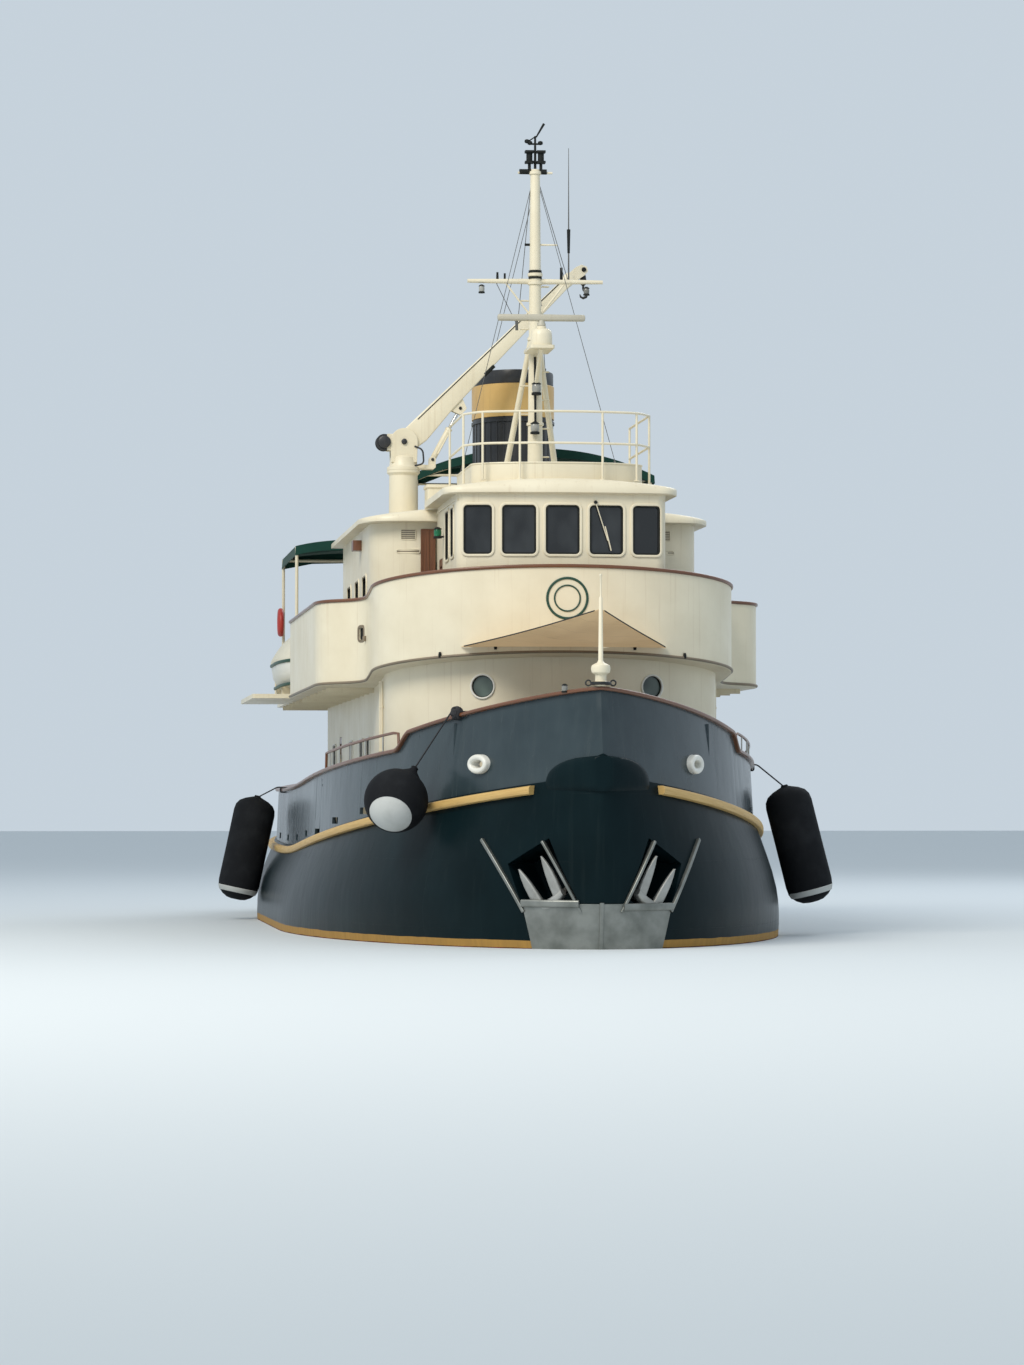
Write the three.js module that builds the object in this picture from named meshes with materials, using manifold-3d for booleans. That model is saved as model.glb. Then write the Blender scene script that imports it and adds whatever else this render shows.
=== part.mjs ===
// A classic sea-going tugboat refitted as a motor yacht, at its real size in millimetres.
// The bow points along -Y, port is +X and +Z is up. The origin is on the waterline, amidships.
// A station is a distance aft of the stem.
import * as THREE from "three";
import { mergeVertices } from "three/addons/utils/BufferGeometryUtils.js";
import Module from "manifold-3d";

const wasm = await Module();
wasm.setup();

// Driving dimensions.
const LENGTH = 33000;
const HALF_BEAM = 4700;
const DRAUGHT = 3700;
const GAP = 0.3; // left between pieces that touch
const SWING_GAP = 8; // left round a door leaf
const PORT = 1;
const STARBOARD = -1;

// The five decks and roofs, as heights above the waterline.
const SHEER_LOW = 1620; // deck edge amidships
const BOAT_DECK_AFT = 4630; // underside of the boat deck behind the bridge front
const BOAT_DECK_THICK = 110;
const BRIDGE_WALL = 1540; // height of the bulwark round the boat deck
const WHEELHOUSE_EAVE = 8000;
const CABIN_EAVE = 7740;

const Y = (station) => station - LENGTH / 2;

// Paint and metal of the real boat.
const PAINTS = {
  hullGreen: { color: 0x0f2a30, roughness: 0.25, metalness: 0 },
  cream: { color: 0xe9e2cb, roughness: 0.4, metalness: 0 },
  teak: { color: 0x7a4524, roughness: 0.5, metalness: 0 },
  ochre: { color: 0xc59a45, roughness: 0.55, metalness: 0 },
  steel: { color: 0x9aa0a0, roughness: 0.3, metalness: 1 },
  darkIron: { color: 0x2a2c2d, roughness: 0.6, metalness: 0.6 },
  glass: { color: 0x20262c, roughness: 0.08, metalness: 0 },
  black: { color: 0x15171a, roughness: 0.4, metalness: 0 },
  gold: { color: 0xc09a3c, roughness: 0.4, metalness: 0 },
  canvasGreen: { color: 0x0c3b31, roughness: 0.9, metalness: 0 },
  canvasSand: { color: 0xb9a07a, roughness: 0.9, metalness: 0 },
  bronze: { color: 0x9a7a3c, roughness: 0.35, metalness: 1 },
  fenderBlack: { color: 0x17181a, roughness: 0.95, metalness: 0 },
};
const materials = Object.fromEntries(
  Object.entries(PAINTS).map(([name, look]) => [name, new THREE.MeshStandardMaterial(look)]),
);

// Solids: joining and cutting.
function toSolid(geometry) {
  const flat = geometry.index ? geometry.toNonIndexed() : geometry;
  const bare = new THREE.BufferGeometry().setAttribute("position", flat.getAttribute("position"));
  const merged = mergeVertices(bare, 1e-2);
  const index = merged.index.array;
  const triVerts = [];
  for (let i = 0; i < index.length; i += 3) {
    const [a, b, c] = index.slice(i, i + 3);
    if (a !== b && b !== c && c !== a) triVerts.push(a, b, c);
  }
  return new wasm.Manifold(
    new wasm.Mesh({
      numProp: 3,
      vertProperties: merged.getAttribute("position").array,
      triVerts: new Uint32Array(triVerts),
    }),
  );
}

function toGeometry(solid) {
  const mesh = solid.getMesh();
  return new THREE.BufferGeometry()
    .setAttribute("position", new THREE.BufferAttribute(mesh.vertProperties, 3))
    .setIndex(new THREE.BufferAttribute(mesh.triVerts, 1));
}

const join = (...solids) => solids.reduce((whole, piece) => whole.add(piece));
const cut = (solid, ...tools) => tools.reduce((rest, tool) => rest.subtract(tool), solid);
const mirrored = (solid) => solid.mirror([1, 0, 0]);

// A piece seated on the one below: what reaches into the support is taken off, with a hair of air left.
const seat = (piece, support) => piece.subtract(support.translate([0, 0, GAP]));

// Shapes. Every one is placed in the ship's own axes.
function block(x0, x1, s0, s1, z0, z1) {
  const geometry = new THREE.BoxGeometry(x1 - x0, s1 - s0, z1 - z0);
  geometry.translate((x0 + x1) / 2, Y((s0 + s1) / 2), (z0 + z1) / 2);
  return toSolid(geometry);
}

// A plan outline, a THREE.Shape in x and station, raised from z0 to z1.
function slab(shape, z0, z1, curveSegments = 7) {
  const geometry = new THREE.ExtrudeGeometry(shape, { depth: z1 - z0, bevelEnabled: false, curveSegments });
  geometry.translate(0, -LENGTH / 2, z0);
  return toSolid(geometry);
}

// A round bar or a taper between two points, each given as [x, station, z].
function bar(from, to, radius, endRadius = radius, sides = 10) {
  const a = new THREE.Vector3(from[0], Y(from[1]), from[2]);
  const b = new THREE.Vector3(to[0], Y(to[1]), to[2]);
  const along = b.clone().sub(a);
  const geometry = new THREE.CylinderGeometry(endRadius, radius, along.length(), sides);
  geometry.applyQuaternion(
    new THREE.Quaternion().setFromUnitVectors(new THREE.Vector3(0, 1, 0), along.clone().normalize()),
  );
  geometry.translate((a.x + b.x) / 2, (a.y + b.y) / 2, (a.z + b.z) / 2);
  return toSolid(geometry);
}

// A turned piece: rows of [radius, height above z] from the axis back to the axis, about an upright axis.
function turned(rows, x, station, z, sides = 16) {
  const geometry = new THREE.LatheGeometry(rows.map(([r, h]) => new THREE.Vector2(r, h)), sides);
  geometry.rotateX(Math.PI / 2);
  geometry.translate(x, Y(station), z);
  return toSolid(geometry);
}

// Rails: bars that share their corner points.
const pipeRun = (points, radius, sides = 6) =>
  join(...points.slice(1).map((point, i) => bar(points[i], point, radius, radius, sides)));
const post = (x, s, low, high, radius = 22) => bar([x, s, low], [x, s, high], radius, radius, 6);

// Hull form. A line runs from the stem to the stern; its half breadth grows over the entrance, stays full,
// and closes over the run. bow and aft hold the power and the roundness of the two ends.
const sheer = (s) => {
  const archRise = 370 * Math.max(0, 1 - s / 800) ** 2;
  return s < 19000
    ? SHEER_LOW + 1280 * ((19000 - s) / 19000) ** 2 + archRise
    : SHEER_LOW + 500 * ((s - 19000) / 14000) ** 2;
};
const BOW_RAIL = { height: 4370, fall: 0.158 };
const STEP = { from: 4400, to: 5000 }; // the rail drops here from the bow to the waist
const waistRail = (s) =>
  s < 22000 ? 2720 + 620 * ((22000 - s) / 17000) ** 2 : 2720 + 380 * ((s - 22000) / 11000) ** 2;
const railHeight = (s) => {
  const bow = BOW_RAIL.height - BOW_RAIL.fall * s;
  const share = THREE.MathUtils.smoothstep(s, STEP.from, STEP.to);
  return THREE.MathUtils.lerp(bow, waistRail(s), share);
};

const level = (z) => () => z;
const HULL_LINES = [
  // height, stem, stern, half breadth, entrance end, run start, [power, roundness] at the bow and aft
  [level(-DRAUGHT + 60), 2500, 27600, 200, 6000, 24000, [2, 0.5], [2, 0.5]],
  [level(-3350), 2050, 27700, 2300, 16000, 16500, [1.7, 1.1], [1.7, 1.3]],
  [level(-2750), 1450, 27900, 3900, 15000, 16500, [1.8, 0.95], [1.8, 1.15]],
  [level(-1800), 950, 28200, 4450, 14500, 18000, [1.9, 0.75], [2, 1]],
  [level(-800), 560, 30000, 4640, 13500, 19500, [2, 0.62], [2, 0.75]],
  [level(0), 330, 32000, HALF_BEAM, 13000, 21000, [2, 0.556], [2, 0.58]],
  [level(900), 170, 32600, 4580, 13500, 22000, [2.4, 0.6], [2, 0.53]],
].map(([height, stem, stern, half, entrance, run, bow, aft]) => ({
  height, stem, stern, half, entrance, run, bow, aft,
}));
const DECK_LINE = {
  height: sheer, stem: 0, stern: LENGTH, half: 4200, entrance: 15000, run: 23000,
  bow: [3, 0.8], aft: [2.2, 0.5],
};
const RAIL_LINE = { ...DECK_LINE, height: railHeight, stem: 250, stern: LENGTH - 150, half: 4150 };

// Fractions of a line's length where the rings lie, closer at the ends and at the step in the rail.
const FRACTIONS = [
  0, 0.003, 0.01, 0.022, 0.04, 0.065, 0.095, 0.127, 0.1315, 0.136, 0.1405, 0.145, 0.18, 0.22, 0.27, 0.33, 0.4,
  0.48, 0.56, 0.64, 0.71, 0.77, 0.82, 0.865, 0.905, 0.94, 0.967, 0.986, 0.996, 1,
];

function planPoint(line, fraction) {
  const s = line.stem + fraction * (line.stern - line.stem);
  const fore = Math.max(0, (line.entrance - s) / (line.entrance - line.stem));
  const aft = Math.max(0, (s - line.run) / (line.stern - line.run));
  const share =
    Math.max(0, 1 - Math.min(1, fore) ** line.bow[0]) ** line.bow[1] *
    Math.max(0, 1 - Math.min(1, aft) ** line.aft[0]) ** line.aft[1];
  return new THREE.Vector2(line.half * share, s);
}

// The port point of a line, moved outward in plan; at the two ends outward is straight ahead and astern.
function linePoint(line, fraction, out = 0, raise = 0) {
  const here = planPoint(line, fraction);
  const normal = new THREE.Vector2(0, fraction <= 0 ? -1 : 1);
  if (fraction > 0 && fraction < 1) {
    const step = Math.min(1e-4, fraction / 2, (1 - fraction) / 2);
    const along = planPoint(line, fraction + step).sub(planPoint(line, fraction - step)).normalize();
    normal.set(along.y, -along.x);
  }
  const x = Math.max(0, here.x + out * normal.x);
  const edge = fraction <= 0 || fraction >= 1;
  return new THREE.Vector3(edge ? 0 : x, Y(here.y + out * normal.y), line.height(here.y) + raise);
}

// Joins rings along the port side and mirrors them to starboard. The first and last ring lie on the
// centreplane. An open ring starts and ends on the centreplane too.
function mirroredLoft(rings, closed, capEnd) {
  const corners = [];
  const count = rings[0].length;
  const put = (a, b, c) => {
    corners.push(...a, ...b, ...c);
    corners.push(-a.x, a.y, a.z, -c.x, c.y, c.z, -b.x, b.y, b.z);
  };
  for (let i = 0; i < rings.length - 1; i++) {
    for (let j = 0; j < (closed ? count : count - 1); j++) {
      const k = (j + 1) % count;
      put(rings[i][j], rings[i + 1][j], rings[i + 1][k]);
      put(rings[i][j], rings[i + 1][k], rings[i][k]);
    }
  }
  if (capEnd) capEnd(rings.at(-1)).forEach(([a, b, c]) => put(a, b, c));
  const geometry = new THREE.BufferGeometry();
  geometry.setAttribute("position", new THREE.Float32BufferAttribute(corners, 3));
  return toSolid(geometry);
}

const meshes = [];
function put(name, paint, solid) {
  const mesh = new THREE.Mesh(toGeometry(solid), materials[paint]);
  mesh.name = name;
  meshes.push(mesh);
}

const MARGIN = 300; // flat strip of deck along the edge, under the bulwark
const CAMBER = 90;
function hullBody(out) {
  const rings = FRACTIONS.map((f) => {
    const low = HULL_LINES[0];
    const keelPoint = linePoint(low, f, out);
    const keel = new THREE.Vector3(0, keelPoint.y, -DRAUGHT - out);
    const sides = HULL_LINES.map((line) => linePoint(line, f, out));
    const edge = linePoint(DECK_LINE, f, out);
    const margin = linePoint(DECK_LINE, f, -MARGIN);
    const centreStation = 600 + f * (LENGTH - 1200);
    const centre = new THREE.Vector3(0, Y(centreStation), sheer(centreStation) + CAMBER);
    return [keel, ...sides, edge, margin, centre];
  });
  return mirroredLoft(rings, false);
}

// Skeg, stern tube boss and the sole piece that carries the rudder's heel.
const SHAFT_Z = -2400;
const RUDDER_STOCK = 30650;
function sternGear() {
  const skegSide = new THREE.Shape();
  skegSide.moveTo(21000, -DRAUGHT);
  skegSide.lineTo(31100, -DRAUGHT);
  skegSide.lineTo(31100, -DRAUGHT + 170);
  skegSide.lineTo(29050, -DRAUGHT + 260);
  skegSide.lineTo(28700, -1500);
  skegSide.lineTo(26500, -1200);
  const plate = new THREE.ExtrudeGeometry(skegSide, { depth: 300, bevelEnabled: false });
  plate.translate(0, 0, -150);
  plate.applyMatrix4(new THREE.Matrix4().makeBasis(
    new THREE.Vector3(0, 1, 0), new THREE.Vector3(0, 0, 1), new THREE.Vector3(1, 0, 0)));
  plate.translate(0, -LENGTH / 2, 0);
  const boss = bar([0, 26800, SHAFT_Z], [0, 29150, SHAFT_Z], 420, 230, 16);
  return join(toSolid(plate), boss);
}

// Anchor pockets: two slanted recesses in the bow, with the anchor's crown at the bottom.
const POCKET = {
  lowX: 690, highX: 1200, lowZ: 640, highZ: 1640, half: 480, station: 700, deep: 850, yaw: 38,
};
function pocketTool() {
  const slant = Math.atan2(POCKET.highX - POCKET.lowX, POCKET.highZ - POCKET.lowZ);
  const rise = Math.hypot(POCKET.highX - POCKET.lowX, POCKET.highZ - POCKET.lowZ);
  const geometry = new THREE.BoxGeometry(2 * POCKET.half, 2 * POCKET.deep, rise);
  geometry.rotateY(slant);
  geometry.rotateZ(THREE.MathUtils.degToRad(POCKET.yaw));
  geometry.translate((POCKET.lowX + POCKET.highX) / 2, Y(POCKET.station), (POCKET.lowZ + POCKET.highZ) / 2);
  return toSolid(geometry);
}
const pocketPort = pocketTool();
const pocketStarboard = mirrored(pocketPort);
const stockHole = bar([0, RUDDER_STOCK, -1500], [0, RUDDER_STOCK, 160], 92, 92, 20);
const heelHole = bar([0, RUDDER_STOCK, -DRAUGHT + 120], [0, RUDDER_STOCK, -DRAUGHT + 400], 66, 66, 20);
const hull = cut(join(hullBody(0), sternGear()), pocketPort, pocketStarboard, stockHole, heelHole);

// Everything that lies on the hull's skin is cut from a slightly larger hull.
const skin = (out, region) => hullBody(out).intersect(region).subtract(hullBody(GAP));

// Hinges on the upright edge of a leaf. Each is a pair of knuckles on one axis: the lower one is strapped to
// the frame, forward of the opening, and the upper one to the leaf, with a hair of air between them.
const KNUCKLE = { radius: 22, tall: 90 };
function hinge({ faceX, hingeX, hingeS, leafFrom, z }) {
  const side = Math.sign(hingeX - faceX);
  const strap = (rootFrom, rootTo, low) => join(
    block(hingeX - 9, hingeX + 9, Math.min(hingeS, rootFrom), Math.max(hingeS, rootTo), low + 20, low + 70),
    block(
      Math.min(faceX - side * 6, hingeX), Math.max(faceX - side * 6, hingeX), rootFrom, rootTo,
      low + 20, low + 70,
    ),
  );
  const barrel = (low) => bar([hingeX, hingeS, low], [hingeX, hingeS, low + KNUCKLE.tall], KNUCKLE.radius,
    KNUCKLE.radius, 12);
  const upper = z + KNUCKLE.tall + GAP;
  return {
    frame: join(barrel(z), strap(hingeS - 80, hingeS - 40, z)),
    leaf: join(barrel(upper), strap(leafFrom + 20, leafFrom + 60, upper)),
  };
}

// Bulwark and its teak cap, each a wall swept round the whole deck and then cut at the gates.
const WALL_IN = 30; // outer face of the bulwark, inside the deck edge
const WALL = 60;
const CAP = { out: 45, width: 200, thick: 65 };
function wallSweep(base, top, outBase, outTop, width, dropBase, riseTop) {
  return mirroredLoft(FRACTIONS.map((f) => [
    linePoint(base, f, outBase, dropBase),
    linePoint(top, f, outTop, riseTop),
    linePoint(top, f, outTop - width, riseTop),
    linePoint(base, f, outBase - width, dropBase),
  ]), true);
}
const wholeWall = wallSweep(DECK_LINE, RAIL_LINE, -WALL_IN, -WALL_IN, WALL, -25, 12);
const wholeCap = wallSweep(RAIL_LINE, RAIL_LINE, CAP.out, CAP.out, CAP.width, 0, CAP.thick);

const GATE = { from: 10400, to: 11200, sill: 70, aftGap: 32 };
const gateHole = block(3000, 5000, GATE.from, GATE.to, 0, 4000);
const gateHoles = join(gateHole, mirrored(gateHole));
const wallOnDeck = cut(seat(wholeWall, hull), wholeCap.translate([0, 0, -GAP]));
const foreHalf = block(-6000, 6000, -500, (GATE.from + GATE.to) / 2, -100, 6000);
const openWall = cut(wallOnDeck, gateHoles);
const openCap = cut(wholeCap, gateHoles);
const gateSill = sheer(GATE.to) + GATE.sill;
const gateBox = block(3000, 5000, GATE.from + SWING_GAP, GATE.to - GATE.aftGap, gateSill, 4000);
const gateLeaf = join(wholeWall, wholeCap).intersect(gateBox);
const GATE_HINGE = { x: 3862, station: GATE.from - 6, face: 4015, heights: [2150, 2750] };
const gateHinges = GATE_HINGE.heights.map((z) => hinge({
  faceX: GATE_HINGE.face, hingeX: GATE_HINGE.x, hingeS: GATE_HINGE.station,
  leafFrom: GATE.from + SWING_GAP, z,
}));
const gatePort = join(gateLeaf, ...gateHinges.map((pair) => pair.leaf));
const gateFrames = join(...gateHinges.map((pair) => pair.frame));

// Rubbing strake: a bar of ochre-painted wood along the deck edge, with square ends.
const STRAKE = { high: 40, low: 190, proud: 150, from: 850, to: 31600 };
const strakeRing = (f) => [
  linePoint(DECK_LINE, f, -60, -STRAKE.low),
  linePoint(DECK_LINE, f, STRAKE.proud - 45, -STRAKE.low),
  linePoint(DECK_LINE, f, STRAKE.proud, -STRAKE.low + 50),
  linePoint(DECK_LINE, f, STRAKE.proud, -STRAKE.high - 50),
  linePoint(DECK_LINE, f, STRAKE.proud - 45, -STRAKE.high),
  linePoint(DECK_LINE, f, -60, -STRAKE.high),
];
const strakeRegion = block(1, 6000, STRAKE.from, STRAKE.to, 0, 4000);
const strakePort = cut(mirroredLoft(FRACTIONS.map(strakeRing), true).intersect(strakeRegion), hullBody(GAP));

// Stainless guard plate round the stem, with cheek rails up both sides of each anchor pocket.
const PLATE = { thick: 25, top: 760, bottom: -250, half: 1260 };
const plateRegion = block(-PLATE.half, PLATE.half, -100, 1500, PLATE.bottom, PLATE.top);
const RAIL_FEET = [330, 1200];
function stemPlate() {
  const slant = Math.atan2(POCKET.highX - POCKET.lowX, POCKET.highZ - POCKET.lowZ);
  const strips = RAIL_FEET.map((foot) => {
    const strip = new THREE.BoxGeometry(75, 3000, 1180);
    strip.translate(0, 0, 590);
    strip.rotateY(slant);
    strip.translate(foot, Y(700), PLATE.top - 120);
    return toSolid(strip);
  });
  const rails = strips.map((strip) => hullBody(70).intersect(strip).subtract(hullBody(GAP)));
  const plate = skin(PLATE.thick, plateRegion);
  const front = block(-3000, 3000, -500, 2600, -1000, 4000);
  const port = join(...rails.map((rail) => rail.intersect(front)));
  return cut(join(plate, port, mirrored(port)), pocketPort, pocketStarboard);
}

// Anchor, drawn in the pocket's own axes: across, inward and up its slant. The crown lies low, two flukes
// stand up from it and the shank goes in to the back of the pocket.
function intoPocket(solid) {
  const slant = Math.atan2(POCKET.highX - POCKET.lowX, POCKET.highZ - POCKET.lowZ);
  return solid
    .rotate([0, THREE.MathUtils.radToDeg(slant), POCKET.yaw])
    .translate([(POCKET.lowX + POCKET.highX) / 2, Y(POCKET.station), (POCKET.lowZ + POCKET.highZ) / 2]);
}
function anchor() {
  const mid = LENGTH / 2;
  const crown = bar([-290, mid - 20, -400], [290, mid - 20, -400], 95, 95, 10);
  const flukes = [-1, 1].map((side) =>
    bar([side * 215, mid - 50, -400], [side * 245, mid - 90, 330], 90, 30, 8));
  const shank = bar([0, mid, -400], [0, mid + 1000, -60], 65, 55, 8);
  const placed = intoPocket(join(crown, ...flukes, shank));
  return placed.subtract(hull.translate([0, -GAP, 0]));
}

// Oval fairlead: a sleeve through the bulwark, square to it in plan.
const FAIRLEAD = { station: 2150, z: 3110, long: 235, high: 135, rim: 62, deep: 230 };
function ovalSleeve(long, high, hole, deep) {
  const ellipse = (path, inset) => path.absellipse(0, 0, long - inset, high - inset, 0, 2 * Math.PI);
  const shape = ellipse(new THREE.Shape(), 0);
  if (hole) shape.holes.push(ellipse(new THREE.Path(), hole));
  const geometry = new THREE.ExtrudeGeometry(shape, { depth: deep, bevelEnabled: false, curveSegments: 9 });
  geometry.translate(0, 0, -deep / 2);
  geometry.rotateX(Math.PI / 2);
  const fraction = FAIRLEAD.station / LENGTH;
  const inside = linePoint(DECK_LINE, fraction, -WALL_IN - WALL / 2);
  const outside = linePoint(DECK_LINE, fraction, 200);
  geometry.rotateZ(Math.atan2(outside.y - inside.y, outside.x - inside.x) + Math.PI / 2);
  geometry.translate(inside.x - 25, inside.y, FAIRLEAD.z);
  return toSolid(geometry);
}
const fairleadPort = ovalSleeve(FAIRLEAD.long, FAIRLEAD.high, FAIRLEAD.rim, FAIRLEAD.deep);
const fairleadHole = ovalSleeve(FAIRLEAD.long + GAP, FAIRLEAD.high + GAP, 0, 800);

put("hull", "hullGreen", hull);
put("bulwark_fore", "hullGreen", join(
  cut(openWall.intersect(foreHalf), fairleadHole, mirrored(fairleadHole)), gateFrames, mirrored(gateFrames)));
put("bulwark_aft", "hullGreen", cut(openWall, foreHalf));
put("cap_rail_fore", "teak", openCap.intersect(foreHalf));
put("cap_rail_aft", "teak", cut(openCap, foreHalf));
put("gate_port", "hullGreen", gatePort);
put("gate_starboard", "hullGreen", mirrored(gatePort));
put("rubbing_strake_port", "ochre", strakePort);
put("rubbing_strake_starboard", "ochre", mirrored(strakePort));
put("stem_plate", "steel", stemPlate());
put("anchor_port", "steel", anchor());
put("anchor_starboard", "steel", mirrored(anchor()));

// Plan outlines, in x and station.
function roundFront(half, front, depth, aft, corner = 150) {
  const shape = new THREE.Shape();
  shape.absellipse(0, front + depth, half, depth, Math.PI, 2 * Math.PI, false, 0);
  shape.lineTo(half, aft - corner);
  shape.quadraticCurveTo(half, aft, half - corner, aft);
  shape.lineTo(-half + corner, aft);
  shape.quadraticCurveTo(-half, aft, -half, aft - corner);
  return shape;
}
function boxedFront(half, front, bow, frontHalf, corner, aft) {
  const shape = new THREE.Shape();
  shape.moveTo(-frontHalf, front + bow);
  shape.quadraticCurveTo(0, front - bow, frontHalf, front + bow);
  shape.quadraticCurveTo(half, front + bow + 60, half, front + bow + corner);
  shape.lineTo(half, aft - 100);
  shape.quadraticCurveTo(half, aft, half - 100, aft);
  shape.lineTo(-half + 100, aft);
  shape.quadraticCurveTo(-half, aft, -half, aft - 100);
  shape.lineTo(-half, front + bow + corner);
  shape.quadraticCurveTo(-half, front + bow + 60, -frontHalf, front + bow);
  return shape;
}

// Boat deck: a round front, then an S out to the wings on both sides, then a long straight run aft.
const BRIDGE = {
  front: 5200, half: 3300, depth: 2200, wingHalf: 4190, wingFrom: 8500, wingTo: 10100, aft: 18200,
};
const DECK_END = 27000;
const boatDeckDrop = (s) => 480 * (Math.max(0, 10200 - s) / 5000) ** 1.6;
const boatDeckUnder = (s) => BOAT_DECK_AFT + boatDeckDrop(s);
const boatDeckTop = (s) => boatDeckUnder(s) + BOAT_DECK_THICK;
function bridgePath(to, aftHalf = BRIDGE.wingHalf) {
  const path = new THREE.Path();
  path.absellipse(0, BRIDGE.front + BRIDGE.depth, BRIDGE.half, BRIDGE.depth, -Math.PI / 2, 0, false, 0);
  path.lineTo(BRIDGE.half, BRIDGE.wingFrom);
  const middle = (BRIDGE.wingFrom + BRIDGE.wingTo) / 2;
  path.bezierCurveTo(
    BRIDGE.half, middle + 350, BRIDGE.wingHalf, middle - 350, BRIDGE.wingHalf, BRIDGE.wingTo);
  path.lineTo(BRIDGE.wingHalf, BRIDGE.aft);
  if (to > BRIDGE.aft) path.lineTo(aftHalf, to);
  return path.getPoints(9);
}
// Points beside a path in plan: positive inset is towards the ship.
function besidePath(points, inset) {
  return points.map((point, i) => {
    if (i === 0) return new THREE.Vector2(0, point.y + inset);
    const before = points[i - 1];
    const after = points[Math.min(i + 1, points.length - 1)];
    const along = after.clone().sub(before).normalize();
    return new THREE.Vector2(point.x - inset * along.y, point.y + inset * along.x);
  });
}
function capLastRing(ring) {
  const corners = [];
  for (let j = 1; j < ring.length - 1; j++) corners.push([ring[0], ring[j + 1], ring[j]]);
  return corners;
}
function sweptWall(points, outInset, thick, low, high) {
  const outer = besidePath(points, outInset);
  const inner = besidePath(points, outInset + thick);
  return mirroredLoft(points.map((point, i) => [
    new THREE.Vector3(outer[i].x, Y(outer[i].y), low(point.y)),
    new THREE.Vector3(outer[i].x, Y(outer[i].y), high(point.y)),
    new THREE.Vector3(inner[i].x, Y(inner[i].y), high(point.y)),
    new THREE.Vector3(inner[i].x, Y(inner[i].y), low(point.y)),
  ]), true, capLastRing);
}
function deckPlate(points, inset, low, high) {
  const edge = besidePath(points, inset);
  edge[0].x = 0;
  return mirroredLoft(edge.map((point) => [
    new THREE.Vector3(0, Y(point.y), low(point.y)),
    new THREE.Vector3(point.x, Y(point.y), low(point.y)),
    new THREE.Vector3(point.x, Y(point.y), high(point.y)),
    new THREE.Vector3(0, Y(point.y), high(point.y)),
  ]), false, capLastRing);
}

const BRIDGE_WALL_THICK = 90;
const bridgePoints = bridgePath(BRIDGE.aft);
const deckPoints = bridgePath(DECK_END, BRIDGE.wingHalf - 90);
const TENDER_SHELF = { from: 18600, to: 23900, out: 4950 };
const shelf = block(-TENDER_SHELF.out, -4000, TENDER_SHELF.from, TENDER_SHELF.to,
  boatDeckUnder(TENDER_SHELF.to) + 10, boatDeckTop(TENDER_SHELF.to) - 10);
const boatDeck = join(deckPlate(deckPoints, BRIDGE_WALL_THICK + GAP, boatDeckUnder, boatDeckTop), shelf);
const deckAndAbove = deckPlate(
  deckPoints, BRIDGE_WALL_THICK + GAP, (s) => boatDeckUnder(s) - GAP, () => 9000);
const deckAndBelow = deckPlate(deckPoints, BRIDGE_WALL_THICK + GAP, () => 3000, (s) => boatDeckTop(s) + GAP);
const bridgeCap = sweptWall(bridgePoints, -35, 160, (s) => boatDeckUnder(s) + BRIDGE_WALL,
  (s) => boatDeckUnder(s) + BRIDGE_WALL + 60);
const bridgeWall = sweptWall(bridgePoints, 0, BRIDGE_WALL_THICK, boatDeckUnder,
  (s) => boatDeckUnder(s) + BRIDGE_WALL + 12).subtract(bridgeCap.translate([0, 0, -GAP]));
const frontRegion = block(-6000, 6000, 0, BRIDGE.wingTo, 3000, 8000);
const sideRegion = block(0, 6000, BRIDGE.wingTo + GAP, LENGTH, 3000, 8000);
const bridgeSide = bridgeWall.intersect(sideRegion);

// Rooms: an outer outline less the same outline drawn one wall thickness in.
const WALL_THICK = 70;
const room = (outer, inner, low, high) => cut(slab(outer, low, high), slab(inner, low - 50, high + 50));

// Main deckhouse, from the deck up to the boat deck.
const HOUSE = { half: 3050, front: 5600, depth: 2100, aft: 24000 };
const HOUSE_DOOR = { from: 19300, to: 19950, low: 1900, high: 3850 };
const HOUSE_WINDOWS = [
  // from, to: stations of the saloon windows in both side walls
  [11300, 12100], [13100, 13900], [15900, 16700], [21000, 21800],
];
const HOUSE_SILL = [3050, 3700];
const doorHole = (door, wall) => block(wall - 150, wall + 150, door.from, door.to, door.low, door.high);
const houseShell = room(
  roundFront(HOUSE.half, HOUSE.front, HOUSE.depth, HOUSE.aft),
  roundFront(HOUSE.half - WALL_THICK, HOUSE.front + WALL_THICK, HOUSE.depth, HOUSE.aft - WALL_THICK),
  1500, 5400);
const windowHoles = (table, x0, x1, low, high) =>
  table.map(([from, to]) => block(x0, x1, from, to, low, high));
const houseHoles = join(
  ...windowHoles(HOUSE_WINDOWS, 2500, 3500, ...HOUSE_SILL), doorHole(HOUSE_DOOR, HOUSE.half));
const deckhouseWalls = cut(seat(houseShell, hull), deckAndAbove, houseHoles, mirrored(houseHoles));

// A side door of a room: the leaf, flush with the wall, and its hinge on the forward edge.
function sideDoor(door, wallX, thick = 50) {
  const hingeS = door.from - 14;
  const hingeX = wallX + 34;
  const leaf = block(wallX - thick, wallX, door.from + SWING_GAP, door.to - SWING_GAP - 6,
    door.low + SWING_GAP, door.high - SWING_GAP);
  const pairs = [0.18, 0.72].map((share) => hinge({
    faceX: wallX, hingeX, hingeS, leafFrom: door.from + SWING_GAP,
    z: door.low + share * (door.high - door.low),
  }));
  return {
    leaf: join(leaf, ...pairs.map((pair) => pair.leaf)),
    frame: join(...pairs.map((pair) => pair.frame)),
  };
}
const houseDoor = sideDoor(HOUSE_DOOR, HOUSE.half);
const deckhouse = join(deckhouseWalls, houseDoor.frame, mirrored(houseDoor.frame));

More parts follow.
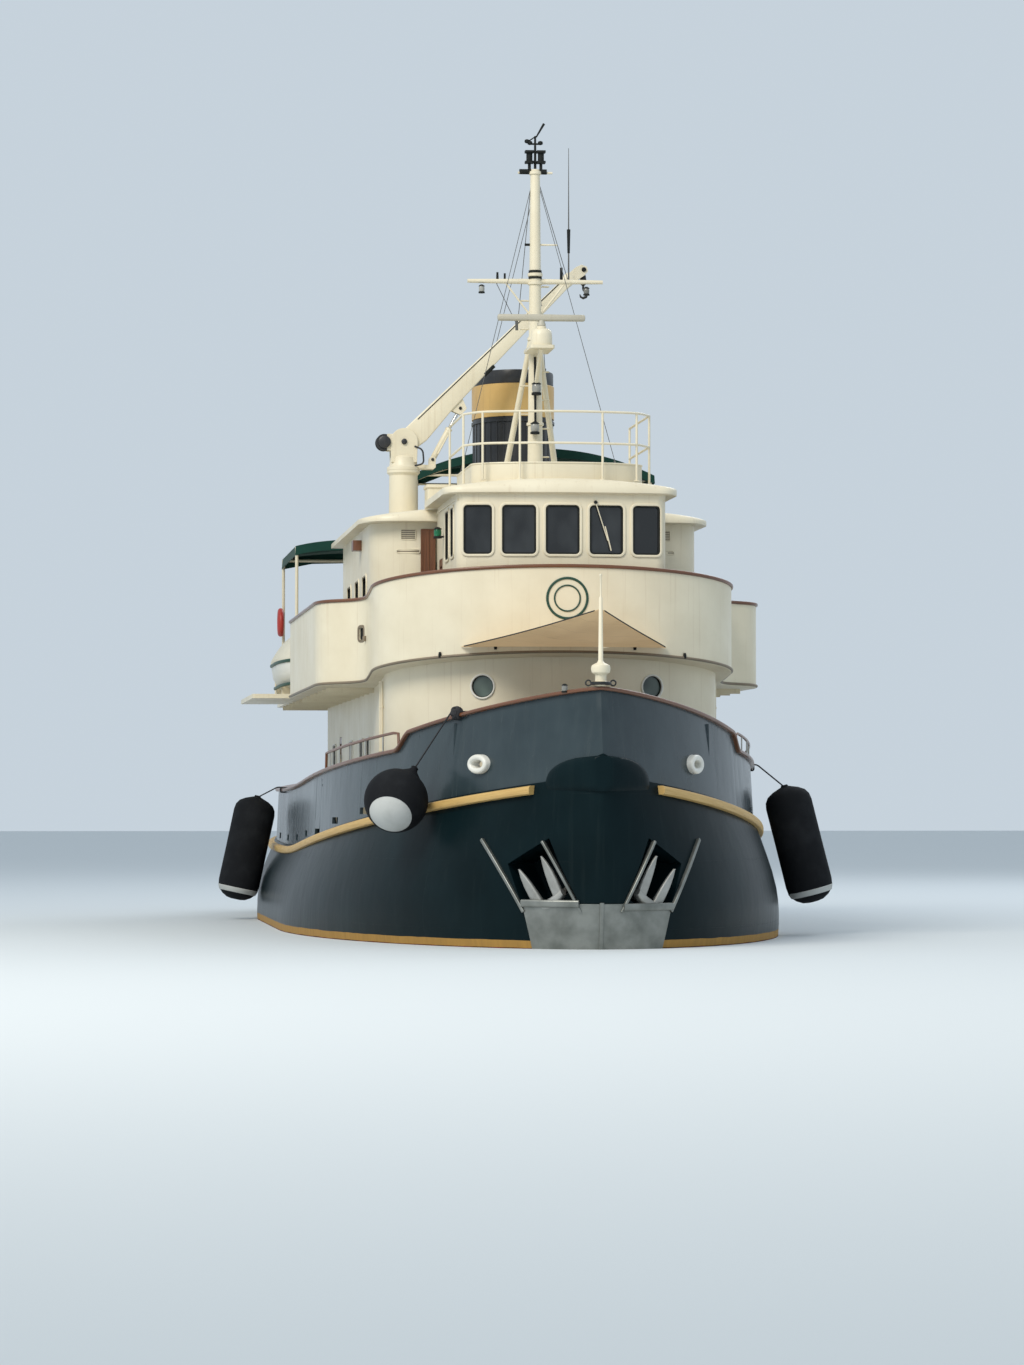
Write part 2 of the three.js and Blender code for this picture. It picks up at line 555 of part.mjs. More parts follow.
// Upper cabin behind the wheelhouse.
const CABIN = { half: 3120, front: 9900, depth: 900, aft: 18000 };
const CABIN_WINDOWS = [[11300, 12300], [13300, 14300], [15500, 16500]];
const CABIN_SILL = [5900, 6800];
const cabinShape = (inset) => boxedFront(
  CABIN.half - inset, CABIN.front + inset + 60, 60, CABIN.half - 750, 800, CABIN.aft - inset);
const cabinHoles = join(...windowHoles(CABIN_WINDOWS, 2500, 3500, ...CABIN_SILL));
const aftWindow = block(-1500, 1500, 17500, 18500, ...CABIN_SILL);

// Wheelhouse, five windows across its bowed front.
const WHEELHOUSE = { half: 1900, front: 5700, bow: 130, aft: 9890 };
const FRONT_WINDOWS = [-1530, -790, 0, 790, 1530];
const WINDOW = { width: 600, low: 6920, high: 7790 };
const SIDE_WINDOWS = [[6400, 7000], [7350, 8050]];
const WHEEL_DOOR = { from: 8650, to: 9350, low: 5000, high: 7000 };
const wheelShape = (inset) => boxedFront(
  WHEELHOUSE.half - inset, WHEELHOUSE.front + inset, WHEELHOUSE.bow,
  WHEELHOUSE.half - 170, 240, WHEELHOUSE.aft - inset);
const wheelFrontHoles = FRONT_WINDOWS.map((x) => block(
  x - (Math.abs(x) > 1500 ? 250 : WINDOW.width / 2), x + (Math.abs(x) > 1500 ? 250 : WINDOW.width / 2),
  5000, 6500, WINDOW.low, WINDOW.high));
const wheelSideHoles = join(
  ...windowHoles(SIDE_WINDOWS, 1500, 2300, WINDOW.low, WINDOW.high), doorHole(WHEEL_DOOR, WHEELHOUSE.half));
const wheelDoor = sideDoor(WHEEL_DOOR, WHEELHOUSE.half);
const wheelShell = cut(
  room(wheelShape(0), wheelShape(WALL_THICK), 4600, WHEELHOUSE_EAVE - GAP), deckAndBelow,
  ...wheelFrontHoles, wheelSideHoles, mirrored(wheelSideHoles));
const wheelhouse = join(wheelShell, wheelDoor.frame, mirrored(wheelDoor.frame));
// Glass: a thin band behind the walls, seen through every window of a room.
const GLASS_THICK = 12;
const GLASS_INSET = WALL_THICK + GAP;
const paneBand = (shape, low, high) => room(shape(GLASS_INSET), shape(GLASS_INSET + GLASS_THICK), low, high);
const aheadOfDoors = block(-2500, 2500, 5000, 8200, 0, 9000);
const wheelPanes = paneBand(wheelShape, WINDOW.low - 90, WINDOW.high + 90).intersect(aheadOfDoors);
const cabinPanes = paneBand(cabinShape, CABIN_SILL[0] - 140, CABIN_SILL[1] + 140);

// Roofs, crowned athwartships by a wide arc.
function crowned(shape, low, edge, crown, half) {
  const radius = (half ** 2 + crown ** 2) / (2 * crown);
  const arc = new THREE.CylinderGeometry(radius, radius, 40000, 96);
  arc.translate(0, 0, edge + crown - radius);
  return slab(shape, low, edge + crown).intersect(toSolid(arc));
}
const CABIN_ROOF = { half: 3330, front: 9650, aft: 18450, thick: 90, crown: 270 };
const WHEEL_ROOF = { half: 2130, front: 5430, thick: 120, crown: 170 };
const wheelRoofSlab = crowned(
  boxedFront(WHEEL_ROOF.half, WHEEL_ROOF.front + 150, 150, WHEEL_ROOF.half - 350, 500, 9900),
  WHEELHOUSE_EAVE, WHEELHOUSE_EAVE + WHEEL_ROOF.thick, WHEEL_ROOF.crown, WHEEL_ROOF.half);
const cabinRoofSlab = crowned(
  boxedFront(CABIN_ROOF.half, CABIN_ROOF.front + 60, 60, CABIN_ROOF.half - 700, 900, CABIN_ROOF.aft),
  CABIN_EAVE, CABIN_EAVE + CABIN_ROOF.thick, CABIN_ROOF.crown, CABIN_ROOF.half);
const wheelBody = slab(wheelShape(-GAP), 4000, 8060);
const cabinRoof = cut(cabinRoofSlab, wheelBody, wheelRoofSlab.translate([0, 0, -GAP]), slab(
  boxedFront(WHEEL_ROOF.half + GAP, WHEEL_ROOF.front + 150, 150, WHEEL_ROOF.half - 350, 500, 9900 + GAP),
  WHEELHOUSE_EAVE - GAP, 9000));
const cabin = cut(
  room(cabinShape(0), cabinShape(WALL_THICK), 4600, CABIN_EAVE - GAP),
  deckAndBelow, cabinHoles, mirrored(cabinHoles), aftWindow, slab(wheelShape(-GAP), 4000, 9000),
);

// Flybridge: a low coaming on the wheelhouse roof.
const COAMING = { half: 1560, front: 6000, depth: 700, aft: 9600, top: 8600 };
const coaming = room(
  roundFront(COAMING.half, COAMING.front, COAMING.depth, COAMING.aft),
  roundFront(COAMING.half - 60, COAMING.front + 60, COAMING.depth, COAMING.aft - 60), 8050, COAMING.top);

put("fairlead_port", "cream", fairleadPort);
put("deckhouse", "cream", deckhouse);
put("deckhouse_door_port", "teak", houseDoor.leaf);
put("deckhouse_door_starboard", "teak", mirrored(houseDoor.leaf));
put("bridge_bulwark", "cream", bridgeWall.intersect(frontRegion));
put("bridge_bulwark_port", "cream", bridgeSide);
put("bridge_bulwark_starboard", "cream", mirrored(bridgeSide));
put("bridge_cap_rail", "teak", bridgeCap);
put("wheelhouse", "cream", wheelhouse);
put("wheelhouse_glass", "glass", wheelPanes);
put("wheelhouse_door_port", "teak", wheelDoor.leaf);
put("wheelhouse_door_starboard", "teak", mirrored(wheelDoor.leaf));
put("wheelhouse_roof", "cream", join(wheelRoofSlab, coaming));
put("cabin", "cream", cabin);
put("cabin_glass", "glass", cabinPanes);

// Foredeck and aft deck gear.
const deckAt = (s) => sheer(s) + CAMBER * 0.6;
const JACKSTAFF = { station: 310, foot: 4372, thick: 5880, tip: 6280 };
const jackstaffRows = [
  [0, 0], [85, 0], [85, 40], [150, 55], [150, 90], [95, 110], [95, 210], [150, 250], [165, 320], [150, 380],
  [60, 420], [42, 460],
  [30, JACKSTAFF.thick - JACKSTAFF.foot], [14, JACKSTAFF.thick - JACKSTAFF.foot + 20],
  [14, JACKSTAFF.tip - JACKSTAFF.foot], [0, JACKSTAFF.tip - JACKSTAFF.foot],
];
const jackstaff = seat(turned(jackstaffRows, 0, JACKSTAFF.station, JACKSTAFF.foot, 14), wholeCap);

function windlass() {
  const s = 2500;
  const base = block(-420, 420, s - 300, s + 300, 2000, deckAt(s) + 160);
  const housing = block(-220, 220, s - 230, s + 230, deckAt(s) + 100, deckAt(s) + 620);
  const axle = bar([-760, s, deckAt(s) + 420], [760, s, deckAt(s) + 420], 60, 60, 10);
  const wheels = [-1, 1].flatMap((side) => [
    bar([side * 300, s, deckAt(s) + 420], [side * 440, s, deckAt(s) + 420], 250, 250, 16),
    bar([side * 560, s, deckAt(s) + 420], [side * 760, s, deckAt(s) + 420], 170, 150, 14),
  ]);
  return seat(join(base, housing, axle, ...wheels), hull);
}
function bitts(x, s) {
  const base = block(x - 170, x + 170, s - 420, s + 420, sheer(s) - 200, deckAt(s) + 60);
  const posts = [-1, 1].map((side) => join(
    bar([x, s + side * 260, deckAt(s)], [x, s + side * 260, deckAt(s) + 520], 105, 105, 14),
    bar([x, s + side * 260, deckAt(s) + 480], [x, s + side * 260, deckAt(s) + 540], 135, 135, 14)));
  return seat(join(base, ...posts), hull);
}
const HATCH = { from: 3900, to: 4700, half: 420, high: 380, lid: 55 };
const hatchTop = deckAt(HATCH.from) + HATCH.high;
const hatchHinge = { station: HATCH.to + 55, z: hatchTop + 30 };
const hatchFrame = cut(
  block(-HATCH.half, HATCH.half, HATCH.from, HATCH.to, 1900, hatchTop),
  block(-HATCH.half + 50, HATCH.half - 50, HATCH.from + 50, HATCH.to - 50, 1800, hatchTop + 50));
const hatchLugs = [-310, 310].map((x) => join(
  block(x - 25, x + 25, HATCH.to - 5, hatchHinge.station + 20, hatchTop - 60, hatchTop - 20),
  block(x - 25, x + 25, hatchHinge.station - 15, hatchHinge.station + 20, hatchTop - 60, hatchHinge.z),
  bar([x - 25, hatchHinge.station, hatchHinge.z], [x + 25, hatchHinge.station, hatchHinge.z], 22, 22, 10)));
const hatchCoaming = seat(join(hatchFrame, ...hatchLugs), hull);
const hatchLid = join(
  block(
    -HATCH.half - 30, HATCH.half + 30, HATCH.from - 30, HATCH.to + 30,
    hatchTop + GAP, hatchTop + HATCH.lid),
  ...[-250, 250].flatMap((x) => [
    block(x - 30, x + 30, HATCH.to, hatchHinge.station, hatchHinge.z - 12, hatchHinge.z + 12),
    bar([x - 30, hatchHinge.station, hatchHinge.z], [x + 30, hatchHinge.station, hatchHinge.z], 22, 22, 10),
  ]));
function capstan(x, s) {
  return seat(turned([
    [0, -300], [330, -300], [330, 60], [260, 100], [240, 160], [170, 260], [150, 420], [190, 560], [250, 620],
    [250, 700], [120, 730], [0, 730],
  ], x, s, deckAt(s)), hull);
}

// Boat deck: guard rails aft of the wings and the frame of the aft awning. To starboard the tender takes the
// rail's place between its two ends.
const RAIL = { high: 1000, radius: 24, edge: 4030, spacing: 1620 };
const AFT_AWNING = {
  from: 18700, to: 23850, half: 3990, top: 7960, side: 7740, poles: [18700, 23750],
};
const TENDER = { x: -3640, from: 19050, to: 23400, low: 4760, half: 760, rail: 5480, cover: 6120 };
function boatDeckRails() {
  const foot = boatDeckTop(DECK_END) + GAP;
  const top = foot + RAIL.high;
  const aft = 26920;
  const { edge, radius } = RAIL;
  const [first, last] = AFT_AWNING.poles;
  const portPosts = [];
  for (let s = 18400; s < aft - 100; s += RAIL.spacing) portPosts.push(post(edge, s, foot, top));
  const others = [-2700, -1350, 0, 1350, 2700].map((x) => post(x, aft, foot, top));
  const rails = [0.5, 1].map((share) => pipeRun(
    [[-edge, last, foot + RAIL.high * share], [-edge, aft, foot + RAIL.high * share],
      [edge, aft, foot + RAIL.high * share], [edge, 18400, foot + RAIL.high * share]], radius));
  const beam = AFT_AWNING.side + 40;
  const poles = AFT_AWNING.poles.flatMap((s) => [-edge, edge].map((x) => post(x, s, foot, beam, 34)));
  const head = pipeRun([[-edge, first, beam], [-edge, last, beam], [edge, last, beam], [edge, first, beam],
    [-edge, first, beam]], 34);
  return join(...portPosts, post(-edge, aft, foot, top), ...others, ...rails, ...poles, head);
}

// A cloth panel as one thin closed solid: a grid of points with a second layer below it.
function clothSolid(pointAt, rows, columns, thick) {
  const corners = [];
  const at = (i, j, low) => {
    const p = pointAt(i / rows, j / columns);
    return [p[0], Y(p[1]), p[2] - (low ? thick : 0)];
  };
  const quad = (a, b, c, d) => corners.push(...a, ...c, ...b, ...a, ...d, ...c);
  for (let i = 0; i < rows; i++) {
    for (let j = 0; j < columns; j++) {
      quad(at(i, j, 0), at(i + 1, j, 0), at(i + 1, j + 1, 0), at(i, j + 1, 0));
      quad(at(i, j, 1), at(i, j + 1, 1), at(i + 1, j + 1, 1), at(i + 1, j, 1));
    }
  }
  for (let i = 0; i < rows; i++) {
    quad(at(i, 0, 1), at(i + 1, 0, 1), at(i + 1, 0, 0), at(i, 0, 0));
    quad(at(i, columns, 0), at(i + 1, columns, 0), at(i + 1, columns, 1), at(i, columns, 1));
  }
  for (let j = 0; j < columns; j++) {
    quad(at(0, j, 0), at(0, j + 1, 0), at(0, j + 1, 1), at(0, j, 1));
    quad(at(rows, j, 1), at(rows, j + 1, 1), at(rows, j + 1, 0), at(rows, j, 0));
  }
  const geometry = new THREE.BufferGeometry();
  geometry.setAttribute("position", new THREE.Float32BufferAttribute(corners, 3));
  return toSolid(geometry);
}
// An awning rounded down at both sides; u runs aft and v athwart.
const awningPoint = ({ from, to, x0, x1, top, side, power }) => (u, v) => {
  const across = 2 * v - 1;
  return [x0 + (x1 - x0) * v, from + (to - from) * u, top - (top - side) * Math.abs(across) ** power];
};
const deckRails = boatDeckRails();
const aftAwning = seat(clothSolid(awningPoint({
  from: AFT_AWNING.from - 60, to: AFT_AWNING.to, x0: -AFT_AWNING.half - 70, x1: AFT_AWNING.half + 70,
  top: AFT_AWNING.top, side: AFT_AWNING.side + 54, power: 5,
}), 4, 16, 14), deckRails);

const ROOF_AWNING = { from: 15700, to: 18300, x0: -1850, x1: 3050, top: 9640, side: 9080, power: 2.2 };
function roofAwningFrame() {
  const xs = [ROOF_AWNING.x0 + 70, ROOF_AWNING.x1 - 70];
  const ss = [ROOF_AWNING.from + 60, ROOF_AWNING.to - 60];
  const z = ROOF_AWNING.side - 5;
  const poles = xs.flatMap((x) => ss.map((s) => post(x, s, 7800, z, 24)));
  const corners = [[0, 0], [0, 1], [1, 1], [1, 0], [0, 0]].map(([i, j]) => [xs[i], ss[j], z]);
  const ring = pipeRun(corners, 24);
  return seat(join(...poles, ring), cabinRoof);
}
const roofFrame = roofAwningFrame();
const roofAwning = seat(clothSolid(awningPoint(ROOF_AWNING), 3, 12, 14), roofFrame);

// Flybridge rails round the wheelhouse roof.
const FLY_RAIL = { half: 1700, top: 9500, low: 8930, radius: 22 };
function flybridgeRail() {
  const half = [[0, 5870], [750, 5950], [1400, 6180], [FLY_RAIL.half, 6700], [FLY_RAIL.half, 9400]];
  const path = [...half.slice(1).reverse().map(([x, s]) => [-x, s]), ...half];
  const rails = [FLY_RAIL.top, FLY_RAIL.low].map((z) =>
    pipeRun(path.map(([x, s]) => [x, s, z]), FLY_RAIL.radius));
  const posts = path.filter(([x]) => x !== 0).map(([x, s]) => post(x, s, 8080, FLY_RAIL.top));
  return seat(join(...rails, ...posts), wheelRoofSlab);
}

// Mast: a pole on the centreline with two raking legs, a crosstree and the radar's bracket.
const MAST = { station: 10200, foot: 7900, top: 14500, tip: 15400, radius: 150 };
const RADAR = { station: 9150, z: 11480, length: 1650 };
function mast() {
  const s = MAST.station;
  const pole = bar([0, s, MAST.foot], [0, s, MAST.top], MAST.radius, 90, 16);
  const legs = [-1, 1].map((side) =>
    bar([side * 620, s + 1050, MAST.foot], [side * 60, s + 60, 11350], 62, 50, 10));
  const crosstree = bar([-1290, s, 12350], [1290, s, 12350], 48, 48, 8);
  const yard = bar([-420, s, 13050], [420, s, 13050], 32, 32, 8);
  const arms = bar([-330, s, 14420], [330, s, 14420], 26, 26, 8);
  const lampBox = block(-170, 170, s - 120, s + 120, MAST.top + 120, MAST.top + 330);
  const vane = bar([0, s, MAST.top - 30], [0, s, MAST.tip], 32, 18, 8);
  const antenna = bar([640, s, 12350], [640, s, 14900], 26, 12, 8);
  const shelfPlate = block(-230, 230, RADAR.station - 230, s, RADAR.z - 520, RADAR.z - 460);
  const brace = bar([0, s, RADAR.z - 1250], [0, RADAR.station, RADAR.z - 500], 45, 45, 10);
  const pedestal = bar([0, RADAR.station, RADAR.z - 480], [0, RADAR.station, RADAR.z - 150], 200, 170, 14);
  const neck = bar([0, RADAR.station, RADAR.z - 160], [0, RADAR.station, RADAR.z - 90], 90, 90, 14);
  const parts = [
    pole, ...legs, crosstree, yard, arms, lampBox, vane, antenna, shelfPlate, brace, pedestal, neck,
  ];
  return seat(seat(join(...parts), cabinRoof), wheelRoofSlab);
}
const radarScanner = join(
  bar([0, RADAR.station, RADAR.z - 90 + GAP], [0, RADAR.station, RADAR.z + 20], 80, 80, 14),
  block(-RADAR.length / 2, RADAR.length / 2, RADAR.station - 70, RADAR.station + 70, RADAR.z, RADAR.z + 130));

// Funnel: an oval trunk with a recessed mouth and two pipes, and a gold band sleeved over it.
const FUNNEL = {
  station: 14200, halfX: 785, halfY: 1130, top: 10970, bandLow: 10050, bandHigh: 10700, mouth: 450,
};
function oval(grow) {
  const shape = new THREE.Shape();
  shape.absellipse(0, FUNNEL.station, FUNNEL.halfX + grow, FUNNEL.halfY + grow, 0, 2 * Math.PI, false, 0);
  return shape;
}
function funnel() {
  const trunk = slab(oval(0), 7800, FUNNEL.top);
  const mouth = slab(oval(-70), FUNNEL.top - FUNNEL.mouth, FUNNEL.top + 10);
  const collar = slab(oval(35), FUNNEL.bandLow - 110, FUNNEL.bandLow - 45);
  const pipe = (side, low, high, radius) => bar(
    [side * 300, FUNNEL.station, FUNNEL.top + low], [side * 300, FUNNEL.station, FUNNEL.top + high],
    radius, radius, 14);
  const pipes = [-1, 1].map((side) => pipe(side, -FUNNEL.mouth - 20, 60, 180));
  const hollows = [-1, 1].map((side) => pipe(side, -250, 80, 150));
  return seat(cut(join(cut(join(trunk, collar), mouth), ...pipes), ...hollows), cabinRoof);
}
const funnelBand = cut(slab(oval(28), FUNNEL.bandLow, FUNNEL.bandHigh), slab(oval(GAP), 9000, 12000));

// Crane: a fixed post, a slewing column and a luffing box jib held by one cylinder.
const CRANE = { x: -2330, station: 12350, ring: 8900, head: 9450 };
const JIB = { length: 4620, luff: 44.7, tip: 190, thick: 260 };
const cranePost = turned(
  [[0, -140], [300, -140], [300, 90], [275, 120], [275, 880], [320, 900], [320, 960], [0, 960]],
  CRANE.x, CRANE.station, CRANE.ring - 960);
const FOOT = { x: CRANE.x + 560, z: 9115 }; // the cylinder's lower pin
const LUG = { along: 1250, below: 300 }; // the rod's eye, along and below the jib's axis
const WINCH_Z = 9440;
function craneColumn() {
  const { x, station: s } = CRANE;
  const ring = bar([x, s, CRANE.ring + GAP], [x, s, CRANE.ring + 70], 320, 320, 20);
  const column = bar([x, s, CRANE.ring + 50], [x, s, 9180], 270, 250, 16);
  const cheeks = [-1, 1].map((side) => block(
    x - 260, x + 220, s + side * (JIB.thick / 2 + GAP) - (side < 0 ? 60 : 0),
    s + side * (JIB.thick / 2 + GAP) + (side > 0 ? 60 : 0), 9100, CRANE.head + 200));
  const shelfPlate = block(x + 100, FOOT.x + 60, s - 130, s + 130, FOOT.z - 190, FOOT.z - 110);
  const ears = [-1, 1].map((side) => block(
    FOOT.x - 70, FOOT.x + 60, s + side * 65 - (side < 0 ? 30 : 0), s + side * 65 + (side > 0 ? 30 : 0),
    FOOT.z - 150, FOOT.z + 70));
  const winch = bar([x - 380, s - 170, WINCH_Z], [x - 380, s + 170, WINCH_Z], 160, 160, 16);
  return join(ring, column, ...cheeks, shelfPlate, ...ears, winch);
}
const luff = THREE.MathUtils.degToRad(JIB.luff);
const jibPoint = (along, up, side = 0) => [
  CRANE.x + along * Math.cos(luff) - up * Math.sin(luff), CRANE.station + side,
  CRANE.head + along * Math.sin(luff) + up * Math.cos(luff)];
// A piece drawn along the jib's own axis: profile points of [along, up], given a thickness across.
function alongJib(points, from, to) {
  const shape = new THREE.Shape(points.map(([along, up]) => {
    const [x, , z] = jibPoint(along, up);
    return new THREE.Vector2(x, z);
  }));
  const geometry = new THREE.ExtrudeGeometry(shape, { depth: to - from, bevelEnabled: false });
  geometry.rotateX(Math.PI / 2);
  geometry.translate(0, Y(CRANE.station + to), 0);
  return toSolid(geometry);
}
function craneJib() {
  const half = JIB.thick / 2;
  const beam = alongJib([
    [-150, -110], [-110, -170], [100, -260], [350, -290], [1100, -215], [JIB.length, -JIB.tip / 2],
    [JIB.length, JIB.tip / 2], [250, 170], [-110, 150], [-150, 110]], -half, half);
  const lugs = [-1, 1].map((side) => alongJib([
    [LUG.along - 200, -100], [LUG.along - 90, -LUG.below - 90], [LUG.along + 90, -LUG.below - 90],
    [LUG.along + 200, -100]], side < 0 ? -92 : 62, side < 0 ? -62 : 92));
  const horns = [-1, 1].map((side) => alongJib([
    [JIB.length - 120, -90], [JIB.length - 60, 95], [JIB.length + 300, 40], [JIB.length + 350, -60],
    [JIB.length + 300, -140], [JIB.length + 190, -150]], side < 0 ? -110 : 70, side < 0 ? -70 : 110));
  return join(beam, ...lugs, ...horns);
}
const lugPoint = jibPoint(LUG.along, -LUG.below);
const cylinderRun = Math.hypot(lugPoint[0] - FOOT.x, lugPoint[2] - FOOT.z);
const towardLug = (distance) => [
  FOOT.x + (lugPoint[0] - FOOT.x) * distance / cylinderRun, CRANE.station,
  FOOT.z + (lugPoint[2] - FOOT.z) * distance / cylinderRun];
const eye = (x, z, half) => bar([x, CRANE.station - half, z], [x, CRANE.station + half, z], 58, 58, 14);
const BARREL = { from: 40, to: cylinderRun * 0.62, radius: 58 };
const craneBarrel = cut(
  join(
    bar(towardLug(BARREL.from), towardLug(BARREL.to), BARREL.radius, BARREL.radius, 14),
    eye(FOOT.x, FOOT.z, 65 - GAP),
  ),
  bar(towardLug(110), towardLug(BARREL.to + 20), 33, 33, 12));
const craneRod = join(
  bar(towardLug(BARREL.to - 320), towardLug(cylinderRun - 20), 32, 32, 12),
  eye(lugPoint[0], lugPoint[2], 55));
const hookPin = jibPoint(JIB.length + 260, -60);
const hookBlock = join(
  bar(
    [hookPin[0], CRANE.station - 70 + GAP, hookPin[2]],
    [hookPin[0], CRANE.station + 70 - GAP, hookPin[2]], 75, 75, 14),
  block(
    hookPin[0] - 55, hookPin[0] + 55, CRANE.station - 55, CRANE.station + 55,
    hookPin[2] - 420, hookPin[2]),
  bar(
    [hookPin[0], CRANE.station, hookPin[2] - 410], [hookPin[0], CRANE.station, hookPin[2] - 560],
    40, 25, 8));

const locker = block(-1950, -1420, 11300, 12000, 7800, 8560);

// Tender under its cover, on the starboard side of the boat deck.
function tender() {
  const steps = [0, 0.08, 0.22, 0.45, 0.7, 0.88, 0.97, 1];
  const rings = steps.map((t) => {
    const s = Y(TENDER.from + t * (TENDER.to - TENDER.from));
    const wide = TENDER.half * Math.sqrt(Math.max(0, 1 - Math.abs(2 * t - 1) ** 3.2));
    const rise = 180 * Math.abs(2 * t - 1) ** 2;
    return [
      new THREE.Vector3(0, s, TENDER.low + rise), new THREE.Vector3(wide * 0.8, s, TENDER.low + rise + 160),
      new THREE.Vector3(wide, s, TENDER.rail - 60), new THREE.Vector3(wide, s, TENDER.rail + 40),
      new THREE.Vector3(wide * 0.6, s, TENDER.cover - 140 - rise),
      new THREE.Vector3(0, s, TENDER.cover - rise),
    ];
  });
  return mirroredLoft(rings, false).translate([TENDER.x, 0, 0]);
}
const tenderBody = tender();
const CHOCK = { stations: [20200, 22200], half: 620, thick: 120, low: 4690, high: 4960 };
const tenderChocks = join(...CHOCK.stations.map((s) => block(
  TENDER.x - CHOCK.half, TENDER.x + CHOCK.half, s - CHOCK.thick / 2, s + CHOCK.thick / 2,
  CHOCK.low, CHOCK.high,
))).subtract(tenderBody.translate([0, 0, -GAP]));

// Shade sail: a triangle of cloth from the bridge front to the jackstaff. u runs aft and v athwart.
const SAIL = {
  half: 1850, base: 5240, apex: 5680, apexStation: JACKSTAFF.station + 33, apexHalf: 40, sag: 105, clear: 14,
};
const bridgeFront = (x) => BRIDGE.front + BRIDGE.depth * (1 - Math.sqrt(1 - (x / BRIDGE.half) ** 2));
const shadeSail = clothSolid((u, v) => {
  const across = 2 * v - 1;
  const x = across * THREE.MathUtils.lerp(SAIL.apexHalf, SAIL.half, u);
  const sag = SAIL.sag * Math.sin(Math.PI * u) * (1 - 0.5 * across * across);
  return [
    x, THREE.MathUtils.lerp(SAIL.apexStation, bridgeFront(x) - SAIL.clear, u),
    THREE.MathUtils.lerp(SAIL.apex, SAIL.base, u) - sag];
}, 8, 8, 14);

// Fenders hang on lanyards from the top of the cap rail: a ball at the bow and long ones amidships.
const LANYARD = 14;
function lanyard(side, station, head) {
  const cap = linePoint(RAIL_LINE, (station - RAIL_LINE.stem) / (RAIL_LINE.stern - RAIL_LINE.stem));
  const edge = cap.x + CAP.out;
  const top = railHeight(station) + CAP.thick;
  const route = [head, [side * (edge + 70), station, top + 30], [side * (edge - 95), station, top + 11]];
  return seat(pipeRun(route, LANYARD), wholeCap);
}
function longFender(side, station, footX, footZ, headX, headZ) {
  const along = new THREE.Vector3(headX - footX, 0, headZ - footZ);
  const rows = [
    [0, 0], [180, 0.01], [360, 0.07], [440, 0.15], [440, 0.85], [340, 0.93], [120, 0.985], [0, 1],
  ];
  const profile = rows.map(([r, h]) => new THREE.Vector2(r, h * along.length()));
  const geometry = new THREE.LatheGeometry(profile, 16);
  geometry.applyQuaternion(new THREE.Quaternion().setFromUnitVectors(
    new THREE.Vector3(0, 1, 0), along.clone().normalize()));
  geometry.translate(footX, Y(station), footZ);
  const body = toSolid(geometry);
  const whole = join(body, lanyard(1, station, [headX - 15, station, headZ - 60]));
  return side === PORT ? whole : mirrored(whole);
}
const BALL = { beside: 3400, z: 2490, radius: 560, knot: 2860 };
function ballFender() {
  const centre = linePoint(DECK_LINE, BALL.beside / LENGTH, STRAKE.proud + BALL.radius + 4);
  const ball = new THREE.SphereGeometry(BALL.radius, 18, 12);
  ball.rotateX(Math.PI / 2);
  ball.translate(centre.x, centre.y, BALL.z);
  const top = [centre.x - 120, centre.y + LENGTH / 2, BALL.z + BALL.radius - 40];
  return mirrored(join(toSolid(ball), lanyard(1, BALL.knot, top)));
}

// Propeller and rudder.
const PROP = { station: 29500, radius: 1080 };
function propeller() {
  const hub = bar([0, 29150 + GAP, SHAFT_Z], [0, 29780, SHAFT_Z], 225, 130, 16);
  const cap = bar([0, 29770, SHAFT_Z], [0, 29900, SHAFT_Z], 130, 50, 16);
  const blades = [0, 1, 2, 3].map((i) => {
    const blade = new THREE.SphereGeometry(1, 10, 6);
    blade.scale(340, 34, (PROP.radius - 120) / 2);
    blade.translate(0, 0, (PROP.radius - 120) / 2 + 120);
    blade.rotateZ(THREE.MathUtils.degToRad(38));
    blade.rotateY((i * Math.PI) / 2 + 0.4);
    blade.translate(0, Y(PROP.station), SHAFT_Z);
    return toSolid(blade);
  });
  return join(hub, cap, ...blades);
}
const RUDDER = { low: -DRAUGHT + 210, high: -980, fore: 330, aft: 1150, thick: 150, pin: 60 };
function rudder() {
  const foil = new THREE.Shape();
  const { thick, pin } = RUDDER;
  const [nose, full, tail] = [-RUDDER.fore, 100, RUDDER.aft].map((aft) => RUDDER_STOCK + aft);
  foil.moveTo(0, nose);
  foil.bezierCurveTo(thick, nose, thick, full, 12, tail);
  foil.lineTo(-12, tail);
  foil.bezierCurveTo(-thick, full, -thick, nose, 0, nose);
  const stock = bar([0, RUDDER_STOCK, RUDDER.high - 200], [0, RUDDER_STOCK, 120], 85, 85, 16);
  const heel = bar(
    [0, RUDDER_STOCK, RUDDER.low - 90 + GAP], [0, RUDDER_STOCK, RUDDER.low + 200], pin, pin, 14);
  return join(slab(foil, RUDDER.low, RUDDER.high), stock, heel);
}

put("fairlead_starboard", "cream", mirrored(fairleadPort));
put("jackstaff", "cream", jackstaff);
put("windlass", "darkIron", windlass());
put("bitts_fore_port", "darkIron", bitts(1150, 3500));
put("bitts_fore_starboard", "darkIron", bitts(-1150, 3500));
put("hatch_coaming", "cream", hatchCoaming);
put("hatch_lid", "teak", hatchLid);
put("capstan", "steel", capstan(0, 29500));
put("bitts_aft_port", "darkIron", bitts(2500, 27800));
put("bitts_aft_starboard", "darkIron", bitts(-2500, 27800));
put("boat_deck_rail", "cream", deckRails);
put("aft_awning", "canvasGreen", aftAwning);
put("roof_awning", "canvasGreen", roofAwning);
put("roof_awning_frame", "cream", roofFrame);
put("flybridge_rail", "cream", flybridgeRail());
put("mast", "cream", mast());
put("radar_scanner", "cream", radarScanner);
put("funnel", "black", funnel());
put("funnel_band", "gold", funnelBand);

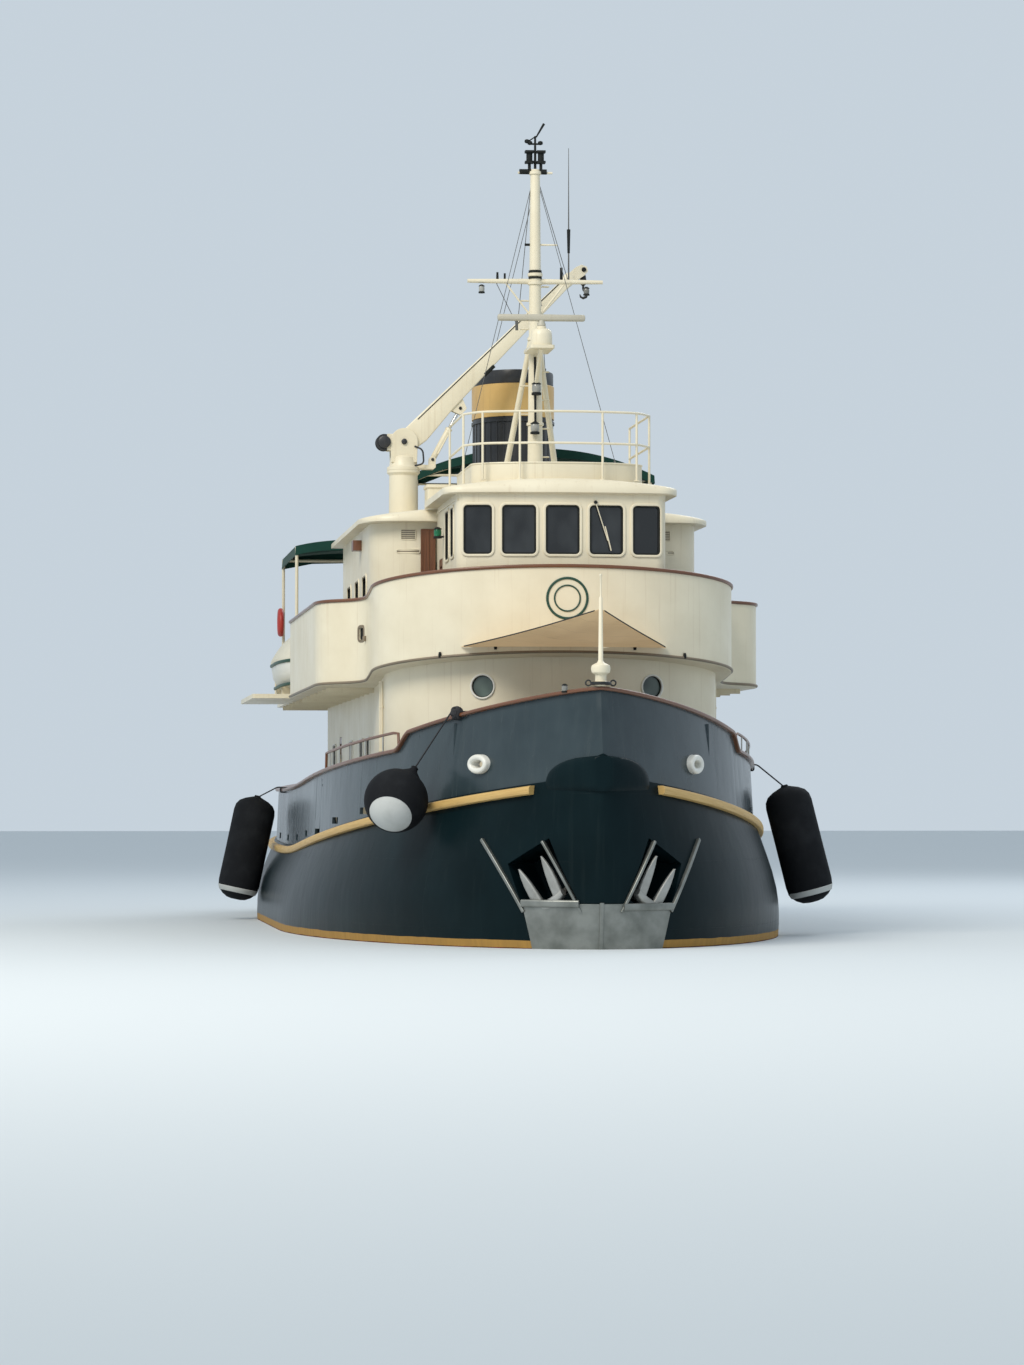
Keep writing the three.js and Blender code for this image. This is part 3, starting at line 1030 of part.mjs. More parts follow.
put("crane_column", "cream", craneColumn());
put("crane_jib", "cream", craneJib());
put("crane_barrel", "darkIron", craneBarrel);
put("crane_rod", "steel", craneRod);
put("hook_block", "darkIron", hookBlock);
put("cabin_roof", "cream", join(cabinRoof, cranePost, locker));
put("tender", "cream", tenderBody);
put("boat_deck", "cream", join(boatDeck, tenderChocks));
put("shade_sail", "canvasSand", shadeSail);
put("ball_fender", "fenderBlack", ballFender());
put("fender_starboard", "fenderBlack", longFender(STARBOARD, 21500, 5165, 420, 4690, 2640));
put("fender_port", "fenderBlack", longFender(PORT, 9000, 5120, 600, 4560, 2800));
put("propeller", "bronze", propeller());
put("rudder", "hullGreen", rudder());

const tugboat = new THREE.Group();
tugboat.name = "tugboat";
tugboat.add(...meshes);
export default tugboat;
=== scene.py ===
# %% [markdown]
# # A classic tugboat, dressed over its solid model
#
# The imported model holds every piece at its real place, in metres: bow towards -Y, port +X, up +Z, with the
# origin on the waterline amidships. Each cell below takes one part of the boat, says what it is on the real
# vessel and how it is made here, and builds it over that frame.

# %% Load the frame
import math

import bmesh
import bpy
from mathutils import Matrix, Vector, noise


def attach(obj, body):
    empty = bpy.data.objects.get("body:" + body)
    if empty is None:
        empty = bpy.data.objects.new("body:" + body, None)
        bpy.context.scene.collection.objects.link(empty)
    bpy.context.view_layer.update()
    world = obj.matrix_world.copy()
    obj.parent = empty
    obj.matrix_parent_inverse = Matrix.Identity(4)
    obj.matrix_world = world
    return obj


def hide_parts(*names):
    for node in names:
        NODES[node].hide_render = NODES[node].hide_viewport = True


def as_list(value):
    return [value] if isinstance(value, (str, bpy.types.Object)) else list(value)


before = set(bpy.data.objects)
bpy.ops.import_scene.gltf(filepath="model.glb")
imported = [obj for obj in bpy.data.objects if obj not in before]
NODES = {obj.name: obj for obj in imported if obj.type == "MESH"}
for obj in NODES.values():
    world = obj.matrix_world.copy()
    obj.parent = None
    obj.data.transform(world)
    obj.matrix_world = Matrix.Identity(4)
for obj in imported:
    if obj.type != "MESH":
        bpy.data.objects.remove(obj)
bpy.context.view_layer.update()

# %% [markdown]
# ## Camera and light
#
# The photograph is taken from a quay or a boat far ahead of the bow, with a long lens, from standing height.
# The lens, the distance and the two small angles come from the boat's own vanishing lines. The light is a
# bright overcast sky: one broad soft source above the bow's starboard side, and a weaker one from astern.

# %% Camera
def add_camera(place, lens, yaw, pitch):
    """A camera that looks along +Y, turned by yaw about the upright and tilted up by pitch, in degrees."""
    camera = bpy.data.cameras.new("camera")
    camera.lens = lens
    camera.clip_end = 500
    obj = bpy.data.objects.new("camera", camera)
    obj.location = place
    obj.rotation_euler = (math.radians(90 + pitch), 0, math.radians(-yaw))
    bpy.context.scene.collection.objects.link(obj)
    bpy.context.scene.camera = obj
    return obj


view = add_camera(place=(-9.32, -89.93, 2.33), lens=117.3, yaw=6.06, pitch=1.64)
print("camera", tuple(view.location), "lens", view.data.lens)


# %% Sky and lamps
def add_sky_panel(name, place, aim, size, power, colour):
    """A round area lamp that stands for a bright part of the cloud."""
    light = bpy.data.lights.new(name, "AREA")
    light.shape = "DISK"
    light.size = size
    light.energy = power
    light.color = colour
    obj = bpy.data.objects.new(name, light)
    obj.location = place
    obj.rotation_euler = (Vector(aim) - Vector(place)).to_track_quat("-Z", "Y").to_euler()
    bpy.context.scene.collection.objects.link(obj)
    return obj


world = bpy.data.worlds.new("overcast")
bpy.context.scene.world = world
world.use_nodes = True
sky = world.node_tree.nodes["Background"]
sky.inputs["Color"].default_value = (0.66, 0.75, 0.83, 1)
sky.inputs["Strength"].default_value = 0.86
bpy.context.scene.view_settings.view_transform = "Standard"
add_sky_panel("cloud", (-30, -44, 46), (0, -4, 3), 30, 27000, (1, 0.94, 0.84))
add_sky_panel("cloud_aft", (30, 36, 44), (0, 4, 2), 34, 9000, (0.93, 0.96, 1))


# %% Floor at the waterline
def add_floor(half):
    """A plain pale floor at the waterline. It is staging, so it isn't part of the boat."""
    mesh = bpy.data.meshes.new("floor")
    corners = [(-half, -half, 0), (half, -half, 0), (half, half, 0), (-half, half, 0)]
    mesh.from_pydata(corners, [], [(0, 1, 2, 3)])
    pale = bpy.data.materials.new("pale_floor")
    pale.use_nodes = True
    shader = pale.node_tree.nodes["Principled BSDF"]
    shader.inputs["Base Color"].default_value = (0.62, 0.66, 0.68, 1)
    shader.inputs["Roughness"].default_value = 0.85
    mesh.materials.append(pale)
    floor = bpy.data.objects.new("floor", mesh)
    bpy.context.scene.collection.objects.link(floor)
    return floor


floor = add_floor(400)
print("floor at z", floor.location.z)

# %% [markdown]
# ## Shader maths
#
# A finish is easier to read as sums than as wires. `Wire` wraps one output socket, and its operators add
# Math nodes, so `1 - mask` or `grain * 0.3` is written as it is thought. `Finish` wraps one material. Its
# only way to add a node is `add`, which takes the node's type, its settings and its sockets. Colours go
# through a Mix node, because a Math node would turn them grey.

# %% Wire
class Wire:
    """One output socket of a material's tree, which can be added to, multiplied and compared."""

    def __init__(self, tree, socket):
        self.tree = tree
        self.socket = socket

    def maths(self, operation, first, second):
        node = self.tree.nodes.new("ShaderNodeMath")
        node.operation = operation
        plug(self.tree, node.inputs[0], first)
        plug(self.tree, node.inputs[1], second)
        return Wire(self.tree, node.outputs[0])

    def __add__(self, other):
        return self.maths("ADD", self, other)

    def __sub__(self, other):
        return self.maths("SUBTRACT", self, other)

    def __rsub__(self, other):
        return self.maths("SUBTRACT", other, self)

    def __mul__(self, other):
        return self.maths("MULTIPLY", self, other)

    def __truediv__(self, other):
        return self.maths("DIVIDE", self, other)

    def __mod__(self, other):
        return self.maths("FLOORED_MODULO", self, other)

    def __gt__(self, other):
        return self.maths("GREATER_THAN", self, other)

    def __lt__(self, other):
        return self.maths("LESS_THAN", self, other)

    __radd__ = __add__
    __rmul__ = __mul__


def plug(tree, socket, value):
    """Links a wire to a socket, or sets the socket's own value."""
    if isinstance(value, Wire):
        tree.links.new(value.socket, socket)
    elif isinstance(value, tuple) and len(value) == 3 and socket.type == "RGBA":
        socket.default_value = (*value, 1)
    else:
        socket.default_value = value


print("wires ready")

# %% Finish
class Finish:
    """One material. Constants go on its shader's own sockets, and feed() links what varies."""

    def __init__(self, name, **constants):
        self.material = bpy.data.materials.new(name)
        self.material.use_nodes = True
        self.tree = self.material.node_tree
        self.shader = self.tree.nodes["Principled BSDF"]
        for socket, value in constants.items():
            plug(self.tree, self.shader.inputs[socket.replace("_", " ")], value)

    def add(self, kind, settings=None, sockets=None, out=0):
        node = self.tree.nodes.new("ShaderNode" + kind)
        for name, value in (settings or {}).items():
            if name == "stops":
                set_stops(node.color_ramp, value)
            else:
                setattr(node, name, value)
        for key, value in (sockets or {}).items():
            plug(self.tree, node.inputs[key], value)
        return Wire(self.tree, node.outputs[out])

    def feed(self, **wires):
        for socket, wire in wires.items():
            plug(self.tree, self.shader.inputs[socket.replace("_", " ")], wire)
        return self


def set_stops(ramp, stops):
    """Rows of (place, grey) on a colour ramp."""
    ramp.elements[0].position = stops[0][0]
    ramp.elements[1].position = stops[-1][0]
    for place, _ in stops[1:-1]:
        ramp.elements.new(place)
    for element, (_, grey) in zip(ramp.elements, stops):
        element.color = (grey, grey, grey, 1)


print("shader maths ready")

# %% [markdown]
# Every finish starts from a few shared patterns. `place` is a point on the boat in metres, or a piece's own
# run: how far along, across and up it a point lies, which keeps wood grain in line with a curved rail.

# %% Patterns
def place(finish, run=False):
    """A point in metres: on the boat, or along the piece's own run."""
    if run:
        return finish.add("Attribute", {"attribute_name": "run"}, out=1)
    return finish.add("TexCoord", out=3)


def split(finish, vector):
    node = finish.add("SeparateXYZ", sockets={"Vector": vector})
    outputs = node.socket.node.outputs
    return [Wire(finish.tree, outputs[i]) for i in range(3)]


def stretched(finish, vector, scale):
    """A pattern's place, squeezed by a scale for each axis."""
    return finish.add("VectorMath", {"operation": "MULTIPLY"}, {0: vector, 1: scale})


def cloud(finish, vector, scale, detail=4.0, roughness=0.55):
    return finish.add("TexNoise", sockets={
        "Vector": vector, "Scale": scale, "Detail": detail, "Roughness": roughness})


def ramp(finish, value, *stops):
    return finish.add("ValToRGB", {"stops": stops}, {"Fac": value})


def mix(finish, factor, first, second):
    return finish.add("Mix", {"data_type": "RGBA"}, {0: factor, 6: first, 7: second}, out=2)


def bump(finish, height, strength=0.3, distance=0.002, over=None):
    sockets = {"Height": height, "Strength": strength, "Distance": distance}
    if over:
        sockets["Normal"] = over
    return finish.add("Bump", sockets=sockets)


print("patterns ready")

# %% [markdown]
# ## Forms
#
# Nearly everything on a boat is a section carried along a line: a rail, a plank, a pipe, a wall, even the
# hull. So one class gathers closed shapes and one move makes them: `loft` joins a row of rings. A sweep, a bar
# and a turned piece are each a way to write down the rings. Every point keeps its own run, which is how far
# along and across the piece it lies, and the wood finishes read it.

# %% Points and rings
LENGTH = 33
HALF_LENGTH = LENGTH / 2


def at(x, station, z):
    """A point of the boat from its distance aft of the stem."""
    return Vector((x, station - HALF_LENGTH, z))


def middle(ring):
    return sum(ring, Vector()) / len(ring)


def circle(sides, radius=1.0, high=None):
    """A ring of (across, up) pairs, or an oval if its height differs."""
    high = radius if high is None else high
    turns = [2 * math.pi * i / sides for i in range(sides)]
    return [(radius * math.cos(t), high * math.sin(t)) for t in turns]


def rounded(width, height, corner, steps=5):
    """A rectangle about its middle with round corners, as (across, up) pairs."""
    points = []
    for turn, (sx, sz) in enumerate(((1, 1), (-1, 1), (-1, -1), (1, -1))):
        for i in range(steps + 1):
            angle = math.pi / 2 * (turn + i / steps)
            points.append((sx * (width / 2 - corner) + corner * math.cos(angle),
                           sz * (height / 2 - corner) + corner * math.sin(angle)))
    return points


def tangents(path, loop):
    """The direction of a path at each of its points."""
    count = len(path)
    result = []
    for i in range(count):
        before = path[i - 1] if i or loop else path[0]
        after = path[(i + 1) % count] if i < count - 1 or loop else path[-1]
        result.append((after - before).normalized())
    return result


print("rings ready, boat", LENGTH, "m long")

# %% Form and its lofts
class Form:
    """Closed shapes that share a finish, gathered until they are made into one object."""

    def __init__(self):
        self.points = []
        self.faces = []
        self.runs = []

    def loft(self, rings, loop=False, caps=True):
        """Joins rings of equal count. The ends are closed, or joined to each other if it is a loop."""
        first = len(self.points)
        count = len(rings[0])
        along = 0.0
        for i, ring in enumerate(rings):
            along += (middle(ring) - middle(rings[i - 1])).length if i else 0
            across = 0.0
            for j, point in enumerate(ring):
                across += (point - ring[j - 1]).length if j else 0
                self.points.append(point)
                self.runs.append((along, across, 0.0))
        spans = len(rings) if loop else len(rings) - 1
        for i in range(spans):
            here = first + i * count
            there = first + (i + 1) % len(rings) * count
            for j in range(count):
                k = (j + 1) % count
                self.faces.append((here + j, here + k, there + k, there + j))
        if caps and not loop:
            self.faces.append(tuple(range(first + count - 1, first - 1, -1)))
            self.faces.append(tuple(range(len(self.points) - count, len(self.points))))
        return self

    def sweep(self, path, normals, section, loop=False):
        """Carries a section of (across, out) pairs along a path whose outward direction is known."""
        rings = []
        for point, normal, along in zip(path, normals, tangents(path, loop)):
            side = along.cross(normal).normalized()
            rings.append([point + side * a + normal * b for a, b in section])
        return self.loft(rings, loop)

    def tube(self, path, radius, sides=10, loop=False):
        """A round bar along any path. The frame is carried from point to point, so it never twists."""
        radii = radius if isinstance(radius, (list, tuple)) else [radius] * len(path)
        along = tangents(path, loop)
        normal = along[0].orthogonal().normalized()
        rings = []
        for point, direction, r in zip(path, along, radii):
            normal = (normal - direction * normal.dot(direction)).normalized()
            side = direction.cross(normal)
            rings.append([point + side * a + normal * b for a, b in circle(sides, r)])
        return self.loft(rings, loop)

    def bar(self, start, end, radius, end_radius=None, sides=14):
        last = radius if end_radius is None else end_radius
        return self.tube([Vector(start), Vector(end)], [radius, last], sides)

    def turned(self, rows, foot, axis=(0, 0, 1), sides=28):
        """A turned piece: rows of (radius, height) along an axis from its foot."""
        axis = Vector(axis).normalized()
        side = axis.orthogonal().normalized()
        other = axis.cross(side)
        return self.loft([[Vector(foot) + axis * h + side * a + other * b for a, b in circle(sides, r)]
                          for r, h in rows])

    def block(self, low, high, corner=0.0):
        """An upright block between two corners, with its upright edges rounded if asked."""
        low, high = Vector(low), Vector(high)
        centre, size = (low + high) / 2, high - low
        plan = rounded(size.x, size.y, corner, 3) if corner else [
            (size.x / 2, size.y / 2), (-size.x / 2, size.y / 2), (-size.x / 2, -size.y / 2),
            (size.x / 2, -size.y / 2)]
        return self.loft([[Vector((centre.x + a, centre.y + b, z)) for a, b in plan]
                          for z in (low.z, high.z)])

    def both(self, build):
        """Runs a builder for port and for starboard, with side = 1 and side = -1."""
        for side in (1, -1):
            build(self, side)
        return self

    def mesh(self, name):
        """The mesh of all shapes, with doubles welded, each face outward and the run on every point."""
        mesh = bpy.data.meshes.new(name)
        mesh.from_pydata([tuple(p) for p in self.points], [], self.faces)
        run = mesh.attributes.new("run", "FLOAT_VECTOR", "POINT")
        run.data.foreach_set("vector", [v for triple in self.runs for v in triple])
        shape = bmesh.new()
        shape.from_mesh(mesh)
        bmesh.ops.remove_doubles(shape, verts=shape.verts, dist=1e-5)
        bmesh.ops.dissolve_degenerate(shape, edges=shape.edges, dist=1e-6)
        bmesh.ops.recalc_face_normals(shape, faces=shape.faces)
        shape.to_mesh(mesh)
        shape.free()
        return mesh


print("forms ready")

# %% [markdown]
# A form becomes a piece when it is given its finish, the body that it rides on and the model's nodes that it
# stands for. Holes are cut while it is still raw. Edges are softened by a small bevel, because no painted
# edge on a boat is sharp enough to be a line.

# %% Cutting holes
def cut_out(obj, *tools):
    """Cuts closed tool forms out of an object's mesh, one by one."""
    for tool in tools:
        cutter = bpy.data.objects.new("cutter", tool.mesh("cutter"))
        bpy.context.scene.collection.objects.link(cutter)
        hole = obj.modifiers.new("cut", "BOOLEAN")
        hole.operation = "DIFFERENCE"
        hole.solver = "EXACT"
        hole.object = cutter
        graph = bpy.context.evaluated_depsgraph_get()
        graph.update()
        done = bpy.data.meshes.new_from_object(obj.evaluated_get(graph))
        obj.modifiers.clear()
        obj.data = done
        bpy.data.objects.remove(cutter)
    return obj


print("holes can be cut")

# %% From form to piece
PIECES = []
WELD = 1e-5


def soften(obj, width, angle):
    """A two-step bevel on the edges that are sharper than an angle in degrees."""
    soft = obj.modifiers.new("soft edges", "BEVEL")
    soft.width = width
    soft.segments = 2
    soft.limit_method = "ANGLE"
    soft.angle_limit = math.radians(angle)
    return soft


def piece(form, name, finish, body="ship", slot=None, bevel=0.0, angle=35, stands_for=(), holes=()):
    """Makes one object of a form: its holes, its finish, its soft edges, its body and what it replaces."""
    obj = bpy.data.objects.new(name, form.mesh(name))
    bpy.context.scene.collection.objects.link(obj)
    cut_out(obj, *holes)
    obj.data.materials.clear()
    obj.data.materials.append(finish.material)
    obj.data.shade_smooth()
    obj.data.set_sharp_from_angle(angle=math.radians(angle))
    if bevel:
        soft = soften(obj, bevel, 40)
        soft.use_clamp_overlap = True
        soft.harden_normals = True
    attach(obj, body)
    if stands_for:
        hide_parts(*stands_for)
    PIECES.append(obj)
    return obj


def dress(finish, *nodes, angle=30, bevel=0.0):
    """Gives the model's own solids a finish. Their shape stays, and only their edges are softened."""
    for node in nodes:
        obj = NODES[node]
        obj.data.materials.clear()
        obj.data.materials.append(finish.material)
        weld = obj.modifiers.new("weld", "WELD")
        weld.merge_threshold = WELD
        if bevel:
            soften(obj, bevel, angle)
        smooth = obj.modifiers.new("smooth", "EDGE_SPLIT")
        smooth.split_angle = math.radians(angle)
        obj.data.shade_smooth()


print("pieces can be made")

# %% [markdown]
# ## Paint
#
# The topsides are a blue-green so dark that it reads as black until light grazes it. It is brushed paint on
# welded plate: the seams show as faint ridges, the plate between frames is a little hollow, and rain leaves
# soft streaks under the rail. The colour changes with height to the ochre boot-top and the red below it.

# %% Hull and bulwark paint
BOOT_FROM, BOOT_TO = 0.03, 0.155


def streaks(finish, spot, fine=9.0):
    """Rain marks: a noise squeezed along the height, so it draws thin upright lines."""
    return cloud(finish, stretched(finish, spot, (fine, fine, 0.35)), 1.0, 6.0, 0.6)


def weld_seams(finish, spot, plate=(2.4, 1.15), width=0.012):
    x, y, z = split(finish, spot)
    upright = ((y + 40) % plate[0]) < width
    level = ((z + 10 + cloud(finish, spot, 0.2) * 0.08) % plate[1]) < width
    return upright + level


def band(value, low, high):
    return (value > low) * (value < high)


def hull_finish():
    paint = Finish("hull_paint", Specular_IOR_Level=0.06)
    spot = place(paint)
    z = split(paint, spot)[2]
    dirt = streaks(paint, spot)
    patch = cloud(paint, spot, 0.7, 3.0)
    green = mix(paint, ramp(paint, patch, (0.3, 0.0), (0.7, 1.0)), (0.003, 0.009, 0.011),
                (0.005, 0.014, 0.017))
    green = mix(paint, ramp(paint, dirt, (0.55, 0.0), (0.85, 0.22)), green, (0.030, 0.042, 0.042))
    edge = z + cloud(paint, spot, 1.3) * 0.03
    ochre = mix(paint, ramp(paint, dirt, (0.3, 0.0), (0.8, 0.6)), (0.42, 0.24, 0.065), (0.24, 0.14, 0.05))
    coat = mix(paint, band(edge, BOOT_FROM, BOOT_TO), green, ochre)
    growth = ramp(paint, cloud(paint, spot, 3.0, 6.0), (0.35, 0.0), (0.65, 1.0))
    weed = mix(paint, growth, (0.16, 0.022, 0.014), (0.055, 0.03, 0.014))
    coat = mix(paint, edge < BOOT_FROM, coat, weed)
    gloss = ramp(paint, dirt, (0.2, 0.27), (0.9, 0.36)) + (edge < BOOT_TO) * 0.3
    dents = cloud(paint, spot, 1.3, 2.0) * 0.7 + cloud(paint, spot, 90.0, 2.0) * 0.006
    return paint.feed(Base_Color=coat, Roughness=gloss, Normal=bump(
        paint, dents + weld_seams(paint, spot) * 0.12, 0.35, 0.03))


def painted_sky_bulwark_finish():
    paint = Finish("bulwark_with_painted_sky", Specular_IOR_Level=0.42)
    spot = place(paint)
    dirt = streaks(paint, spot, 6.0)
    patch = cloud(paint, spot, 0.9, 3.0)
    # The real bulwark has the hull's same dark paint. This base is lighter and bluer than the hull's as painted
    # sky reflection, on top of the paint's own gloss. The streaks are real rain dirt.
    tone = mix(paint, ramp(paint, patch, (0.3, 0.0), (0.7, 1.0)), (0.022, 0.036, 0.043), (0.036, 0.054, 0.062))
    tone = mix(paint, ramp(paint, dirt, (0.5, 0.0), (0.85, 0.3)), tone, (0.060, 0.078, 0.080))
    dents = cloud(paint, spot, 1.4, 2.0) * 0.8 + cloud(paint, spot, 90.0, 2.0) * 0.012
    return paint.feed(Base_Color=tone, Roughness=ramp(paint, dirt, (0.3, 0.16), (0.9, 0.36)), Normal=bump(
        paint, dents + weld_seams(paint, spot, (1.9, 9.0)) * 0.12, 0.4, 0.03))


HULL_PAINT = hull_finish()
BULWARK_WITH_PAINTED_SKY = painted_sky_bulwark_finish()
print("topside paints", HULL_PAINT.material.name, BULWARK_WITH_PAINTED_SKY.material.name)

# %% [markdown]
# The houses are painted in a warm cream. On old plate it is never even: it is chalkier in patches, and rusty
# water runs down it in thin upright lines. One helper makes every flat paint from a base, a worn tone and a
# stain.

# %% Cream, ochre and machine paints
def flat_paint(name, base, worn, stain, rough=0.38, amount=0.35, scale=1.1, **constants):
    """Brushed paint: chalky patches of its worn tone and upright runs of its stain."""
    paint = Finish(name, **constants)
    spot = place(paint)
    chalk = cloud(paint, spot, scale, 5.0)
    runs = ramp(paint, streaks(paint, spot, 14.0), (0.58, 0.0), (0.84, amount))
    tone = mix(paint, ramp(paint, chalk, (0.3, 0.0), (0.72, 1.0)), base, worn)
    tone = mix(paint, runs, tone, stain)
    skin = cloud(paint, spot, 1.5, 2.0) * 0.5 + cloud(paint, spot, 120.0, 3.0) * 0.02
    return paint.feed(Base_Color=tone, Roughness=chalk * 0.25 + (rough - 0.1),
                      Normal=bump(paint, skin, 0.3, 0.02))


CREAM = flat_paint("cream_paint", (0.80, 0.73, 0.56), (0.71, 0.635, 0.47), (0.36, 0.22, 0.10))
WHITE = flat_paint("white_paint", (0.80, 0.79, 0.74), (0.70, 0.69, 0.62), (0.42, 0.33, 0.20), amount=0.2)
SCANNER = flat_paint("scanner_paint", (0.50, 0.47, 0.38), (0.42, 0.39, 0.31), (0.22, 0.17, 0.10), 0.45)
FUNNEL_BLACK = flat_paint("funnel_black", (0.012, 0.013, 0.015), (0.03, 0.03, 0.032), (0.09, 0.08, 0.07), 0.34)
FUNNEL_GOLD = flat_paint("funnel_gold", (0.72, 0.47, 0.17), (0.60, 0.37, 0.12), (0.25, 0.15, 0.06), 0.36,
                         Metallic=0.25)
LAMP_RED = flat_paint("signal_red", (0.50, 0.035, 0.025), (0.38, 0.03, 0.02), (0.12, 0.03, 0.02), 0.4)
TAUPE = flat_paint("moulding_paint", (0.17, 0.135, 0.09), (0.24, 0.19, 0.13), (0.08, 0.06, 0.04), 0.45)
EMBLEM_GREEN = flat_paint("emblem_green", (0.012, 0.055, 0.035), (0.02, 0.07, 0.045), (0.03, 0.05, 0.03),
                          0.4)


def strake_finish():
    """Ochre paint over timber: rubbed to the wood along its face, black where a quay has scored it."""
    paint = Finish("strake_paint")
    run = place(paint, run=True)
    spot = place(paint)
    grain = cloud(paint, stretched(paint, run, (1.2, 60.0, 1.0)), 1.0, 5.0)
    scuffs = ramp(paint, cloud(paint, stretched(paint, run, (3.0, 26.0, 1.0)), 1.0, 6.0, 0.7),
                  (0.60, 0.0), (0.74, 0.8))
    tone = mix(paint, ramp(paint, grain, (0.3, 0.0), (0.7, 1.0)), (0.66, 0.44, 0.16), (0.50, 0.31, 0.10))
    tone = mix(paint, scuffs, tone, (0.11, 0.075, 0.04))
    return paint.feed(Base_Color=tone, Roughness=grain * 0.3 + 0.38, Normal=bump(
        paint, grain * 0.4 + cloud(paint, spot, 30.0) * 0.3 - scuffs * 0.4, 0.4, 0.006))


STRAKE_PAINT = strake_finish()
print("paints", CREAM.material.name, FUNNEL_GOLD.material.name, STRAKE_PAINT.material.name)

# %% [markdown]
# ## Wood, metal, canvas, rubber and glass
#
# Varnished teak has long dark pores along the rail. Bare deck teak has gone silver, and its planks are told
# apart by black seams a hand's width from each other. Canvas shows its cloth widths and the soft stains where
# rain stands. All of them are noise that is stretched along one direction, and the differences are the scale
# and the ramp.

# %% Teak
def varnished_teak(name, run):
    """Long dark pores along the grain under a coat of varnish. Rails follow their run, panels stand upright."""
    wood = Finish(name, Coat_Weight=0.35, Coat_Roughness=0.18)
    spot = place(wood, run)
    stretch = (0.9, 42.0, 42.0) if run else (30.0, 30.0, 1.1)
    grain = cloud(wood, stretched(wood, spot, stretch), 1.0, 7.0, 0.62)
    broad = cloud(wood, stretched(wood, spot, (0.5, 6.0, 6.0) if run else (5.0, 5.0, 0.5)), 1.0, 3.0)
    tone = mix(wood, ramp(wood, grain, (0.32, 0.0), (0.68, 1.0)), (0.085, 0.028, 0.011), (0.21, 0.080, 0.032))
    tone = mix(wood, ramp(wood, broad, (0.35, 0.0), (0.7, 0.6)), tone, (0.15, 0.054, 0.021))
    return wood.feed(Base_Color=tone, Roughness=ramp(wood, grain, (0.3, 0.45), (0.8, 0.28)),
                     Normal=bump(wood, grain, 0.25, 0.002))


def deck_teak():
    """Silver planks with black seams between them and a butt every few metres."""
    wood = Finish("deck_teak")
    spot = place(wood)
    x, y, z = split(wood, spot)
    across = (x + 20) / PLANK
    plank = wood.add("Math", {"operation": "FLOOR"}, {0: across})
    gap = (across % 1) < 0.075
    butt = ((y + plank * 1.37 + 60) % 3.6) < 0.008
    tint = wood.add("TexWhiteNoise", {"noise_dimensions": "1D"}, {"W": plank})
    grain = cloud(wood, stretched(wood, spot, (60.0, 2.2, 60.0)), 1.0, 6.0)
    tone = mix(wood, ramp(wood, grain, (0.3, 0.0), (0.7, 1.0)), (0.30, 0.235, 0.165), (0.42, 0.345, 0.25))
    tone = mix(wood, tint * 0.35, tone, (0.26, 0.20, 0.145))
    worn = ramp(wood, cloud(wood, spot, 0.8, 4.0), (0.5, 0.0), (0.75, 0.45))
    tone = mix(wood, worn, tone, (0.20, 0.17, 0.13))
    seams = gap + butt
    tone = mix(wood, seams, tone, (0.012, 0.011, 0.010))
    return wood.feed(Base_Color=tone, Roughness=grain * 0.15 + 0.62,
                     Normal=bump(wood, grain * 0.25 - seams * 0.7, 0.5, 0.003))


PLANK = 0.092
TEAK_RAIL = varnished_teak("teak_rail", run=True)
TEAK_PANEL = varnished_teak("teak_panel", run=False)
DECK_TEAK = deck_teak()
print("woods", TEAK_RAIL.material.name, TEAK_PANEL.material.name, DECK_TEAK.material.name)


# %% Metals
def bare_metal(name, colour, dull, rough, brushed=(4.0, 4.0, 4.0), metal=1.0, depth=0.12):
    """Metal with brush marks along one direction and a dull film in patches."""
    finish = Finish(name, Metallic=metal)
    spot = place(finish)
    marks = cloud(finish, stretched(finish, spot, brushed), 1.0, 8.0, 0.65)
    smear = cloud(finish, spot, 2.2, 4.0)
    tone = mix(finish, ramp(finish, smear, (0.35, 0.0), (0.7, 1.0)), colour, dull)
    return finish.feed(Base_Color=tone, Roughness=marks * 0.22 + smear * 0.18 + (rough - 0.2),
                       Normal=bump(finish, marks, depth, 0.002))


STAINLESS = bare_metal("stainless", (0.56, 0.56, 0.54), (0.40, 0.41, 0.39), 0.36, (2.0, 2.0, 60.0))
SHEATHING = bare_metal("stem_sheathing", (0.30, 0.31, 0.29), (0.17, 0.18, 0.165), 0.42, (2.0, 2.0, 40.0),
                       0.8)
CHROME = bare_metal("hydraulic_rod", (0.78, 0.79, 0.80), (0.62, 0.62, 0.62), 0.26, depth=0.004)
BRONZE = bare_metal("propeller_bronze", (0.55, 0.36, 0.13), (0.30, 0.26, 0.13), 0.38, (9.0, 9.0, 9.0))
GALVANISED = bare_metal("galvanised", (0.44, 0.44, 0.42), (0.30, 0.30, 0.28), 0.5, (25.0, 25.0, 25.0), 0.75)


def black_iron():
    """Painted bollards and windlass: black, chipped to rust where ropes and chain run."""
    iron = Finish("black_iron", Metallic=0.15)
    spot = place(iron)
    chips = ramp(iron, cloud(iron, spot, 7.0, 8.0, 0.7), (0.58, 0.0), (0.66, 1.0))
    rust = mix(iron, cloud(iron, spot, 25.0, 4.0), (0.13, 0.045, 0.015), (0.06, 0.02, 0.01))
    tone = mix(iron, chips * 0.7, (0.017, 0.018, 0.018), rust)
    return iron.feed(Base_Color=tone, Roughness=chips * 0.3 + 0.42, Normal=bump(
        iron, cloud(iron, spot, 60.0, 3.0) * 0.3 - chips * 0.5, 0.4, 0.003))


BLACK_IRON = black_iron()
print("metals", STAINLESS.material.name, BLACK_IRON.material.name, BRONZE.material.name)


# %% Canvas and rope
THREADS = 90.0


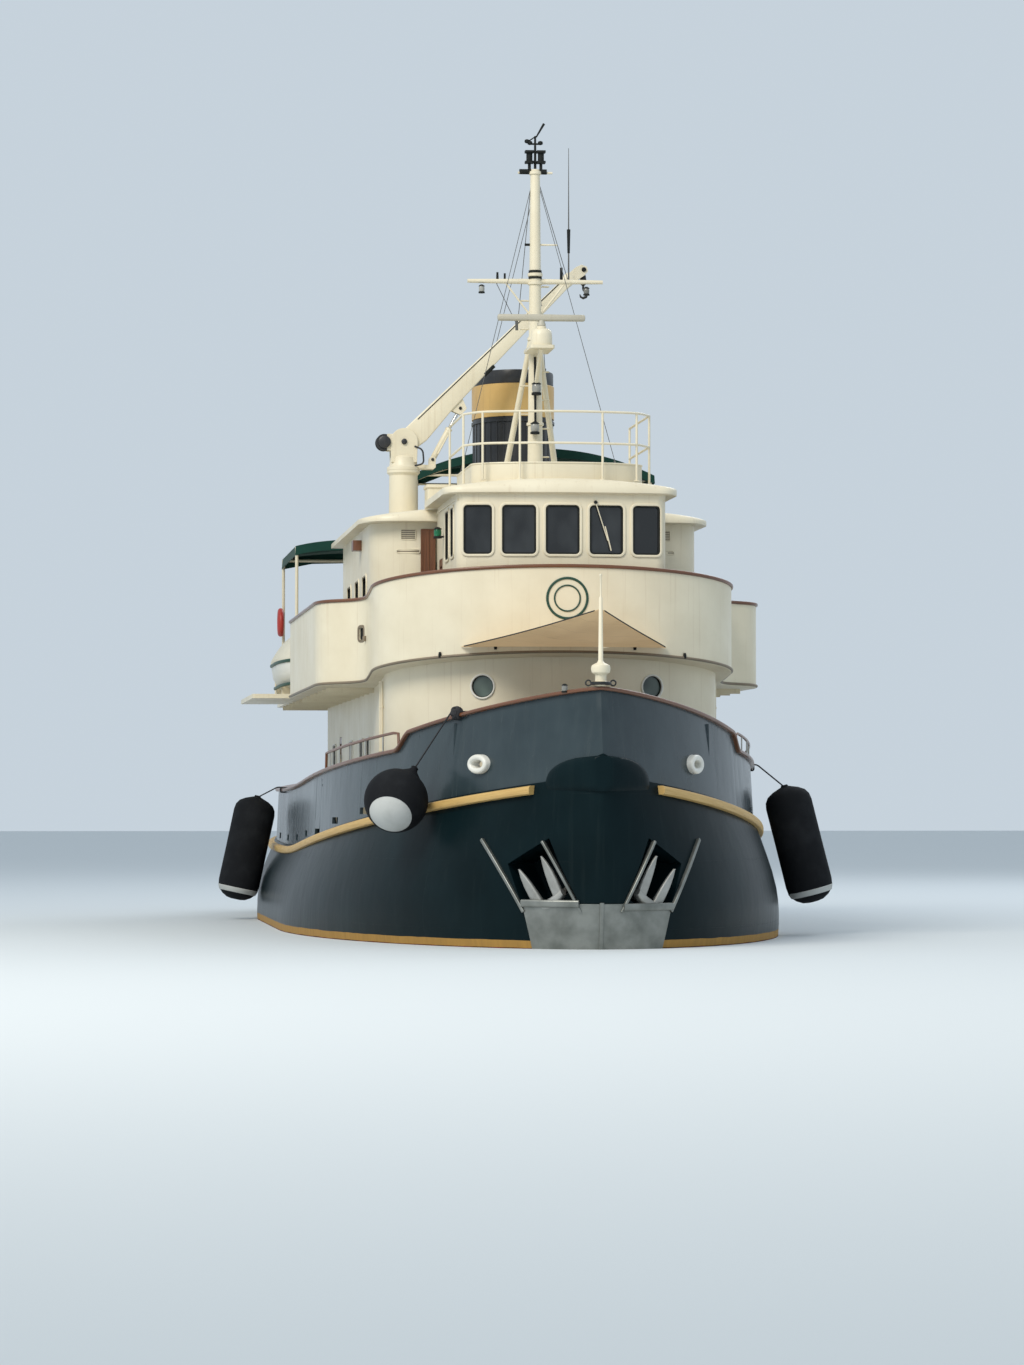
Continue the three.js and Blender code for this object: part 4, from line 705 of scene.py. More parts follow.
def canvas(name, colour, faded, stain, panel=1.3, lit=0.0):
    """Woven cloth in widths of about 1.3 m: a seam on each width, threads at 2 mm, stains where water stands.
    `lit` is how much daylight comes through it, as a faint glow of its own colour."""
    cloth = Finish(name, Sheen_Weight=0.06, Sheen_Roughness=0.5, Specular_IOR_Level=0.2,
                   Emission_Strength=lit)
    spot = place(cloth)
    run = place(cloth, run=True)
    along, across, up = split(cloth, run)
    warp, weft = [cloth.add("TexWave", {"wave_type": "BANDS", "bands_direction": way},
                            {"Vector": spot, "Scale": THREADS}) for way in ("X", "Y")]
    threads = warp * 0.5 + weft * 0.5
    seam = (across % panel) < 0.022
    fade = cloud(cloth, spot, 0.9, 4.0)
    tone = mix(cloth, ramp(cloth, fade, (0.3, 0.0), (0.7, 1.0)), colour, faded)
    tone = mix(cloth, ramp(cloth, cloud(cloth, spot, 2.3, 6.0), (0.6, 0.0), (0.8, 0.55)), tone, stain)
    tone = mix(cloth, seam * 0.5, tone, stain)
    tone = mix(cloth, threads * 0.18, tone, stain)
    return cloth.feed(Base_Color=tone, Emission_Color=tone, Roughness=fade * 0.1 + 0.82, Normal=bump(
        cloth, threads * 0.25 + seam * 0.8 + cloud(cloth, spot, 5.0, 3.0) * 0.8, 0.45, 0.004))


GREEN_CANVAS = canvas("green_canvas", (0.008, 0.045, 0.034), (0.014, 0.064, 0.048), (0.006, 0.025, 0.02))
SAND_CANVAS = canvas("sand_canvas", (0.52, 0.37, 0.20), (0.60, 0.44, 0.25), (0.36, 0.25, 0.13), lit=0.42)
TENDER_COVER = canvas("tender_cover", (0.66, 0.62, 0.50), (0.74, 0.70, 0.58), (0.46, 0.42, 0.31))


def rope_finish(name, colour, dark):
    """Three strands laid round each other: a wave across the run, tilted along it."""
    rope = Finish(name)
    run = place(rope, run=True)
    lay = rope.add("TexWave", {"wave_type": "BANDS", "bands_direction": "DIAGONAL"},
                   {"Vector": stretched(rope, run, (9.0, 30.0, 1.0)), "Scale": 2.2, "Distortion": 0.6})
    tone = mix(rope, lay, dark, colour)
    return rope.feed(Base_Color=tone, Roughness=lay * 0.1 + 0.78, Normal=bump(rope, lay, 0.8, 0.004))


DARK_ROPE = rope_finish("dark_rope", (0.045, 0.045, 0.05), (0.012, 0.012, 0.014))
WIRE_ROPE = rope_finish("wire_rope", (0.20, 0.20, 0.19), (0.05, 0.05, 0.05))
print("cloths and ropes ready")


# %% Rubber and glass
def soft_rubber(name, colour, dusty, rough=0.8):
    """A fender in its knitted cover: matt, ribbed by the knit, dusty and scuffed where it rolls."""
    rubber = Finish(name, Specular_IOR_Level=0.12)
    spot = place(rubber)
    knit = cloud(rubber, stretched(rubber, spot, (160.0, 160.0, 90.0)), 1.0, 2.0)
    rub = ramp(rubber, cloud(rubber, spot, 2.6, 6.0), (0.48, 0.0), (0.78, 0.7))
    tone = mix(rubber, rub, colour, dusty)
    return rubber.feed(Base_Color=tone, Roughness=rub * 0.12 + rough,
                       Normal=bump(rubber, knit * 0.25 + cloud(rubber, spot, 7.0, 4.0) * 0.8, 0.5, 0.006))


def dark_glass(name, colour, deep, rough=0.05):
    """An opaque pane. Its dark colour and its dim shape or two are painted shade of a room behind it;
    the sky on its face is its own reflection.
    """
    glass = Finish(name, Specular_IOR_Level=0.6, IOR=1.5)
    spot = place(glass)
    # Painted shade: a dark base with dim, lighter patches, for the unlit room behind the pane.
    room = cloud(glass, stretched(glass, spot, (1.6, 1.6, 1.1)), 1.0, 2.0)
    tone = mix(glass, ramp(glass, room, (0.40, 0.0), (0.62, 1.0)), deep, colour)
    film = cloud(glass, spot, 9.0, 5.0)
    return glass.feed(Base_Color=tone, Roughness=film * 0.08 + (rough - 0.02),
                      Normal=bump(glass, cloud(glass, spot, 1.2, 1.0), 0.05, 0.01))


FENDER_RUBBER = soft_rubber("fender_rubber", (0.010, 0.011, 0.013), (0.024, 0.026, 0.029))
FENDER_WHITE = soft_rubber("fender_white", (0.55, 0.56, 0.54), (0.40, 0.41, 0.39), 0.55)
GASKET = soft_rubber("gasket", (0.016, 0.018, 0.017), (0.035, 0.036, 0.034), 0.6)
# The window and port panes are opaque. Their dark colours are painted shade of the rooms behind them.
WINDOW_GLASS = dark_glass("window_glass", (0.026, 0.029, 0.031), (0.009, 0.010, 0.011))
PORT_GLASS = dark_glass("port_glass", (0.11, 0.15, 0.13), (0.03, 0.045, 0.04))
LENS_CLEAR = dark_glass("lens_clear", (0.36, 0.36, 0.33), (0.17, 0.17, 0.155), 0.12)
LENS_RED = dark_glass("lens_red", (0.55, 0.02, 0.015), (0.25, 0.008, 0.006), 0.12)
LENS_GREEN = dark_glass("lens_green", (0.01, 0.30, 0.12), (0.005, 0.12, 0.05), 0.12)
print("materials", len(bpy.data.materials))

# %% [markdown]
# ## Hull
#
# A tug's hull is full amidships, with a bluff bow, flare that dies out into tumblehome, and a cruiser stern.
# Its shape is written as nine lines, each a half breadth that grows from the stem and closes at the stern.
# The solid model joins those lines by straight facets. Here the same lines are followed at many more stations
# and joined by a smooth curve from the keel up to the deck, so light runs over the plates without a break.

# %% A line of the hull
class Line:
    """A half breadth by station: full amidships, with an entrance towards the bow and a run towards the stern."""

    def __init__(self, height, stem, stern, half, entrance, run, bow, aft):
        self.height = height
        self.stem = stem
        self.stern = stern
        self.half = half
        self.entrance = entrance
        self.run = run
        self.bow = bow
        self.aft = aft

    def plan(self, share):
        """Half breadth and station at a share of the line's length."""
        s = self.stem + share * (self.stern - self.stem)
        fore = min(1, max(0, (self.entrance - s) / (self.entrance - self.stem)))
        aft = min(1, max(0, (s - self.run) / (self.stern - self.run)))
        fullness = (1 - fore ** self.bow[0]) ** self.bow[1] * (1 - aft ** self.aft[0]) ** self.aft[1]
        return Vector((self.half * fullness, s))

    def point(self, share, out=0.0, up=0.0):
        """The port point of the line, moved outward in plan and upward."""
        here = self.plan(share)
        normal = Vector((0, -1 if share <= 0 else 1))
        if 0 < share < 1:
            step = min(1e-4, share / 2, (1 - share) / 2)
            along = (self.plan(share + step) - self.plan(share - step)).normalized()
            normal = Vector((along.y, -along.x))
        x = max(0, here.x + out * normal.x) if 0 < share < 1 else 0
        return at(x, here.y + out * normal.y, self.height(here.y) + up)

    def share(self, station):
        return (station - self.stem) / (self.stern - self.stem)


def smoothstep(value, low, high):
    t = min(1, max(0, (value - low) / (high - low)))
    return t * t * (3 - 2 * t)


print("hull line ready")

# %% Heights along the boat
def sheer(s):
    """The deck edge's height: lowest aft of amidships, highest at the bow."""
    arch = 0.37 * max(0, 1 - s / 0.8) ** 2
    rise = 1.28 * ((19 - s) / 19) ** 2 if s < 19 else 0.5 * ((s - 19) / 14) ** 2
    return 1.62 + rise + arch


def rail_height(s):
    """The bulwark's top, which steps down from the high bow to the waist."""
    waist = 2.72 + (0.62 * ((22 - s) / 17) ** 2 if s < 22 else 0.38 * ((s - 22) / 11) ** 2)
    step = smoothstep(s, 4.4, 5.0)
    return (4.37 - 0.158 * s) * (1 - step) + waist * step


def level(z):
    return lambda s: z


print("sheer at the stem", round(sheer(0), 2), "and amidships", round(sheer(HALF_LENGTH), 2))

# %% Hull lines
DRAUGHT = 3.7
CAMBER = 0.09
# height, stem, stern, half breadth, entrance ends, run starts, bow powers, stern powers
HULL_LINES = [Line(*row) for row in (
    (level(-3.64), 2.5, 27.6, 0.2, 6, 24, (2, 0.5), (2, 0.5)),
    (level(-3.35), 2.05, 27.7, 2.3, 16, 16.5, (1.7, 1.1), (1.7, 1.3)),
    (level(-2.75), 1.45, 27.9, 3.9, 15, 16.5, (1.8, 0.95), (1.8, 1.15)),
    (level(-1.8), 0.95, 28.2, 4.45, 14.5, 18, (1.9, 0.75), (2, 1)),
    (level(-0.8), 0.56, 30, 4.64, 13.5, 19.5, (2, 0.62), (2, 0.75)),
    (level(0), 0.33, 32, 4.7, 13, 21, (2, 0.556), (2, 0.58)),
    (level(0.9), 0.17, 32.6, 4.58, 13.5, 22, (2.4, 0.6), (2, 0.53)))]
DECK_LINE = Line(sheer, 0, LENGTH, 4.2, 15, 23, (3, 0.8), (2.2, 0.5))
RAIL_LINE = Line(rail_height, 0.25, 32.85, 4.15, 15, 23, (3, 0.8), (2.2, 0.5))
SHARES = sorted([0.5 - 0.5 * math.cos(math.pi * i / 130) for i in range(131)]
                + [0.1305 + 0.0022 * i for i in range(12)])
print("lines", len(HULL_LINES) + 2, "stations", len(SHARES))


# %% Smooth side of the hull
def through(points, steps):
    """A smooth curve through points: a cubic on each span, with slopes from the neighbours."""
    knots = [0.0]
    for a, b in zip(points, points[1:]):
        knots.append(knots[-1] + max(1e-6, (b - a).length))
    slopes = []
    for i, point in enumerate(points):
        low, high = max(0, i - 1), min(len(points) - 1, i + 1)
        slopes.append((points[high] - points[low]) / (knots[high] - knots[low]))
    curve = [points[0]]
    for i in range(len(points) - 1):
        span = knots[i + 1] - knots[i]
        for k in range(1, steps + 1):
            t = k / steps
            leave = points[i] * (2 * t ** 3 - 3 * t ** 2 + 1) + slopes[i] * span * (t ** 3 - 2 * t ** 2 + t)
            curve.append(leave + points[i + 1] * (3 * t ** 2 - 2 * t ** 3)
                         + slopes[i + 1] * span * (t ** 3 - t ** 2))
    return curve


def hull_side(share, steps=4):
    """The port side's curve at a share of the length, from the keel up to the deck."""
    side = through([line.point(share) for line in HULL_LINES] + [DECK_LINE.point(share)], steps)
    for point in side:
        point.x = max(0, point.x)
    return side


def hull_rings():
    rings = []
    for share in SHARES:
        side = hull_side(share)
        keel = Vector((0, HULL_LINES[0].point(share).y, -DRAUGHT))
        centre_station = 0.6 + share * 31.8
        top = at(0, centre_station, sheer(centre_station) + CAMBER)
        margin = DECK_LINE.point(share, -0.3)
        half = [keel, *side, margin, margin.lerp(top, 0.5) + Vector((0, 0, CAMBER / 4)), top]
        rings.append(half + [Vector((-p.x, p.y, p.z)) for p in reversed(half[1:-1])])
    return rings


hull_form = Form().loft(hull_rings(), caps=False)
print("hull points", len(hull_form.points))

# %% [markdown]
# The keel, the skeg and the boss are welded on below, where the propeller and the rudder work. The two anchor
# pockets are slanted boxes cut into the bow, as on the model, so the anchors stow inside the plating.

# %% Skeg, pockets and the hull piece
SHAFT_Z = -2.4
SKEG = [(21.0, -3.7), (31.1, -3.7), (31.1, -3.53), (29.05, -3.44), (28.7, -1.5), (26.5, -1.2)]
BOSS = [(0.42, 0), (0.40, 0.5), (0.30, 1.6), (0.235, 2.3), (0.20, 2.35)]
POCKET = {"x": 0.945, "z": 1.14, "half": 0.48, "station": 0.7, "deep": 0.85, "yaw": 38.0}
POCKET_SLANT = math.atan2(1.2 - 0.69, 1.64 - 0.64)
POCKET_RISE = math.hypot(1.2 - 0.69, 1.64 - 0.64)


def pocket_matrix(side):
    """The pocket's own axes: across, inward and up its slant."""
    matrix = (Matrix.Translation(at(POCKET["x"], POCKET["station"], POCKET["z"]))
              @ Matrix.Rotation(math.radians(POCKET["yaw"]), 4, "Z") @ Matrix.Rotation(POCKET_SLANT, 4, "Y"))
    return Matrix.Scale(side, 4, (1, 0, 0)) @ matrix


def pocket_tool(side):
    matrix = pocket_matrix(side)
    ring = rounded(2 * POCKET["half"], 2 * POCKET["deep"], 0.06, 3)
    return Form().loft([[matrix @ Vector((a, b, z)) for a, b in ring]
                        for z in (-POCKET_RISE / 2, POCKET_RISE / 2)])


hull_form.loft([[at(x, s, z) for s, z in SKEG] for x in (-0.15, 0.15)])
hull_form.turned(BOSS, at(0, 26.8, SHAFT_Z), (0, 1, 0))
hull = piece(hull_form, "hull_plating", HULL_PAINT, slot="hull_paint", stands_for=("hull",), angle=28,
             holes=(pocket_tool(1), pocket_tool(-1)))
print("hull", len(hull.data.polygons), "faces")


# %% Deck planking
def sheet_between(rows, thick):
    """A closed plate from rows of points, with its underside a thickness below."""
    form = Form()
    form.loft([[*row, *[p - Vector((0, 0, thick)) for p in reversed(row)]] for row in rows])
    return form


def deck_row(share, inset, lift):
    """A row of deck points from side to side, with the camber that sheds water, or nothing at the tips."""
    edge = DECK_LINE.point(share, -inset)
    station = edge.y + HALF_LENGTH
    if edge.x < 0.02:
        return None
    row = []
    for i in range(-8, 9):
        x = edge.x * i / 8
        rise = CAMBER * (1 - (x / edge.x) ** 2) * min(1, edge.x / 1.2)
        row.append(at(x, station, sheer(station) + rise + lift))
    return row


deck_rows = [row for row in (deck_row(share, 0.36, 0.012) for share in SHARES[6:-5:2]) if row]
piece(sheet_between(deck_rows, 0.05), "main_deck", DECK_TEAK, slot="teak")
print("main deck", len(deck_rows), "rows")

# %% [markdown]
# ## Bulwark, cap rail and gates
#
# The bulwark is a plate on edge round the whole deck, high at the bow and stepped down to the waist. It leans
# in a little, which is why it mirrors the sky in the photograph while the plating below it stays dark. Its paint
# is also given a lighter, bluer base colour than the hull's, as painted sky reflection. A teak
# cap covers its top. Both are sweeps along the same two lines, and stop at the gates amidships.

# %% Bulwark sweep
GATE_FROM, GATE_TO = 10.4, 11.2
WALL_OUT, WALL_IN = -0.03, -0.09


def rail_station(station):
    """The rail's own station above a point of the deck edge: it closes up with it only at the two ends."""
    ends = 1 - smoothstep(station, 2, 9) + smoothstep(station, 22, 31)
    return station + (0.25 - 0.4 * station / LENGTH) * ends


def wall_ring(station):
    """The bulwark's section at a station: outside from foot to head, and back down inside."""
    deck_share = min(1, max(0, station / LENGTH))
    rail_share = min(1, max(0, RAIL_LINE.share(rail_station(station))))
    rows = []
    for out in (WALL_OUT, WALL_IN):
        foot = DECK_LINE.point(deck_share, out, -0.03)
        head = RAIL_LINE.point(rail_share, out, 0.01)
        rows.append([foot.lerp(head, i / 3) for i in range(4)])
    return rows[0] + rows[1][::-1]


def mirror_ring(ring):
    return [Vector((-p.x, p.y, p.z)) for p in ring]


def both_sides(rings):
    """Joins port rings, which start on the centreline, to their mirror images."""
    return [mirror_ring(ring) for ring in reversed(rings[1:])] + rings


def stations(start, end, forward):
    """The hull's own stations between two, in the order that starts on the centreline."""
    inner = [LENGTH * share for share in SHARES if start < LENGTH * share < end]
    return [start, *inner, end] if forward else [end, *reversed(inner), start]


bulwark_form = Form()
bulwark_form.loft(both_sides([wall_ring(s) for s in stations(0, GATE_FROM, True)]))
bulwark_form.loft(both_sides([wall_ring(s) for s in stations(GATE_TO, LENGTH, False)]))
print("bulwark points", len(bulwark_form.points))


# %% Fairlead holes and freeing ports
def oval_tool(station, z, long, high, side):
    inside, outside = DECK_LINE.point(station / LENGTH, -0.4), DECK_LINE.point(station / LENGTH, 0.3)
    outward = (outside - inside).normalized()
    along = Vector((0, 0, 1)).cross(outward)
    centre = DECK_LINE.point(station / LENGTH, -0.06)
    centre.z = z
    rings = [[centre + outward * d + along * a + Vector((0, 0, b)) for a, b in circle(32, long, high)]
             for d in (-0.5, 0.5)]
    return Form().loft(rings if side > 0 else [mirror_ring(r) for r in rings])


FAIRLEAD = {"station": 2.15, "z": 3.11, "long": 0.235, "high": 0.135}
SCUPPERS = [(s, side) for s in (6.4, 8.6, 13.2, 16.2, 19.4, 22.4, 25.2) for side in (1, -1)]


def scupper_tool(station, side):
    """A freeing port: a long slot through the foot of the bulwark, where water leaves the deck."""
    foot = DECK_LINE.point(station / LENGTH, -0.06)
    return Form().block((side * foot.x - 0.3, foot.y - 0.28, foot.z + 0.07),
                        (side * foot.x + 0.3, foot.y + 0.28, foot.z + 0.19))


bulwark_holes = [oval_tool(FAIRLEAD["station"], FAIRLEAD["z"], 0.20, 0.10, side) for side in (1, -1)]
bulwark_holes += [scupper_tool(*row) for row in SCUPPERS]
bulwark = piece(bulwark_form, "bulwark", BULWARK_WITH_PAINTED_SKY, slot="hull_paint", angle=28,
                stands_for=("bulwark_fore", "bulwark_aft"), holes=bulwark_holes)
print("bulwark", len(bulwark.data.polygons), "faces,", len(bulwark_holes), "holes")

# %% Cap rail
CAP_OUT, CAP_WIDTH, CAP_THICK = 0.045, 0.2, 0.065


def cap_ring(station, out=CAP_OUT, width=CAP_WIDTH, low=0.0, high=CAP_THICK):
    """The cap's section on the bulwark's top at a station."""
    share = min(1, max(0, RAIL_LINE.share(station)))
    profile = rounded(width, high - low, 0.024, 3)
    return [RAIL_LINE.point(share, out - width / 2 + a, (low + high) / 2 + b) for a, b in profile]


cap_form = Form()
cap_form.loft(both_sides([cap_ring(s) for s in [0.25, *stations(0.27, GATE_FROM, True)]]))
cap_form.loft(both_sides([cap_ring(s) for s in [32.85, *stations(GATE_TO, 32.83, False)]]))
cap = piece(cap_form, "cap_rail", TEAK_RAIL, slot="teak", stands_for=("cap_rail_fore", "cap_rail_aft"),
            angle=50)
print("cap rail", len(cap.data.polygons), "faces")


# %% Gates
def hinge_pair(form, side, x, station, face_x, z, leaf):
    """One knuckle of a hinge and its strap. The frame's is the lower one, the leaf's stands on it."""
    low = z + (0.0903 if leaf else 0)
    form.bar(at(side * x, station, low), at(side * x, station, low + 0.09), 0.022)
    reach = (station + 0.034, station + 0.074) if leaf else (station - 0.08, station - 0.04)
    across = sorted((side * x, side * face_x))
    form.block(at(across[0], min(reach[0], station), low + 0.022),
               at(across[1], max(reach[1], station), low + 0.068))


GATE_HINGE = (3.862, GATE_FROM - 0.006, 4.03)
GATE_HINGES = (2.15, 2.75)
GATE_SILL = sheer(GATE_FROM) + 0.09
for side, word in ((1, "port"), (-1, "starboard")):
    leaf = Form()
    start, end = GATE_FROM + 0.008, GATE_TO - 0.032
    rings = []
    for s in (start, (start + end) / 2, end):
        ring = wall_ring(s)
        for point in ring:
            point.z = max(GATE_SILL, point.z)
        rings.append(ring if side > 0 else mirror_ring(ring))
    leaf.loft(rings)
    for z in GATE_HINGES:
        hinge_pair(leaf, side, *GATE_HINGE, z, True)
    piece(leaf, "gate_leaf_" + word, BULWARK_WITH_PAINTED_SKY, f"gate_{word}_body", "hull_paint", 0.004,
          stands_for=(f"gate_{word}",))
    top = Form()
    rings = [cap_ring(s) for s in (start, end)]
    top.loft(rings if side > 0 else [mirror_ring(r) for r in rings])
    piece(top, "gate_cap_" + word, TEAK_RAIL, f"gate_{word}_body", "teak", angle=50)
stays = Form()
stays.both(lambda form, side: [hinge_pair(form, side, *GATE_HINGE, z, False) for z in GATE_HINGES])
print("gates at", GATE_FROM, GATE_TO)


# %% Bulwark stays and the waist handrail
def stay(form, station, side):
    """A triangular plate that props the bulwark from the deck every 1.1 m or so."""
    foot = DECK_LINE.point(station / LENGTH, WALL_IN)
    head = RAIL_LINE.point(RAIL_LINE.share(rail_station(station)), WALL_IN)
    root = DECK_LINE.point(station / LENGTH, -0.34)
    deck_z = sheer(station) + 0.004
    profile = [(foot.x + 0.01, deck_z), (head.x + 0.01, head.z - 0.06), (head.x - 0.05, head.z - 0.06),
               (root.x + 0.06, deck_z + 0.12), (root.x, deck_z)]
    form.loft([[Vector((side * x, foot.y + d, z)) for x, z in profile] for d in (-0.007, 0.007)])


STAY_STATIONS = [2.9 + i * 1.16 for i in range(24)]
HANDRAIL_STATIONS = [4.95 + i * 0.24 for i in range(22)]
HANDRAIL_RISE = 0.30
for side in (1, -1):
    for s in STAY_STATIONS:
        if not GATE_FROM - 0.3 < s < GATE_TO + 0.3:
            stay(stays, s, side)
piece(stays, "bulwark_stays", BULWARK_WITH_PAINTED_SKY, slot="hull_paint", bevel=0.003)


def rail_top(station, side, rise):
    point = RAIL_LINE.point(RAIL_LINE.share(station), CAP_OUT - 0.1, CAP_THICK + rise)
    return Vector((side * point.x, point.y, point.z))


handrail = Form()
posts = Form()
first, last = HANDRAIL_STATIONS[0], HANDRAIL_STATIONS[-1]
for side in (1, -1):
    path = [rail_top(first, side, 0.02)] + [rail_top(s, side, HANDRAIL_RISE) for s in HANDRAIL_STATIONS]
    path[1] = rail_top(first + 0.02, side, HANDRAIL_RISE - 0.03)
    handrail.tube(path + [rail_top(last + 0.05, side, 0.02)], 0.026, 12)
    for s in HANDRAIL_STATIONS[3:-1:4]:
        posts.bar(rail_top(s, side, -0.01), rail_top(s, side, HANDRAIL_RISE), 0.014)
        posts.turned([(0.034, 0), (0.034, 0.008), (0.018, 0.02)], rail_top(s, side, -0.002))
piece(handrail, "waist_handrail", TEAK_RAIL, slot="teak", angle=60)
piece(posts, "waist_handrail_posts", STAINLESS, slot="stainless")
print("stays and handrail made")

# %% [markdown]
# ## Rubbing strake, stem guard and anchors
#
# A timber strake in ochre paint runs along the deck edge and takes the quay. It is a six-sided bar with its
# corners worn round, and it ends square short of the stem, where a broad rounded pad takes over. Below, a
# stainless plate wraps the stem against the anchors, and cheek rails line both pockets.

# %% Strake
STRAKE = [(-0.09, -0.19), (0.10, -0.19), (0.137, -0.177), (0.15, -0.145), (0.15, -0.085), (0.137, -0.053),
          (0.10, -0.04), (-0.09, -0.04)]


def strake_rings(side):
    rings = []
    for s in stations(0.93, 31.5, True):
        ring = [DECK_LINE.point(s / LENGTH, out, up) for out, up in STRAKE]
        rings.append(ring if side > 0 else mirror_ring(ring))
    return rings


for side, word in ((1, "port"), (-1, "starboard")):
    piece(Form().loft(strake_rings(side)), "strake_" + word, STRAKE_PAINT, slot="strake_paint", bevel=0.008,
          stands_for=("rubbing_strake_" + word,), angle=50)
print("strakes made")


# %% A point on the hull's skin
def skin_at(share, z):
    """The plating's own point at a share of the length and a height."""
    side = hull_side(share, 4)
    for low, high in zip(side, side[1:]):
        if low.z <= z <= high.z:
            return low.lerp(high, (z - low.z) / max(1e-9, high.z - low.z))
    return side[-1].copy() if z > side[-1].z else side[0].copy()


def skin_point(x, z, out=0.0):
    """The point of the bow at a half breadth and a height, pushed out along the skin's own normal."""
    low, high = 0.0, 0.35
    for _ in range(22):
        share = (low + high) / 2
        if skin_at(share, z).x < x:
            low = share
        else:
            high = share
    here = skin_at(share, z)
    ahead, above = skin_at(share + 0.002, z), skin_at(share + 1e-5, z + 0.02)
    normal = (ahead - here).cross(above - here).normalized()
    if normal.y > 0:
        normal = -normal
    return here + normal * out, normal


print("skin of the bow, 0.5 m high and 1 m out:", tuple(round(v, 2) for v in skin_point(1.0, 0.5)[0]))

# %% Stem plate
PLATE = {"low": -0.25, "high": 0.76, "thick": 0.025}


def plate_half(z):
    return 1.03 + 0.23 * (z - PLATE["low"]) / (PLATE["high"] - PLATE["low"])


def plate_rows(out):
    rows = []
    for i in range(13):
        z = PLATE["low"] + (PLATE["high"] - PLATE["low"]) * i / 12
        rows.append([skin_point(max(0.004, plate_half(z) * (j / 16) ** 1.4), z, out)[0] for j in range(17)])
    return rows


outer, inner = plate_rows(PLATE["thick"]), plate_rows(-0.03)
plate_form = Form()
rings = []
for across in range(17):
    rings.append([row[across] for row in outer] + [row[across] for row in reversed(inner)])
rings[0] = [Vector((0, p.y, p.z)) for p in rings[0]]
plate_form.loft(both_sides(rings))


def guard_path(foot, low, high, steps=10):
    path, normals = [], []
    for i in range(steps + 1):
        z = low + (high - low) * i / steps
        point, normal = skin_point(foot + (z - 0.64) * 0.51, z)
        path.append(point)
        normals.append(normal)
    return path, normals


def put_guard(form, side, foot, low, high, width, proud):
    path, normals = guard_path(foot, low, high)
    if side < 0:
        path, normals = mirror_ring(path), mirror_ring(normals)
    section = [(a, b + proud / 2 - 0.02) for a, b in rounded(width, proud + 0.04, 0.014, 3)]
    form.sweep(path, normals, section)


for side in (1, -1):
    put_guard(plate_form, side, 0.345, 0.62, 1.80, 0.05, 0.05)
    put_guard(plate_form, side, 1.235, 0.62, 1.82, 0.06, 0.06)
lip = [skin_point(0.36 + 0.89 * i / 8, 0.735) for i in range(9)]
lip_path, lip_normals = [p for p, n in lip], [n for p, n in lip]
lip_section = [(a + 0.03, b + 0.035) for a, b in rounded(0.13, 0.09, 0.035, 4)]
plate_form.sweep(lip_path, lip_normals, lip_section)
plate_form.sweep(mirror_ring(lip_path), mirror_ring(lip_normals), lip_section)
stem_path = [skin_at(0, z) for z in (-0.25, 0.0, 0.25, 0.5, 0.78)]
plate_form.sweep([Vector((0, p.y - 0.03, p.z)) for p in stem_path], [Vector((0, -1, 0))] * 5,
                 rounded(0.075, 0.05, 0.02, 4))
stem_plate = piece(plate_form, "stem_guard", SHEATHING, slot="stainless", bevel=0.004,
                   stands_for=("stem_plate",), angle=40)
print("stem guard", len(stem_plate.data.polygons), "faces")

# %% [markdown]
# The anchors have no stock: a heavy crown at the bottom of the pocket and two broad arms that stand up from
# it. Each arm is a lofted blade that narrows to a point, drawn in the pocket's own axes and moved there.

# %% Anchors and pocket lining
def placed(form, matrix):
    form.points = [matrix @ p for p in form.points]
    return form


def anchor_arm(form, side):
    rings = []
    for t in (0, 0.15, 0.35, 0.6, 0.82, 0.95, 1.0):
        wide = 0.085 * (1 - t ** 3) + 0.012
        deep = 0.055 * (1 - 0.6 * t) + 0.006
        centre = Vector((side * (0.195 + 0.05 * math.sin(t * 1.4)), -0.02 - 0.10 * t, -0.40 + 0.74 * t))
        rings.append([centre + Vector((a, b, 0)) for a, b in rounded(2 * wide, 2 * deep, deep * 0.8, 3)])
    form.loft(rings)


def anchor_form():
    form = Form()
    rings = []
    for i in range(13):
        t = i / 12 * 2 - 1
        sag = 0.075 * t * t
        size = 0.105 - 0.035 * t * t
        centre = Vector((0.30 * t, -0.02, -0.43 + sag))
        rings.append([centre + Vector((0, a, b)) for a, b in rounded(2 * size, 1.7 * size, size * 0.6, 4)])
    form.loft(rings)
    form.both(anchor_arm)
    shank = [Vector((0, 0.02, -0.40)), Vector((0, 0.30, -0.33)), Vector((0, 0.80, -0.12))]
    form.tube(shank, [0.062, 0.055, 0.05], 16)
    return form


for side, word in ((1, "port"), (-1, "starboard")):
    piece(placed(anchor_form(), pocket_matrix(side)), "anchor_set_" + word, GALVANISED, slot="stainless",
          bevel=0.005, stands_for=("anchor_" + word,), angle=45)
print("anchors stowed")


# %% Nose pad
def nose_pad():
    """A broad rounded fender over the stem, from the foot of the strake up to an arch on the bulwark."""
    rows = []
    for i in range(15):
        t = i / 14
        z = 2.64 + 0.60 * t
        reach = 0.86 * math.sqrt(max(0.0, 1 - t ** 3.2)) + 0.02
        thick = 0.055 * math.sqrt(max(0.0, 1 - (2 * t - 1) ** 6)) + 0.004
        rows.append((z, reach, thick))
    rings = []
    for j in range(15):
        u = j / 14
        swell = math.sqrt(max(0.0, 1 - u ** 4))
        front, back = [], []
        for z, reach, thick in rows:
            share = share_at_half(reach * u, z)
            front.append(pad_point(share, z, thick * swell + 0.004))
            back.append(pad_point(share, z, -0.05))
        rings.append(front + back[::-1])
    return Form().loft(both_sides(rings))


def pad_point(share, z, out):
    """On the plating below the deck edge and on the bulwark above it, which leans back as it rises."""
    edge = DECK_LINE.point(share, out)
    head = RAIL_LINE.point(share, out)
    t = max(0, (z - edge.z) / (head.z - edge.z))
    point = edge.lerp(head, t)
    return Vector((point.x, max(point.y, 0.003 - HALF_LENGTH), z))


